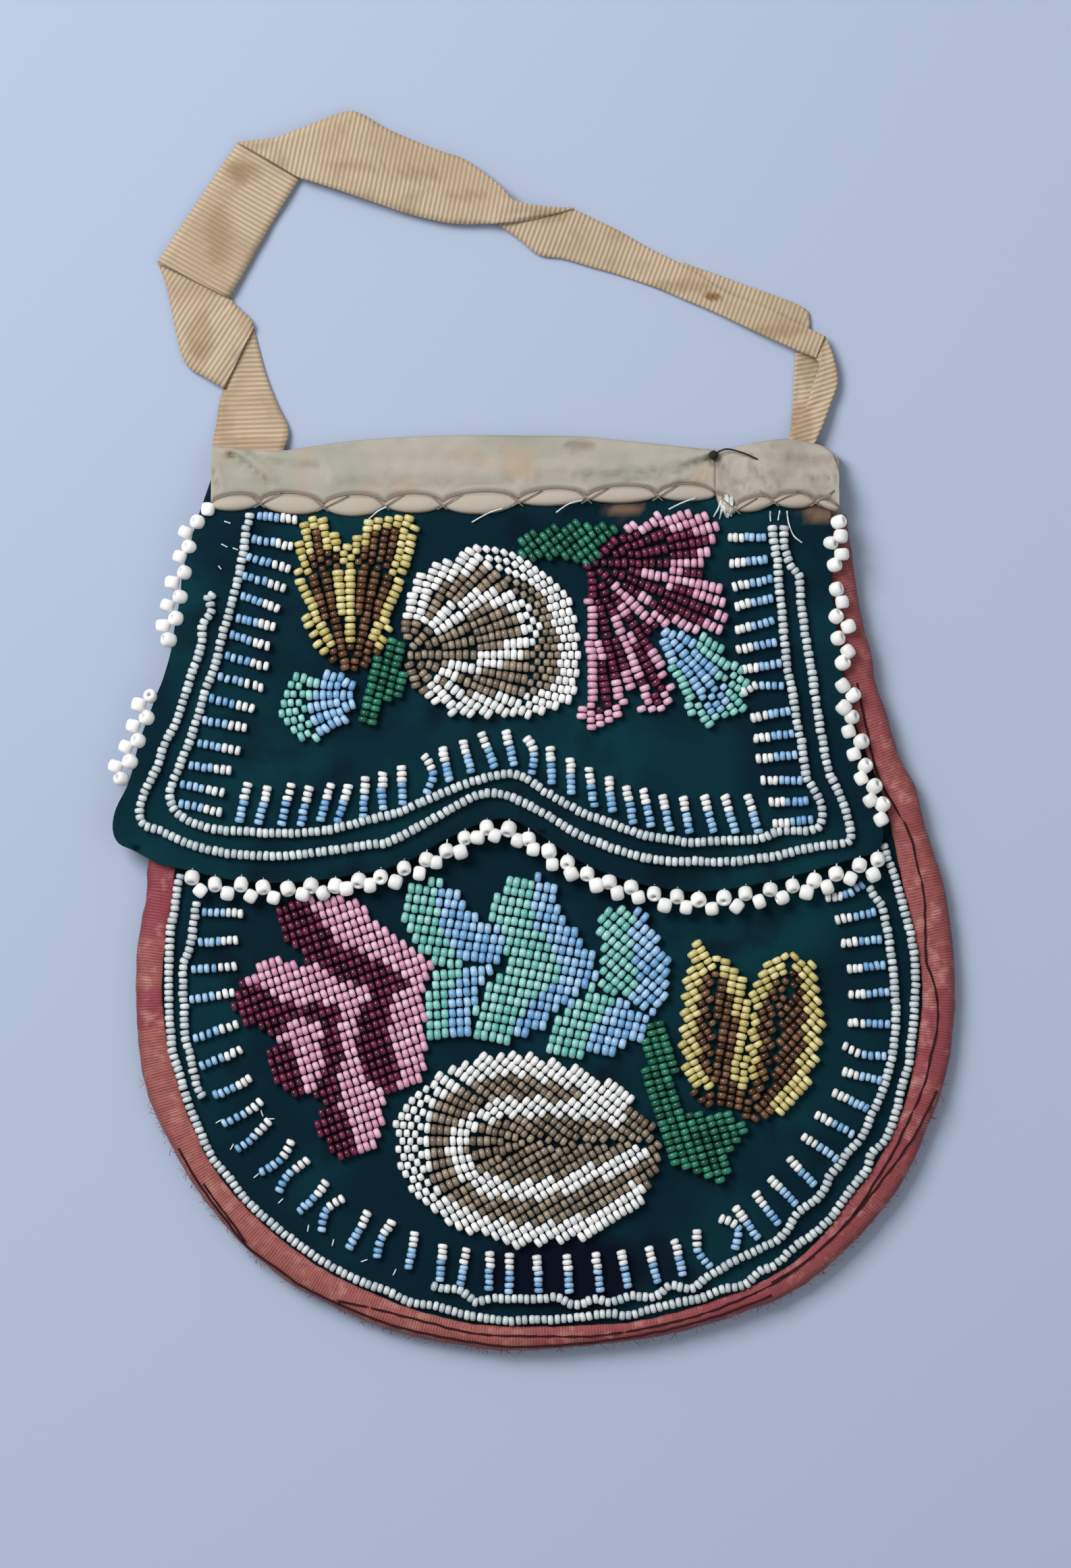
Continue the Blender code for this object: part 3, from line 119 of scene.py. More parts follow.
# Red binding: its outer edge and its inner edge, clockwise from the upper right
BINDING_OUTER = [
    (65.7, 79), (67, 70.3), (67.9, 63.3), (69.3, 55.8), (71.1, 49.4), (71.9, 43.6), (74.3, 36.7), (76.9, 28),
    (80.3, 21.6), (82.6, 12.4), (85.1, 5), (86.5, 0), (87.3, -5), (88, -10), (88.4, -15), (88.6, -20),
    (88.5, -25), (88.1, -30), (87.5, -35), (86.3, -40), (84.7, -45), (82.7, -50), (80.7, -55), (78.2, -60),
    (74.9, -65), (70, -70.9), (65, -76), (60, -80.4), (55, -83.9), (50, -86.5), (45, -88.2), (40, -90),
    (30, -92.9), (20, -94.6), (10, -95.7), (0, -96.5), (-6.5, -96.6), (-13.9, -95.7), (-24.1, -93.9),
    (-34.7, -90.6), (-45.4, -85.5), (-50.9, -82.6), (-55.6, -79), (-60.2, -75.1), (-64.8, -70.2),
    (-69, -64.9), (-72.4, -60), (-75.2, -55), (-78, -49.6), (-80.1, -45), (-81.7, -40), (-82.6, -35),
    (-83.3, -25), (-83.3, -15), (-82.9, -10), (-81.9, -5), (-81.1, 0), (-80.8, 6.5), (-79, 14), (-74, 32),
    (-69, 52), (-65.5, 79),
]
BINDING_INNER = [
    (59, 79), (60, 70), (61, 62.5), (64.3, 48), (67.5, 35), (73.6, 19), (76.8, 5), (77.8, 0), (79, -5),
    (80.1, -10), (81.1, -15), (81.6, -20), (81.5, -25), (80.9, -30), (80.1, -35), (79.2, -40), (77.8, -45),
    (75.9, -50), (73.3, -55), (70.1, -60), (66.2, -65), (63, -69.6), (59.6, -73.4), (55, -77.8), (50, -80.8),
    (45, -83.4), (40, -85.3), (30, -88.5), (20, -90.6), (10, -91.2), (0, -91.5), (-9.3, -91.2),
    (-16.2, -90.2), (-27.8, -86.9), (-41.7, -80.7), (-48.6, -76.3), (-54.7, -71.6), (-60.2, -66.5),
    (-64.4, -61.7), (-68.1, -56.3), (-71, -50.2), (-73.1, -45), (-74.6, -40), (-76, -35), (-76.9, -30),
    (-77.6, -25), (-77.8, -20), (-77.5, -15), (-76.9, -10), (-76.1, -5), (-75.3, 0), (-75, 5), (-72.5, 14),
    (-67.3, 32), (-62, 52), (-58.5, 79),
]

# Dark thread that sews the binding on
SIDE_STITCHES = [
    [(67.9, 43.6), (70.2, 32.6), (72.4, 23.9), (76.9, 15.8), (79.2, 11.2), (80.6, 5), (81.8, 0), (82.2, -5),
     (82.2, -10), (82.5, -15), (84.2, -20), (84.9, -25), (84.5, -30), (83.3, -35), (82.2, -40), (80.2, -45),
     (77.8, -50), (75.4, -55), (72.3, -60), (69.2, -65), (65, -70.4), (60, -75.3), (55, -79.4), (50, -82.6),
     (45, -85), (38, -87.9), (30, -90.3), (20, -92.4), (12, -93.4), (0, -93.4), (-12, -92.9), (-24, -90),
     (-33, -87.7), (-41, -86)],
    [(84.7, -42), (80.8, -49.9), (77.2, -55.4), (73.3, -60.5), (70.5, -64.2), (66.5, -69), (62, -73.5),
     (56, -78.6), (50, -82.2)],
    [(50, -84.8), (44, -87.3), (36, -90), (24, -93), (10, -95), (-4, -95.7), (-12, -94.8), (-20, -93.4),
     (-30, -91), (-40, -87), (-48, -83.2), (-54, -79), (-60, -74.6), (-64, -69.6), (-68, -64.4),
     (-71, -60), (-74.4, -54)],
    [(-60.4, -73.6), (-63.4, -69.2), (-66.6, -65), (-69.2, -61.4)],
]

# Velvet edge of the flap, clockwise from the upper right
FLAP_OUTLINE = [
    (62.4, 77.8), (63, 69.1), (62.4, 63.3), (63.2, 58.7), (63.8, 52.9), (64.7, 47.1),
    (65.3, 41.3), (66.1, 35.5), (67, 30.9), (68.7, 25.7), (70.5, 21), (72.5, 16.4), (73.4, 12.4), (72.2, 8.3),
    (68.2, 7.1), (62.4, 5.4), (56.6, 3.7), (50.8, 2.2), (45, 1.1), (39.2, 0.2), (33.4, -0.1), (27.6, 0.5),
    (21.8, 1.6), (16.1, 3.4), (10.3, 6), (4.5, 9.7), (0.5, 12.4), (-4.7, 15), (-9.3, 14.7), (-13.9, 12.9),
    (-19.7, 10), (-25.5, 6.6), (-31.3, 4.5), (-37.1, 3.4), (-42.9, 2.5), (-48.7, 1.9), (-54.5, 1.6),
    (-60.3, 2), (-66, 2.8), (-71.8, 4.2), (-77.6, 5.4), (-81.1, 7.1), (-84, 8.6), (-86.9, 10), (-88.1, 12.9),
    (-87.5, 17), (-85.2, 21.6), (-84, 25.1), (-82.6, 30.9), (-80.5, 36.7), (-78.8, 41.3), (-77.6, 44.2),
    (-75.9, 50), (-75, 55.8), (-73.9, 61.6), (-73.3, 67.4), (-70, 79),
]

# Cream top binding: points where the scallops meet, their lowest points and the upper edge
SCALLOPS = [
    (-67.5, 80.8), (-62, 79.7), (-57.1, 81.5), (-50, 78.9), (-43.8, 80.7), (-37, 78.5), (-31, 81),
    (-25, 79.2), (-18.9, 81.1), (-11, 79), (-3, 81.8), (4, 80.7), (11.4, 82.4), (19, 81.3), (26.2, 83),
    (32, 81.7), (38.2, 83),
]
PATCH_SCALLOPS = [
    (38.2, 83), (39.4, 79.2), (42.4, 80.2), (46, 79.6), (50.5, 81.8), (54.9, 80.2), (59.2, 81.8), (62, 80),
    (64.1, 80.1),
]
BINDING_TOP = [
    (-67.5, 93.2), (-66, 93.4), (-54.5, 92.4), (-45.8, 93.4), (-37.1, 94.6), (-25.5, 95.4), (-13.9, 95.7),
    (-2, 95.6), (10.3, 95.4), (24.7, 94), (36.3, 92.8), (40.4, 92.8), (47.9, 94.3), (53.7, 94.9),
    (60.1, 93.7), (63, 91.7), (64.1, 88),
]

# Strings of seed beads, each from its start to its end
BODY_OUTER_STRING = [
    (-73.8, 3.7), (-74.6, 0.4), (-75.1, -4), (-76, -8.4), (-76.3, -13.5), (-76.4, -19.4), (-76.3, -25),
    (-76, -29.7), (-75.5, -34.2), (-74, -38.6), (-72.5, -44), (-69.9, -50.3), (-67.2, -55.9), (-63.9, -60),
    (-60.2, -64.7), (-55.6, -69.1), (-50, -73.5), (-44, -77.7), (-37.1, -81.4), (-30.1, -84.1),
    (-25.9, -86.2), (-19.9, -87.2), (-13.9, -89), (-5.6, -90.1), (0, -89.9), (4.6, -89.9), (9.3, -89.4),
    (15.3, -88.7), (19.9, -89), (24.5, -87.8), (30.1, -86.4), (34.7, -85.5), (39.4, -83.6), (44.5, -82.6),
    (47.2, -79.9), (50.9, -78.3), (54.7, -74.8), (59.3, -71.4), (62.5, -68.4), (65, -64.8), (67.3, -61.7),
    (70.1, -58.1), (70.9, -55), (73.3, -53), (74.8, -49.9), (76.2, -45.9), (77, -42.4), (78, -38.8),
    (78.8, -36), (79.2, -31.7), (79.8, -27.8), (80, -23.4), (80.2, -19.5), (80, -14.7), (79.4, -10.8),
    (78.6, -7.2), (77.6, -3.3), (76.4, 1.1), (75.4, 4.2), (74.3, 6.6), (73.5, 10),
]
BODY_INNER_LEFT = [
    (-70.5, -2.1), (-71, -5.5), (-71.4, -8.4), (-72, -12.1), (-73.3, -15.4), (-73.4, -19.4), (-73.3, -23.1),
    (-73.1, -26.8), (-72.9, -30.5), (-72, -34.1), (-71.2, -37.8), (-70.3, -41.5), (-69, -43.4),
]
BODY_INNER_RIGHT = [
    (-21.3, -82.8), (-18.5, -83.4), (-15.7, -83.7), (-13.4, -85.1), (-12, -86.2), (-8.3, -85.5), (0, -85.6),
    (5.1, -85.3), (7.9, -86.6), (10.2, -86.6), (13.4, -85.5), (16.2, -86.2), (20.8, -84.8), (23.6, -85.3),
    (26.4, -84.6), (28.7, -82.7), (31.5, -83.2), (33.8, -83.2), (36.1, -81.1), (39.8, -79), (44, -76.7),
    (47.2, -75), (50.9, -73.4), (53.3, -70.9), (55.6, -67.4), (59.2, -64.7), (61, -62.6), (62.2, -59.8),
    (64.3, -57.5), (65.8, -54.8), (68.1, -52.6), (69.7, -50), (70.9, -47), (72.2, -44.5), (73.5, -41.2),
    (74.4, -37.8), (75.2, -34.9), (75.7, -31.7), (76, -28.2), (76, -24.2), (75.7, -20.3), (75.4, -16.3),
    (74.9, -12.8), (74.5, -9.2), (73.9, -6.8), (73.1, -3.3), (71.7, -1.3), (70.3, 1),
]
FLAP_INNER_STRING = [
    (-59.1, 79.2), (-60, 75.5), (-60.8, 70.3), (-61.7, 65.6), (-62.9, 61), (-64, 56.9), (-65.2, 52.9),
    (-66.6, 47.1), (-68.4, 42.5), (-70.1, 36.7), (-71.8, 31.5), (-74.2, 25.7), (-75.9, 21), (-75.6, 18.1),
    (-73.9, 15.8), (-70.7, 14.1), (-66, 12.9), (-60.3, 12.5), (-54.5, 12.1), (-48.7, 12.2), (-42.9, 12.9),
    (-38.3, 13.8), (-34.2, 15), (-28.4, 16.4), (-24.4, 18.1), (-19.7, 20.2), (-13.9, 22.5), (-9.3, 23.9),
    (-4.7, 24.5), (-1.2, 23.4), (2.7, 20.7), (6.8, 18.4), (10.8, 16.1), (14.9, 14.7), (19, 13.2), (23, 11.7),
    (27.6, 10.9), (32.8, 10.2), (39.2, 10.5), (45, 10.7), (47.9, 11.1), (50.8, 12.4), (54.9, 12.6),
    (58.9, 12.9), (60.2, 14.7), (60.4, 17.6), (59.2, 20.5), (57.2, 23.9), (56.3, 29.7), (55.1, 35.5),
    (54.3, 41.3), (53.1, 47.1), (52.5, 52.9), (52, 58.7), (51.4, 64.5), (51.1, 69.1), (50.2, 73.7),
    (50, 76.6),
]
FLAP_OUTER_STRING = [
    (-66.6, 61.9), (-68.1, 61.6), (-67.3, 58.6), (-69.2, 55.8), (-69.2, 52.9), (-69.8, 50), (-71.3, 45.9),
    (-72.7, 41.3), (-74.7, 35.5), (-77, 30.9), (-78.8, 25.7), (-81.1, 21), (-82.3, 17.6), (-81.7, 14.1),
    (-77.6, 12.4), (-73, 10.3), (-68.9, 8.9), (-63.2, 7.8), (-57.4, 7.4), (-51.6, 7.4), (-45.8, 8),
    (-40, 8.9), (-34.2, 9.7), (-30.1, 10.3), (-25.5, 12.6), (-19.7, 15.8), (-15.1, 18.4), (-10.5, 20.4),
    (-5.6, 20), (-0.9, 18), (4.5, 14.9), (10.3, 11.5), (16.1, 9.2), (21.8, 7.4), (27.6, 6.3), (33.4, 6.3),
    (39.2, 6.1), (45, 6.6), (50.8, 7.4), (55.4, 8.6), (60.6, 9.5), (65.9, 10.3), (66.4, 12.4), (65.3, 17),
    (63.5, 21.6), (61.8, 25.1), (60.6, 30.9), (59.8, 35.5), (58.9, 41.3), (58.3, 45.9), (57.2, 51.7),
    (56.6, 55.8), (56, 61), (55.7, 65.6), (53.7, 68.5), (52.5, 72.6), (52.5, 76.6),
]

# Short bars of seven beads: the end at the string, a bend where there is one, and the free end
FLAP_BARS = [
    [(-57.9, 78.7), (-49.3, 77.8)], [(-59.1, 73.7), (-50.1, 72)], [(-60, 70), (-50.7, 67.4)],
    [(-60.8, 66.2), (-51.7, 63.3)], [(-61.4, 61.9), (-53, 59)], [(-62.3, 57.2), (-53.8, 55.2)],
    [(-63.7, 53.8), (-55, 51.1)], [(-64.6, 49.4), (-55.3, 46.8)], [(-66, 45.1), (-56.3, 42.5)],
    [(-67.8, 40.4), (-58.2, 38.1)], [(-69.3, 35.8), (-59.8, 34.1)], [(-70.4, 31), (-61.2, 29.3)],
    [(-72.2, 26.4), (-63, 25.2)], [(-74, 22.5), (-64.5, 20.5)], [(-74.2, 18.4), (-65, 16.4)],
    [(-61.5, 14.2), (-59.6, 22.8)], [(-57.5, 13.8), (-55.3, 22.3)], [(-52.8, 13.6), (-50.4, 22.6)],
    [(-48.7, 13.5), (-46.7, 22.2)], [(-44.6, 14.4), (-42.2, 22.5)], [(-40.9, 14.4), (-38.5, 22.5)],
    [(-35.6, 15.2), (-35, 24)], [(-31.3, 16.9), (-31.6, 19.6), (-31.3, 25.2)],
    [(-27.3, 17.9), (-27.5, 26.4)], [(-22.3, 20.3), (-20.9, 24.6), (-23, 28.6)],
    [(-17.4, 22.7), (-19, 30.3)], [(-12.8, 24.6), (-14.8, 31.7)], [(-7.9, 25.6), (-10.9, 33.3)],
    [(-3.8, 26), (-5.9, 33.8)], [(-0.3, 24.3), (0.2, 29.4), (-1.6, 32.4)], [(3.9, 22.2), (3.5, 30.5)],
    [(8.1, 19.9), (7.7, 28)], [(12.7, 17.4), (11.6, 26)], [(16.6, 16.4), (15.7, 24.2)],
    [(21, 13.9), (19.4, 22.2)], [(24.8, 13.3), (22.9, 21.6)], [(28.7, 12.4), (26.9, 20.3)],
    [(32.8, 12), (31.2, 20)], [(37.8, 12), (35.7, 20.2)], [(42.4, 12), (39.9, 20.2)],
    [(47.3, 12), (44.7, 20.4)], [(58.6, 15), (49.9, 14.1)], [(57.8, 18.8), (49.1, 18.6)],
    [(56.3, 23.1), (47.6, 23.2)], [(55.2, 28.5), (46.6, 27.7)], [(54.6, 33.1), (45.9, 31.8)],
    [(54, 37.7), (45.4, 36.2)], [(52.5, 42.8), (47, 43), (43.6, 41.3)], [(52, 47.7), (43.6, 46.2)],
    [(51.1, 52.2), (42.3, 50.4)], [(50.5, 56.6), (42, 54.5)], [(50.4, 61.3), (42, 59.5)],
    [(50.2, 65.4), (41.7, 63.6)], [(49.2, 69.4), (41, 68.4)], [(48.8, 74), (40.6, 74)],
]
BODY_BARS = [
    [(-69.5, -4.5), (-60.7, -4.7)], [(-70.3, -11), (-61.8, -10.2)], [(-71.8, -16.5), (-62, -15.8)],
    [(-72.2, -22.9), (-62.4, -21.3)], [(-71.4, -31), (-61.7, -27.9)], [(-69.9, -36.9), (-60.9, -33.2)],
    [(-67.2, -42.9), (-63.4, -41.6), (-58.9, -39.1)], [(-65.3, -48.9), (-60.6, -46.8), (-56.7, -43.9)],
    [(-62.3, -54.5), (-58.6, -51.6), (-55.1, -48)], [(-57.4, -59.1), (-53.2, -56.6), (-50.5, -52.2)],
    [(-53.3, -63.3), (-51.8, -60), (-47, -56.1)], [(-49.3, -67.5), (-45.6, -64), (-43.3, -60.7)],
    [(-44.4, -71.6), (-43.4, -67), (-39.6, -64.2)], [(-38.9, -75.1), (-36.4, -71), (-34.6, -67)],
    [(-32.8, -77.2), (-31.9, -73.2), (-29.4, -69)], [(-26.2, -79.5), (-24.7, -71.2)],
    [(-19.7, -82), (-18.8, -73.8)], [(-15.3, -83), (-13.9, -74.7)], [(-9.3, -83.9), (-9, -75.5)],
    [(-5, -84.6), (-4.9, -75.7)], [(1.2, -84.3), (0.9, -76.2)], [(7.6, -84.6), (7, -76)],
    [(14.1, -84.3), (13.1, -75.6)], [(20, -83.4), (18.3, -75.1)], [(26.2, -82.5), (24.1, -74.4)],
    [(31.6, -80.9), (29.6, -73)], [(37.3, -79), (34.6, -75.4), (34.2, -70.8)],
    [(42.2, -75.4), (43, -70.6), (39, -68.4)], [(47.3, -73.2), (42.3, -66.1)],
    [(51.6, -70), (46.3, -63.2)], [(55.4, -65.8), (49.4, -60)], [(59.3, -61.9), (53.4, -55.9)],
    [(63.9, -56.3), (56.3, -51.2)], [(67.2, -51.2), (59.2, -46.6)], [(70.4, -45.9), (62.8, -42)],
    [(73.2, -39.9), (64.6, -37.8)], [(74.3, -34.5), (69, -34.4), (64.8, -32.4)],
    [(74.8, -27.9), (65.8, -27.7)], [(74.8, -21.2), (66, -21.8)], [(74, -15.5), (65.6, -16.5)],
    [(73.1, -10), (64.4, -11)], [(72.1, -4.4), (63.2, -6.2)], [(69.3, 1.6), (66, -0.6), (61.2, -1.5)],
]
LOOSE_BARS = range(6, 16)

# Chains of large white beads along the flap's edge: the centre of every bead
EDGE_BOTTOM_UPPER = [
    (-71.4, 2.8), (-66.6, 1.4), (-61.1, 1.4), (-56.5, 0.8), (-51.3, 0.5), (-46.5, 1.1), (-41.4, 1.1),
    (-36.5, 2.2), (-31.9, 3), (-27, 4.8), (-22.3, 6.6), (-18.1, 8.4), (-14.3, 11.1), (-9.7, 13.3),
    (-5.1, 13), (-1, 10.9), (3.3, 8.4), (7.2, 6), (11.3, 3.6), (15.9, 1.9), (20.5, 0.8), (25.3, -0.5),
    (30.1, -1.1), (34.6, -1.8), (39.9, -1.4), (44.4, -0.5), (49.6, 0.3), (54.3, 1.1), (58.8, 2.2),
    (63.4, 3.6), (68.3, 5.4), (72.1, 6.6),
]
EDGE_BOTTOM_LOWER = [
    (-69.7, 0.1), (-64, -0.5), (-59.1, -1.1), (-54.3, -1.4), (-48.2, -0.7), (-44, -0.4), (-39.1, 0.5),
    (-34.2, 1.2), (-28.8, 1.9), (-23.8, 3.7), (-20.3, 6), (-15.2, 8.2), (-11.6, 11.2), (-8, 11.6),
    (-3.2, 10.6), (0, 8.8), (4, 5.6), (8, 3.6), (13.2, 1.2), (17.6, -0.4), (22, -1.3), (27.5, -3),
    (32, -3.4), (37.4, -3.7), (42.6, -3.2), (47.3, -2.2), (52.1, -1.4), (57.2, -0.3), (61.5, 0.8),
    (66.4, 2.6), (71.2, 3.4),
]
EDGE_LEFT_UPPER = [
    (-68.1, 80), (-70.3, 77.3), (-72.8, 75.1), (-72, 72.1), (-74, 70), (-73, 66.7), (-75.6, 64.6),
    (-73.9, 61.6), (-76.6, 59.8), (-74.8, 57.1), (-77.5, 55.6), (-76.3, 52.6),
]
EDGE_LEFT_LOWER = [
    (-80.1, 40.8), (-82.6, 39), (-80.9, 36.3), (-83.8, 34.6), (-82.7, 31.5), (-85.3, 30.2), (-84.4, 27.1),
    (-87.5, 26.1), (-86.3, 23.5),
]
EDGE_RIGHT_UPPER = [(64, 77.3), (64.4, 74.3), (62.3, 72.9), (64.6, 70.5), (63.1, 68.3)]
EDGE_RIGHT_LOWER = [
    (63.5, 63.2), (64.7, 60.5), (63.4, 57.5), (66, 55.4), (63.8, 52.9), (65.9, 50.1), (64.8, 47.8),
    (64.8, 43), (67, 41), (65, 38.4), (66.7, 36.4), (66, 33.4), (68.7, 31.3), (67.1, 28.6), (69.5, 26.2),
    (68.6, 23.6), (71.4, 21.9), (70.6, 19), (73.1, 18.1), (72.8, 15),
]

# Outlines of the beadwork
FLAP_YELLOW = [
    (-49.5, 75), (-48.5, 78.2), (-46, 79.3), (-43.5, 78.9), (-41.7, 76.1), (-41, 73.3), (-38.9, 71.9),
    (-37.1, 74.3), (-35.4, 77.2), (-31.8, 78.9), (-24.8, 78.9), (-24.4, 75.7), (-25.1, 71.5),
    (-26.9, 67.3), (-28.3, 61.6), (-29.7, 56.6), (-30.4, 53.1), (-33.9, 48.2), (-36.8, 45), (-39.6, 46),
    (-45.3, 51), (-48.1, 57.4), (-49.5, 64.4), (-49.2, 70.1),
]
FLAP_BLUE_BUD = [
    (-53, 39), (-52.3, 42.5), (-49.9, 45), (-44.6, 46), (-38.2, 44.6), (-36.6, 42.5), (-37.1, 39),
    (-41, 34), (-46.7, 31.5), (-50.6, 33), (-52.7, 35.4),
]
FLAP_GREEN_LEFT = [
    (-31.8, 51), (-29, 53.8), (-26.9, 51.7), (-26.5, 45.3), (-27.9, 40.4), (-31.1, 38.3), (-31.8, 35.1),
    (-34.7, 33.7), (-36.4, 36.1), (-36.6, 39.7), (-35.4, 43.9),
]
SHELL = [
    (-27.2, 54.5), (-26.9, 59.5), (-24.8, 64.4), (-21.9, 68), (-17, 70.1), (-12.7, 71.9), (-8.5, 71.9),
    (-4.2, 70.4), (1.4, 68.3), (5, 65.1), (7.8, 60.9), (9.6, 54.5), (10.3, 48.2), (9.6, 42.5), (7.1, 39),
    (2.8, 37.5), (-4.2, 36.5), (-11.3, 36.1), (-17, 37.2), (-21.2, 39.7), (-25.5, 42.5), (-26.2, 46.7),
]
SHELL_CRESCENT = [
    (-20.5, 55.5), (-15.6, 59.2), (-9.9, 61.6), (-5.7, 60.9), (-2.1, 58.8), (0.2, 55.2), (-1.8, 51.6),
    (-7.1, 49.1), (-12.7, 46.9), (-17.4, 45.8),
]
FLAP_GREEN_TOP = [
    (-4.2, 70.8), (-2.8, 73.3), (0, 75.4), (4.2, 76.8), (8.5, 77.2), (12.7, 76.8), (17, 76.8),
    (17.7, 74.7), (15.6, 72.6), (14.2, 70.1), (11.3, 68), (8.5, 69), (1.4, 69), (-2.1, 69.4),
]
FLAP_TEAL = [
    (26.2, 54.9), (31.8, 53.8), (36.1, 53.1), (39.6, 51), (41.7, 48.2), (44.6, 45.3), (44.9, 41.1),
    (43.9, 36.8), (40.3, 35.4), (36.8, 34.7), (33.3, 36.8), (30.4, 40.4), (28.7, 45.3), (26.9, 50.3),
]
TEAL_ONE = [
    (-27.6, -1.4), (-25.5, 1.1), (-21.2, 1.8), (-16.3, 0.8), (-13.4, -3.5), (-9.2, -7), (-6.4, -10.6),
    (-5.9, -13.8), (-8.9, -16.6), (-10.9, -20.8), (-12.6, -24.4), (-13, -30.8), (-15.6, -31.3),
    (-21.2, -31.4), (-22.3, -28.3), (-22.2, -22.4), (-20.4, -17), (-21.6, -13.9), (-25, -11.4),
    (-27.2, -7),
]
TEAL_TWO = [
    (-8.5, -2.8), (-6.4, 1.8), (-2.8, 3.6), (1.4, 2.9), (4.6, 0.4), (5.7, -4.2), (9.9, -9.1),
    (13.4, -14.8), (13.4, -19), (9.9, -21.2), (5.7, -24), (2.8, -28.2), (-1.4, -31.1), (-8.5, -32.5),
    (-12.4, -30.4), (-12, -24.7), (-9.2, -19.8), (-5.3, -15.5), (-6.4, -11.3), (-8.5, -7),
]
TEAL_THREE = [
    (13.4, -7), (14.9, -4.2), (18.4, -2.4), (22.6, -4.6), (26.2, -9.1), (28.3, -14.8), (28.3, -21.2),
    (25.5, -26.8), (22.6, -31.1), (16.3, -34.6), (9.9, -34.6), (2.8, -33.2), (2.5, -30.4), (5.7, -25.4),
    (9.9, -21.9), (13.8, -19), (14.1, -15.5), (14.9, -12),
]
OVAL = [
    (-29, -49.5), (-27.6, -45.2), (-24.8, -41.7), (-19.8, -38.2), (-14.1, -35.3), (-8.5, -33.9),
    (-1.4, -34.3), (5.7, -35.3), (12.7, -38.2), (19.1, -41.7), (22.6, -45.2), (26.2, -50.9), (26.9, -55.1),
    (25.5, -61.5), (23.3, -65.7), (18.4, -69.3), (11.3, -72.8), (2.8, -74.6), (-5, -74.6), (-12.7, -72.1),
    (-18.4, -70), (-22.6, -66.4), (-26.2, -62.2), (-28.3, -56.5),
]
OVAL_RING = [
    (17.7, -47), (11.3, -45.2), (5.7, -45.9), (0.7, -45.2), (-5, -45.2), (-9.9, -46.6), (-14.1, -49.5),
    (-16.3, -53.7), (-16.3, -55.1), (-13.4, -59.4), (-9.2, -62.2), (-3.5, -62.9), (2.8, -62.6),
    (9.9, -60.1), (16.3, -58), (22.6, -55.1),
]
BODY_STEM = [
    (23.7, -26.8), (27.6, -27.5), (30.1, -32.5), (30.4, -38.2), (30.8, -42.4), (32.5, -45.9),
    (37.5, -46.6), (42.4, -46.3), (44.9, -49.5), (43.9, -53), (41, -55.1), (41.4, -58.7), (39.6, -61.1),
    (36.1, -60.8), (32.5, -58.7), (28.3, -57.3), (26.2, -53.7), (25.5, -49.5), (23.7, -43.8),
    (22.6, -38.9), (23, -32.5),
]
BODY_YELLOW = [
    (31.8, -16.9), (32.9, -12), (34, -9.9), (35.4, -10.6), (39.6, -13.4), (43.9, -17.6), (45.3, -20.5),
    (47.4, -16.2), (50.9, -13.4), (55.2, -12.7), (58.7, -14.8), (60.1, -19.8), (60.8, -26.1),
    (60.5, -32.5), (58.7, -38.9), (55.2, -45.2), (50.9, -47.3), (45.3, -49.1), (43.2, -46.6),
    (37.5, -45.9), (34, -43.8), (31.5, -38.9), (30.8, -32.5), (31.1, -24.7),
]

# The flower on the flap and its pink parts
FLAP_FLOWER = [
    (11, 67.3), (12.7, 70.1), (15.6, 72.6), (19.1, 75.7), (21.2, 77.5), (24.8, 78.9), (33.3, 79.6),
    (36.8, 78.9), (39.6, 76.5), (38.6, 71.5), (36.1, 69), (34.7, 67.3), (36.8, 65.8), (40.7, 62.3),
    (41, 58.1), (39.3, 54.2), (36.1, 53.8), (31.8, 54.2), (26.9, 55.6), (24.8, 53.1), (26.2, 49.6),
    (28.3, 44.6), (29.7, 39.7), (26.2, 36.5), (22.6, 37.5), (22.3, 41.8), (21.2, 43.9), (20.5, 41.8),
    (18.4, 37.5), (16.3, 35.4), (12.7, 33.3), (10.3, 35.4), (10.3, 39.7), (11.7, 45.3), (11.3, 51),
    (10.6, 56.6), (10.6, 60.9), (11.7, 64.4),
]
FLAP_PINK_AREAS = [
    [(19.6, 75.2), (22.4, 75.4), (26, 76), (30, 75.2), (34, 74.6), (36.5, 75.6), (37.4, 73.4), (42, 73),
     (42, 82), (18, 82)],
    [(34.4, 70.6), (42, 69), (42, 73), (35, 73.2)],
]
# Paths of the narrow pink parts, and how far their beads lie from the path
FLAP_PINK_BANDS = [
    ([(23.6, 67.2), (27, 66.6), (29, 67.6), (32.6, 68.4), (36, 68.2)], 1.35),
    ([(29, 65), (33, 64.6), (36, 64), (38, 62)], 1.5),
    ([(35, 61.8), (39.6, 61.4), (40.4, 57), (38, 54.6)], 2.0),
    ([(22.3, 60.9), (24.6, 58.2), (27, 56.4), (31, 55.4), (36, 54.6)], 1.5),
    ([(17.2, 64), (20, 60), (18.2, 57.4), (19.4, 54), (20.4, 50.6), (21.2, 45)], 1.3),
    ([(10.8, 61), (11.6, 56), (12.6, 50), (12.3, 45), (12.3, 40), (11.4, 36), (14, 34.8)], 1.8),
    ([(21.2, 46), (18.6, 43), (17.4, 38.5), (15.6, 36)], 1.5),
    ([(25.4, 53), (27, 48), (28.6, 43), (28.6, 39.5), (26, 37.6), (23.6, 39), (23.2, 41.6)], 1.4),
]
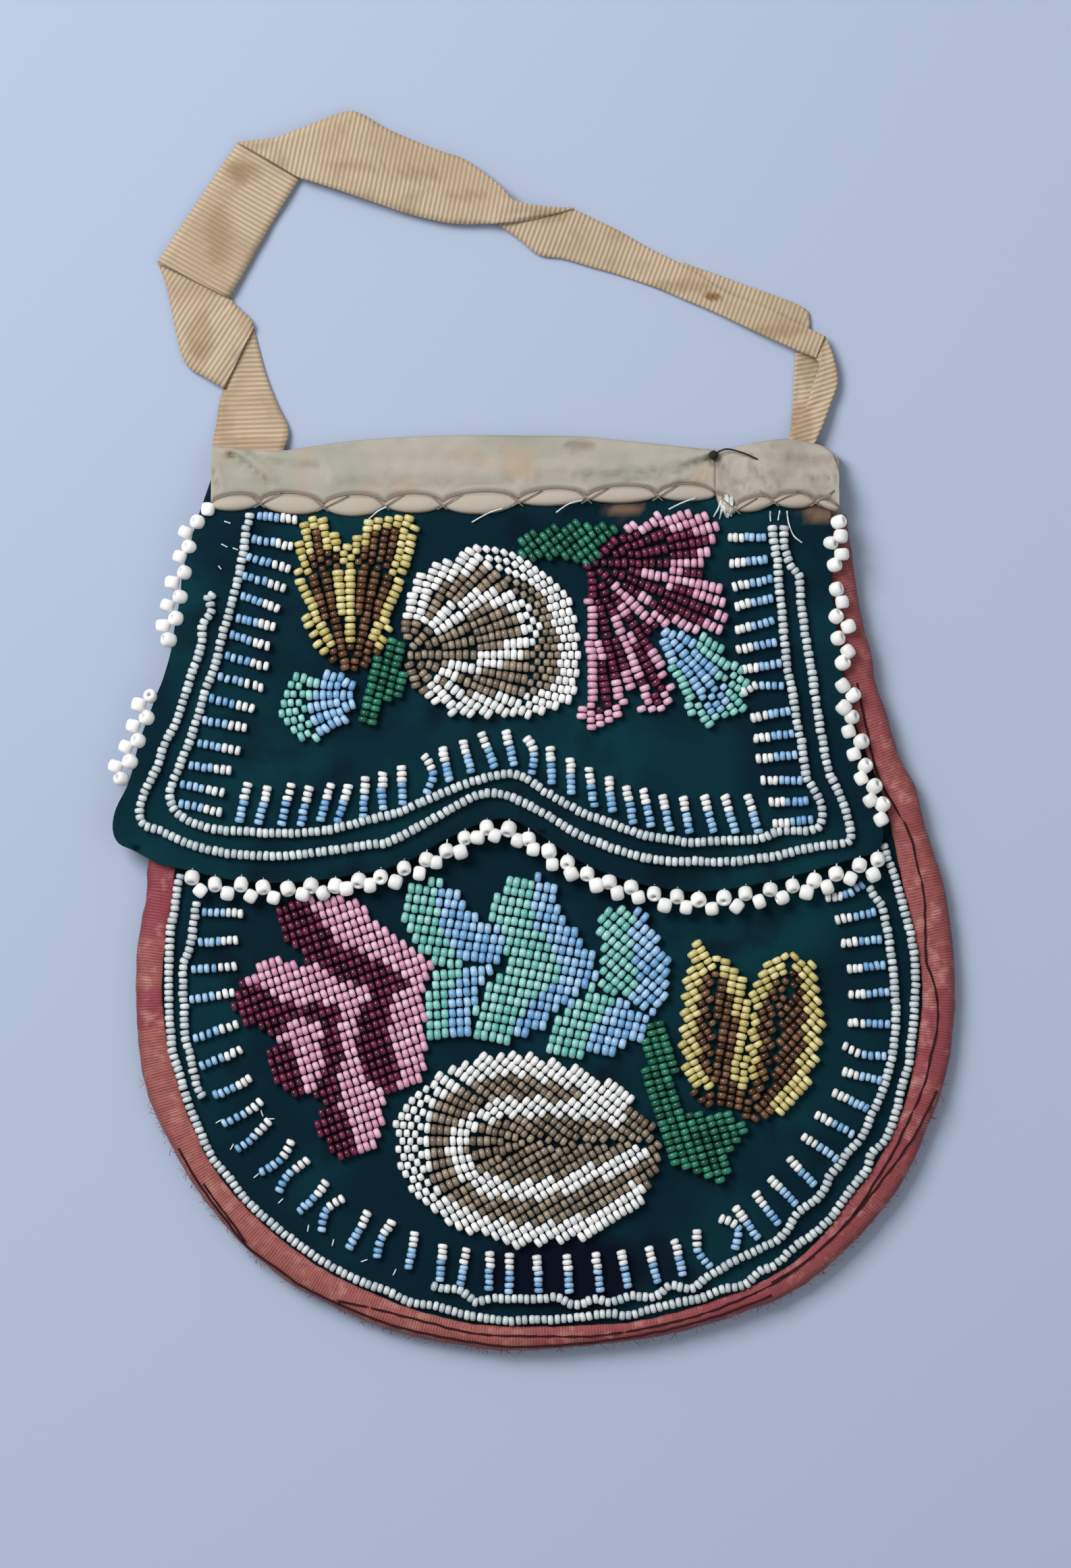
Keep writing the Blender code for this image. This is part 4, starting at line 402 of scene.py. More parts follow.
# The flower on the pouch, its pink parts, and the blue parts of the three teal leaves
BODY_FLOWER = [
    (-54.5, -5.6), (-53.4, -2.8), (-47.4, -1.2), (-38.2, -1.4), (-34, -4.6), (-29.7, -8.1), (-25.5, -11.6),
    (-21.9, -14.1), (-20.4, -16.2), (-22.6, -20.5), (-22.4, -24.7), (-22.3, -35.3), (-23.7, -40.3),
    (-26.9, -42.2), (-30.4, -42.4), (-31.3, -45.2), (-31.7, -50.9), (-34.7, -55.1), (-38.9, -56.9),
    (-41.7, -55.5), (-44.9, -51.6), (-45.6, -48.1), (-44.6, -43.1), (-50.6, -43.2), (-54.5, -41),
    (-56, -37.4), (-55.5, -33.9), (-53.4, -31.1), (-55.9, -30.4), (-60.8, -27.5), (-63, -24),
    (-62.3, -20.5), (-58.7, -16.9), (-55.9, -14.1), (-52.3, -14.1), (-47.7, -15.4), (-48.5, -13.7),
    (-52.7, -9.5),
]
BODY_PINK_AREAS = [
    [(-47.4, 0), (-38, 0), (-20, -13), (-19, -17), (-20.5, -20.5), (-20.5, -36), (-23, -43), (-27.9, -43.6),
     (-28.3, -38.2), (-29.7, -32.5), (-30.4, -28.3), (-29.7, -23.3), (-26.5, -19.8), (-25.5, -18.7),
     (-31.1, -15.5), (-36.8, -12.7), (-41.7, -10.6), (-43.9, -7), (-46.5, -4.2)],
    [(-61, -18.5), (-60, -16), (-55.9, -13), (-48.8, -13.9), (-42.4, -17.2), (-36.8, -20), (-32.9, -20.4),
     (-34, -22.6), (-36.4, -26.1), (-37.1, -31.1), (-36.1, -36), (-34, -39.6), (-31, -43), (-30, -45.2),
     (-30.5, -51), (-34, -56.5), (-36.8, -54.1), (-38.9, -48.8), (-40.7, -43.8), (-40.7, -39.6),
     (-40, -35.3), (-40.7, -29.7), (-40, -26.1), (-41.7, -24), (-46, -22.6), (-49.5, -24), (-53.8, -22.6),
     (-56.6, -20.8), (-59.8, -19.4)],
    [(-54, -31.4), (-51.6, -28), (-48.1, -27), (-43.9, -28), (-43.9, -31.1), (-45.3, -32.5),
     (-43.9, -36.7), (-46, -41.6), (-47.6, -41.6), (-49.9, -36.7), (-49.9, -32.5), (-51.6, -31.6)],
]
TEAL_BLUE_AREAS = [
    [(-19.5, 3), (-19.8, -3.5), (-19.1, -8.4), (-17, -12.7), (-14.1, -16.2), (-16.3, -19.8), (-18, -23.3),
     (-18.4, -33), (-12.8, -33), (-11.6, -21.6), (-5.4, -13.8), (-6, -9), (-12, -3), (-15, 3)],
    [(0.7, 5), (-0.4, -2.1), (0.7, -7), (2.8, -11.3), (5, -14.1), (6.4, -17.6), (2.8, -21.2), (-1.4, -24),
     (-3.5, -28.3), (-4.2, -34), (0, -33), (4.4, -27), (12, -20.6), (14, -17), (13.6, -13), (7, -3),
     (6, 4)],
    [(21.9, -1), (20.5, -9.2), (21.2, -14.1), (21.9, -18.3), (19.1, -22.6), (14.9, -25.4), (12, -29.7),
     (11.3, -36), (30, -36), (30, -1)],
]


def crown(x: float, y: float) -> float:
    """Give the lift of the filled pouch's front.

    Args:
        x: Place across the bag.
        y: Place along the bag.

    Returns:
        How far the front stands up there.
    """
    across = 1 - ((x - CROWN_CENTRE[0]) / CROWN_HALF_WIDTH) ** 2
    along = 1 - ((y - CROWN_CENTRE[1]) / CROWN_HALF_HEIGHT) ** 2
    return CROWN_HEIGHT * max(across, 0) * max(along, 0)


def flap_fall(y: float) -> float:
    """Return how far the flap has come down towards the back at a height on the bag."""
    share = (y - FLAP_FALL_START) / (FLAP_FALL_END - FLAP_FALL_START)
    return FLAP_FALL * min(max(share, 0), 1)


def on_front(x: float, y: float) -> float:
    """Return the height of the pouch's velvet front."""
    return FRONT_TOP + crown(x, y)


def on_flap(x: float, y: float) -> float:
    """Return the height of the flap's velvet."""
    return FLAP_TOP + crown(x, y) - flap_fall(y)


def smooth(points: Line, steps: int) -> list[Point]:
    """Round a given line with a curve that passes through its points.

    Args:
        points: The line's places, in order.
        steps: How many short pieces each span becomes.

    Returns:
        The rounded line.
    """
    count = len(points)
    line = []
    for index in range(count - 1):
        a, b = points[max(index - 1, 0)], points[index]
        c, d = points[index + 1], points[min(index + 2, count - 1)]
        for step in range(steps):
            t = step / steps
            line.append(tuple(
                0.5 * (2 * q + (r - p) * t + (2 * p - 5 * q + 4 * r - s) * t * t
                       + (3 * q - p - 3 * r + s) * t ** 3)
                for p, q, r, s in zip(a, b, c, d)))
    line.append(tuple(points[-1]))
    return line


def resample(line: Line, pitch: float, lead: float = 0.0) -> list[tuple[float, ...]]:
    """Divide a line evenly, as near to the pitch asked for as fits.

    Args:
        line: The line's places, in order.
        pitch: The spacing asked for.
        lead: How much of the line is left free at each end.

    Returns:
        The places along the line.
    """
    spans = [math.dist(a, b) for a, b in zip(line, line[1:])]
    total = sum(spans) - 2 * lead
    count = max(round(total / pitch), 1)
    places, index, passed = [], 0, 0.0
    for step in range(count + 1):
        goal = lead + total * step / count
        while index < len(spans) - 1 and passed + spans[index] < goal:
            passed += spans[index]
            index += 1
        share = (goal - passed) / spans[index] if spans[index] else 0
        places.append(tuple(p + (q - p) * share for p, q in zip(line[index], line[index + 1])))
    return places


def inside(x: float, y: float, outline: Line) -> bool:
    """Tell whether a point lies within an outline.

    Args:
        x: Place across the bag.
        y: Place along the bag.
        outline: The closed line round the area.

    Returns:
        Whether the point is inside.
    """
    found = False
    for (ax, ay), (bx, by) in zip(outline, [*outline[1:], outline[0]]):
        if (ay > y) != (by > y) and x < ax + (y - ay) * (bx - ax) / (by - ay):
            found = not found
    return found


def nearest(x: float, y: float, line: Line, closed: bool = False) -> tuple[float, Point]:
    """Find the nearest place on a line.

    Args:
        x: Place across the bag.
        y: Place along the bag.
        line: The line's places, in order.
        closed: Whether the line runs back to its start.

    Returns:
        The distance to the line, and the nearest place on it.
    """
    ends = [*line[1:], line[0]] if closed else line[1:]
    best = (1e9, line[0])
    for (ax, ay), (bx, by) in zip(line, ends):
        run = (bx - ax) ** 2 + (by - ay) ** 2
        share = min(max(((x - ax) * (bx - ax) + (y - ay) * (by - ay)) / run, 0), 1) if run else 0
        foot = (ax + (bx - ax) * share, ay + (by - ay) * share)
        gap = math.hypot(x - foot[0], y - foot[1])
        if gap < best[0]:
            best = (gap, foot)
    return best


def area_of(outline: Line) -> float:
    """Return the area within an outline, in square metres."""
    ends = [*outline[1:], outline[0]]
    return abs(sum(a[0] * b[1] - b[0] * a[1] for a, b in zip(outline, ends))) / 2 * MM * MM


def height_at(line: Line, x: float) -> float:
    """Read the height of a line that runs from left to right.

    Args:
        line: The line's places, from left to right.
        x: Place across the bag.

    Returns:
        The line's Y value there, or its end's outside of it.
    """
    for a, b in zip(line, line[1:]):
        if a[0] <= x <= b[0]:
            return a[1] + (b[1] - a[1]) * (x - a[0]) / (b[0] - a[0])
    return line[0][1] if x < line[0][0] else line[-1][1]


def rough(x: float, y: float, z: float = 0.0) -> float:
    """Return smooth noise from about -1 to 1 at a place."""
    return noise.noise(Vector((x, y, z)))


def linear(colour: str) -> tuple[float, float, float, float]:
    """Turn an sRGB hex colour into the linear values that a shader takes."""
    parts = [int(colour[start:start + 2], 16) / 255 for start in (1, 3, 5)]
    return (*(c / 12.92 if c <= 0.04045 else ((c + 0.055) / 1.055) ** 2.4 for c in parts), 1.0)


def add_node(
    tree: bpy.types.NodeTree,
    kind: str,
    settings: Optional[dict] = None,
    inputs: Optional[dict] = None,
) -> bpy.types.Node:
    """Add a node with its settings and what goes into it.

    Args:
        tree: The material's or the world's node tree.
        kind: The node's type.
        settings: Values of the node's own properties.
        inputs: A value, or another node's socket, for each input by name or number.

    Returns:
        The new node.
    """
    node = tree.nodes.new(kind)
    for name, value in (settings or {}).items():
        setattr(node, name, value)
    for name, value in (inputs or {}).items():
        if isinstance(value, bpy.types.NodeSocket):
            tree.links.new(value, node.inputs[name])
        else:
            node.inputs[name].default_value = value
    return node


def new_material(name: str) -> tuple[bpy.types.Material, bpy.types.NodeTree, bpy.types.Node]:
    """Make a material with only a shader in it.

    Args:
        name: The material's name.

    Returns:
        The material, its node tree and its shader.
    """
    material = bpy.data.materials.new(name)
    material.use_nodes = True
    tree = material.node_tree
    tree.nodes.clear()
    shader = add_node(tree, "ShaderNodeBsdfPrincipled")
    add_node(tree, "ShaderNodeOutputMaterial", inputs={"Surface": shader.outputs["BSDF"]})
    return material, tree, shader


def blend_colours(tree: bpy.types.NodeTree, share: object, first: object,
                  second: object) -> bpy.types.NodeSocket:
    """Mix two colours by a share, each given as a value or a socket, and return the mixed colour."""
    mix = add_node(tree, "ShaderNodeMix", {"data_type": "RGBA"}, {0: share, 6: first, 7: second})
    return mix.outputs[2]


def share_between(tree: bpy.types.NodeTree, value: bpy.types.NodeSocket, low: float,
                  high: float) -> bpy.types.NodeSocket:
    """Turn a value into a share.

    Args:
        tree: The material's node tree.
        value: What is turned.
        low: The level at and below which the share is 0.
        high: The level at and above which it is 1.

    Returns:
        The share.
    """
    spread = add_node(tree, "ShaderNodeMapRange", {"clamp": True}, {
        "Value": value, "From Min": low, "From Max": high, "To Min": 0.0, "To Max": 1.0})
    return spread.outputs["Result"]


def grain(tree: bpy.types.NodeTree, size_mm: float, detail: float) -> bpy.types.NodeSocket:
    """Make soft noise.

    Args:
        tree: The material's node tree.
        size_mm: About how large its features are, in millimetres.
        detail: How much finer noise is laid over them.

    Returns:
        The noise, from 0 to 1.
    """
    place = add_node(tree, "ShaderNodeTexCoord")
    texture = add_node(tree, "ShaderNodeTexNoise", inputs={
        "Vector": place.outputs["Object"], "Scale": 1000.0 / size_mm, "Detail": detail})
    return texture.outputs["Fac"]


def in_ribs(tree: bpy.types.NodeTree, pitch_mm: float) -> bpy.types.NodeSocket:
    """Make ribs that follow one another along the cloth's own U coordinate.

    Args:
        tree: The material's node tree.
        pitch_mm: Their spacing in millimetres.

    Returns:
        The pattern: 1 on the ribs and 0 between them.
    """
    place = add_node(tree, "ShaderNodeUVMap", {"uv_map": "cloth"})
    wave = add_node(tree, "ShaderNodeTexWave", {
        "wave_type": "BANDS", "bands_direction": "X", "wave_profile": "SIN"}, {
        "Vector": place.outputs["UV"], "Scale": math.pi / (10 * pitch_mm), "Distortion": 0.6,
        "Detail": 1.0, "Detail Scale": 0.5})
    return wave.outputs["Fac"]


def press(tree: bpy.types.NodeTree, shader: bpy.types.Node, height: bpy.types.NodeSocket, depth_mm: float,
          strength: float = 0.8) -> None:
    """Let a pattern stand up from the surface.

    Args:
        tree: The material's node tree.
        shader: The material's shader.
        height: The pattern, from 0 to 1.
        depth_mm: How far it stands up, in millimetres.
        strength: How much of that shows in the shading.
    """
    bump = add_node(tree, "ShaderNodeBump", inputs={
        "Height": height, "Distance": depth_mm * MM, "Strength": strength})
    tree.links.new(bump.outputs["Normal"], shader.inputs["Normal"])


def finish_mesh(form: bmesh.types.BMesh, name: str, material: bpy.types.Material) -> bpy.types.Object:
    """Turn a form in metres into an object in the scene that shades as one smooth surface.

    Args:
        form: The finished form, which is freed.
        name: The piece's name.
        material: The piece's finish.

    Returns:
        The new object.
    """
    bmesh.ops.recalc_face_normals(form, faces=form.faces[:])
    for face in form.faces:
        face.smooth = True
    mesh = bpy.data.meshes.new(name)
    form.to_mesh(mesh)
    form.free()
    mesh.materials.append(material)
    thing = bpy.data.objects.new(name, mesh)
    bpy.context.scene.collection.objects.link(thing)
    return thing


def enlist(thing: bpy.types.Object, nodes: Sequence[str] = (), slot: Optional[str] = None) -> None:
    """Let a piece ride on the bag.

    Args:
        thing: The piece.
        nodes: The CAD nodes that it stands for.
        slot: Not used.
    """
    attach(thing, "root")
    if nodes:
        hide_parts(*nodes)
    LOG.info("%s: %d faces", thing.name, len(thing.data.polygons))


def mark(thing: bpy.types.Object, name: str, level: Callable[[float, float, float], float]) -> None:
    """Write how strongly a place of a piece is marked, from 0 to 1, as an attribute for its finish."""
    values = [min(max(level(*(corner.co / MM)), 0.0), 1.0) for corner in thing.data.vertices]
    thing.data.attributes.new(name, "FLOAT", "POINT").data.foreach_set("value", values)


def stain(x: float, y: float, centre: Point, reach: Point) -> float:
    """Give the strength of a soft stain with ragged edges at a place.

    Args:
        x: Place across the bag.
        y: Place along the bag.
        centre: The stain's middle.
        reach: How far it goes from there across and along the bag.

    Returns:
        How strongly it shows, from 0 to 1.
    """
    gap = math.hypot((x - centre[0]) / reach[0], (y - centre[1]) / reach[1])
    return min(max((1.1 - (gap + 0.35 * rough(x / 1.7, y / 1.7, 8.0))) * 3, 0.0), 1.0)


def woven_grid(
    columns: int,
    rows: int,
    place: Callable[[float, float], Place],
    weave: Optional[Callable[[float, float], Point]] = None,
    ring: bool = False,
) -> bmesh.types.BMesh:
    """Lay a flat grid over a surface.

    Args:
        columns: Steps along the surface.
        rows: Steps across it.
        place: The point in millimetres for shares along and across, from 0 to 1.
        weave: The cloth's own coordinates in millimetres for the same shares.
        ring: Whether the last row joins the first.

    Returns:
        The form, in metres, with cloth coordinates as its UV map.
    """
    form = bmesh.new()
    bmesh.ops.create_grid(form, x_segments=columns, y_segments=rows, size=1.0)
    shares = {corner: ((corner.co.x + 1) / 2, (corner.co.y + 1) / 2) for corner in form.verts}
    if weave:
        layer = form.loops.layers.uv.new("cloth")
        for face in form.faces:
            for loop in face.loops:
                loop[layer].uv = weave(*shares[loop.vert])
    for corner, (along, across) in shares.items():
        corner.co = Vector(place(along, across)) * MM
    if ring:
        bmesh.ops.remove_doubles(form, verts=form.verts[:], dist=1e-6)
    return form


def close_ends(form: bmesh.types.BMesh) -> None:
    """Fill the openings of a form."""
    bmesh.ops.holes_fill(form, edges=[edge for edge in form.edges if edge.is_boundary])


def thread_form(path: Sequence[Place], diameter: float, sides: int = 5) -> bmesh.types.BMesh:
    """Run a round thread along a path.

    Args:
        path: The points of its middle, in millimetres.
        diameter: The thread's thickness.
        sides: How many faces lie round it.

    Returns:
        The closed form, in metres.
    """
    points = [Vector(p) for p in path]
    count = len(points) - 1
    slopes = [(points[min(k + 1, count)] - points[max(k - 1, 0)]).normalized() for k in range(count + 1)]

    def place(along: float, across: float) -> Place:
        """Find a point of the thread's surface.

        Args:
            along: Share of the way along it.
            across: Share of the way round it.

        Returns:
            The point, in millimetres.
        """
        index = round(along * count)
        side = slopes[index].cross(Vector((0, 0, 1)))
        side = side.normalized() if side.length > 1e-3 else Vector((1, 0, 0))
        up = side.cross(slopes[index])
        angle = across * math.tau
        return tuple(points[index] + (side * math.cos(angle) + up * math.sin(angle)) * diameter / 2)

    form = woven_grid(count, sides, place, ring=True)
    close_ends(form)
    return form


def add_form(whole: bmesh.types.BMesh, part: bmesh.types.BMesh) -> None:
    """Add one form to another.

    Args:
        whole: The form that grows.
        part: The form that is added, and freed.
    """
    scratch = bpy.data.meshes.new("scratch")
    part.to_mesh(scratch)
    part.free()
    whole.from_mesh(scratch)
    bpy.data.meshes.remove(scratch)


def cut_sheet(outline: Line, step: float, thickness: float, height: Height) -> bmesh.types.BMesh:
    """Cut a cloth panel to an outline and lay it over a surface.

    Args:
        outline: The cut edge, in millimetres.
        step: Spacing of the mesh lines that let it follow the surface.
        thickness: The cloth's thickness, downwards from the surface.
        height: The height of its upper face at a place.

    Returns:
        The closed form, in metres.
    """
    form = bmesh.new()
    form.faces.new([form.verts.new((x * MM, y * MM, 0)) for x, y in outline])
    xs, ys = [p[0] for p in outline], [p[1] for p in outline]
    for low, high, axis in ((min(xs), max(xs), Vector((1, 0, 0))), (min(ys), max(ys), Vector((0, 1, 0)))):
        for index in range(math.ceil((low + 0.2) / step), math.floor((high - 0.2) / step) + 1):
            geometry = [*form.verts, *form.edges, *form.faces]
            bmesh.ops.bisect_plane(form, geom=geometry, dist=1e-6, plane_co=axis * index * step * MM,
                                   plane_no=axis)
    form.normal_update()
    form.faces.ensure_lookup_table()
    if form.faces[0].normal.z < 0:
        bmesh.ops.reverse_faces(form, faces=form.faces[:])
    raised = bmesh.ops.extrude_face_region(form, geom=form.faces[:])["geom"]
    top = [item for item in raised if isinstance(item, bmesh.types.BMVert)]
    bmesh.ops.translate(form, vec=(0, 0, thickness * MM), verts=top)
    bmesh.ops.recalc_face_normals(form, faces=form.faces[:])
    rim = [item for item in form.edges if len(item.link_faces) == 2
           and abs(item.calc_face_angle(0)) > 1.2 and item.verts[0].co.z > thickness * MM / 2
           and item.verts[1].co.z > thickness * MM / 2]
    bmesh.ops.bevel(form, geom=rim, offset=PANEL_EDGE_RADIUS * MM, segments=2, affect="EDGES", profile=0.5,
                    material=-1)
    for corner in form.verts:
        x, y = corner.co.x / MM, corner.co.y / MM
        corner.co.z += (height(x, y) - thickness) * MM
    return form


class BeadKind(Enum):
    """The kinds of glass bead on the bag."""

    STRING = "string"
    WHITE = "white"
    BLUE = "blue"
    MINT = "mint"
    PINK = "pink"
    MAROON = "maroon"
    GOLD = "gold"
    BROWN = "brown"
    TAN = "tan"
    GREEN = "green"
    EDGE = "edge"


@dataclass(frozen=True)
class GlassFinish:
    """Glass of one colour: where single beads lie between two shades of it."""

    name: str
    shade: str
    other: str
    roughness: float
    clear: float
    slot: Optional[str]
    girth: float = 1.0

    def material(self) -> bpy.types.Material:
        """Make the glass: drawn soda glass cane, cut and tumbled, so each bead is a little different.

        Returns:
            The material.
        """
        material, tree, shader = new_material(self.name)
        own = add_node(tree, "ShaderNodeAttribute", {"attribute_name": "tint"})
        body = blend_colours(tree, own.outputs["Fac"], linear(self.shade), linear(self.other))
        tree.links.new(body, shader.inputs["Base Color"])
        shader.inputs["Roughness"].default_value = self.roughness
        shader.inputs["IOR"].default_value = 1.52
        shader.inputs["Transmission Weight"].default_value = self.clear
        return material


# Chalk glass is opaque and nearly matt, which reads as solid white or pastel; lined and clear glass is
# darker and takes a small sharp highlight on every bead
GLASS = {
    BeadKind.STRING: GlassFinish("alabaster_glass", "#AFBBC0", "#D6DEE0", 0.35, 0.0, "string_beads"),
    BeadKind.WHITE: GlassFinish("chalk_white_glass", "#DADCDD", "#F4F4F3", 0.38, 0.0, "white_beads", 1.02),
    BeadKind.BLUE: GlassFinish("pale_blue_glass", "#6B9FCB", "#A8CBE9", 0.3, 0.0, "blue_beads"),
    BeadKind.MINT: GlassFinish("mint_glass", "#66B2A9", "#9BD1CB", 0.32, 0.0, "mint_beads", 0.98),
    BeadKind.PINK: GlassFinish("rose_glass", "#C98FAA", "#E0B4C9", 0.35, 0.0, "pink_beads"),
    BeadKind.MAROON: GlassFinish("dark_red_glass", "#3A0A20", "#6E2343", 0.16, 0.0, "maroon_beads", 0.94),
    BeadKind.GOLD: GlassFinish("straw_glass", "#B5A762", "#DDD398", 0.3, 0.0, None, 1.04),
    BeadKind.BROWN: GlassFinish("brown_glass", "#38200F", "#76543A", 0.16, 0.0, "brown_beads", 0.94),
    BeadKind.TAN: GlassFinish("smoke_glass", "#64584B", "#9A8C79", 0.2, 0.0, "tan_beads", 0.94),
    BeadKind.GREEN: GlassFinish("bottle_green_glass", "#0B4A38", "#2F8066", 0.18, 0.0, "green_beads"),
    BeadKind.EDGE: GlassFinish("porcelain_white_glass", "#E2E2E1", "#F8F8F6", 0.24, 0.0, "edge_beads"),
}


@dataclass
class Bead:
    """One bead in its place, in millimetres."""

    centre: Place
    axis: tuple[float, float, float]
    length: float
    diameter: float
    tint: float


@dataclass
class BeadShape:
    """A bead as it comes off the cane: a short rounded barrel with a hole."""

    segments: int
    profile: Sequence[Point]

    def mesh(self, name: str) -> bpy.types.Mesh:
        """Spin the profile (share of half length, share of radius) round the Z axis.

        Args:
            name: The mesh's name.

        Returns:
            A bead of length 1 and diameter 1.
        """
        form = bmesh.new()
        corners = [form.verts.new((radius / 2, 0, along / 2)) for along, radius in self.profile]
        ring = [form.edges.new(pair) for pair in zip(corners, [*corners[1:], corners[0]])]
        bmesh.ops.spin(form, geom=[*corners, *ring], axis=(0, 0, 1), cent=(0, 0, 0), angle=math.tau,
                       steps=self.segments, use_merge=True)
        bmesh.ops.remove_doubles(form, verts=form.verts[:], dist=1e-5)
        bmesh.ops.recalc_face_normals(form, faces=form.faces[:])
        mesh = bpy.data.meshes.new(name)
        form.to_mesh(mesh)
        form.free()
        return mesh


SEED = BeadShape(10, [(-0.97, 0.42), (-0.72, 0.88), (0.0, 1.0), (0.72, 0.88), (0.97, 0.42)])
LARGE = BeadShape(20, [(-0.9, 0.34), (-0.98, 0.5), (-0.9, 0.74), (-0.66, 0.93), (-0.22, 1.0), (0.22, 1.0),
                       (0.66, 0.93), (0.9, 0.74), (0.98, 0.5), (0.9, 0.34), (0.4, 0.27), (-0.4, 0.27)])


@dataclass
class Beader:
    """Places beads and makes one piece of each set of them."""

    shapes: dict[BeadKind, bpy.types.Mesh] = field(default_factory=dict)
    materials: dict[BeadKind, bpy.types.Material] = field(default_factory=dict)

    def prepare(self) -> None:
        """Make the two bead shapes and every glass."""
        seed, large = SEED.mesh("seed_bead"), LARGE.mesh("large_bead")
        for kind, finish in GLASS.items():
            self.shapes[kind] = large if kind is BeadKind.EDGE else seed
            self.materials[kind] = finish.material()

    def thread_on(self, name: str, kind: BeadKind, beads: Sequence[Bead], nodes: Sequence[str] = ()) -> None:
        """Copy the bead shape to each place and join the copies into one piece.

        Args:
            name: The piece's name.
            kind: The glass of all its beads.
            beads: Where each bead is.
            nodes: The CAD nodes that the piece stands for.
        """
        if not beads:
            return
        shape = self.shapes[kind]
        count = len(shape.vertices)
        rest = np.empty(count * 3)
        shape.vertices.foreach_get("co", rest)
        rest = rest.reshape(-1, 3)
        corners = [list(face.vertices) for face in shape.polygons]
        points, faces, tints = [], [], []
        for number, bead in enumerate(beads):
            turn = Vector((0, 0, 1)).rotation_difference(Vector(bead.axis).normalized()).to_matrix()
            size = np.array((bead.diameter, bead.diameter, bead.length))
            points.append((rest * size) @ np.array(turn).T + np.array(bead.centre))
            faces += [[corner + number * count for corner in face] for face in corners]
            tints += [bead.tint] * count
        mesh = bpy.data.meshes.new(name)
        mesh.from_pydata((np.concatenate(points) * MM).tolist(), [], faces)
        mesh.attributes.new("tint", "FLOAT", "POINT").data.foreach_set("value", tints)
        mesh.polygons.foreach_set("use_smooth", [True] * len(mesh.polygons))
        mesh.materials.append(self.materials[kind])
        thing = bpy.data.objects.new(name, mesh)
        bpy.context.scene.collection.objects.link(thing)
        enlist(thing, nodes, GLASS[kind].slot)


@dataclass
class BeadString:
    """A string of seed beads sewn down along a line."""

    name: str
    path: Line
    ground: Height
    nodes: Sequence[str]
    seed: int = 0
    diameter: float = SEED_DIAMETER
    pitch: float = STRING_PITCH

    def beads(self) -> list[Bead]:
        """Lay the beads along the string, each a little off line.

        Returns:
            Every bead of the string.
        """
        chance = random.Random(self.seed)
        places = resample(smooth(self.path, 6), self.pitch, self.pitch / 2)
        found = []
        for index, (x, y) in enumerate(places):
            before, after = places[max(index - 1, 0)], places[min(index + 1, len(places) - 1)]
            slope = math.atan2(after[1] - before[1], after[0] - before[0]) + chance.gauss(0, 0.07)
            x += chance.gauss(0, 0.06)
            y += chance.gauss(0, 0.06)
            wide = self.diameter * chance.uniform(0.92, 1.06)
            z = self.ground(x, y) + wide / 2 - BEAD_SINK
            found.append(Bead((x, y, z), (math.cos(slope), math.sin(slope), chance.gauss(0, 0.05)),
                              self.pitch * chance.uniform(0.9, 1.02), wide, chance.random()))
        return found

    def build(self, beader: Beader) -> None:
        """Make the string's piece."""
        beader.thread_on(self.name, BeadKind.STRING, self.beads(), self.nodes)


@dataclass
class FringeBars:
    """Short bars of four blue and three white beads that stand on a string."""

    name: str
    bars: Sequence[Line]
    ground: Height
    seed: int
    nodes: Sequence[str] = ()
    diameter: float = 1.95
    white_girth: float = 1.06

    def build(self, beader: Beader) -> None:
        """Make one piece of the bars' blue beads and one of the white ones.

        Args:
            beader: What makes the pieces.
        """
        chance = random.Random(self.seed)
        blue, white = [], []
        for bar in self.bars:
            rounded = smooth(bar, 6) if len(bar) > 2 else list(bar)
            places = resample(rounded, BAR_PITCH, BAR_PITCH / 2)
            step = (len(places) - 1) / (BAR_BEADS - 1)
            for number in range(BAR_BEADS):
                along = number * step
                low = min(int(along), len(places) - 2)
                share = along - low
                (ax, ay), (bx, by) = places[low], places[low + 1]
                x = ax + (bx - ax) * share + chance.gauss(0, 0.07)
                y = ay + (by - ay) * share + chance.gauss(0, 0.07)
                slope = math.atan2(by - ay, bx - ax) + chance.gauss(0, 0.09)
                is_white = number >= BAR_BLUE_BEADS
                wide = self.diameter * chance.uniform(0.93, 1.07) * (self.white_girth if is_white else 1)
                bead = Bead((x, y, self.ground(x, y) + wide / 2 - BEAD_SINK),
                            (math.cos(slope), math.sin(slope), chance.gauss(0, 0.06)),
                            BAR_PITCH * chance.uniform(0.86, 0.98), wide, chance.random())
                (white if is_white else blue).append(bead)
        beader.thread_on(self.name + "_blue", BeadKind.BLUE, blue, self.nodes)
        beader.thread_on(self.name + "_white", BeadKind.WHITE, white)


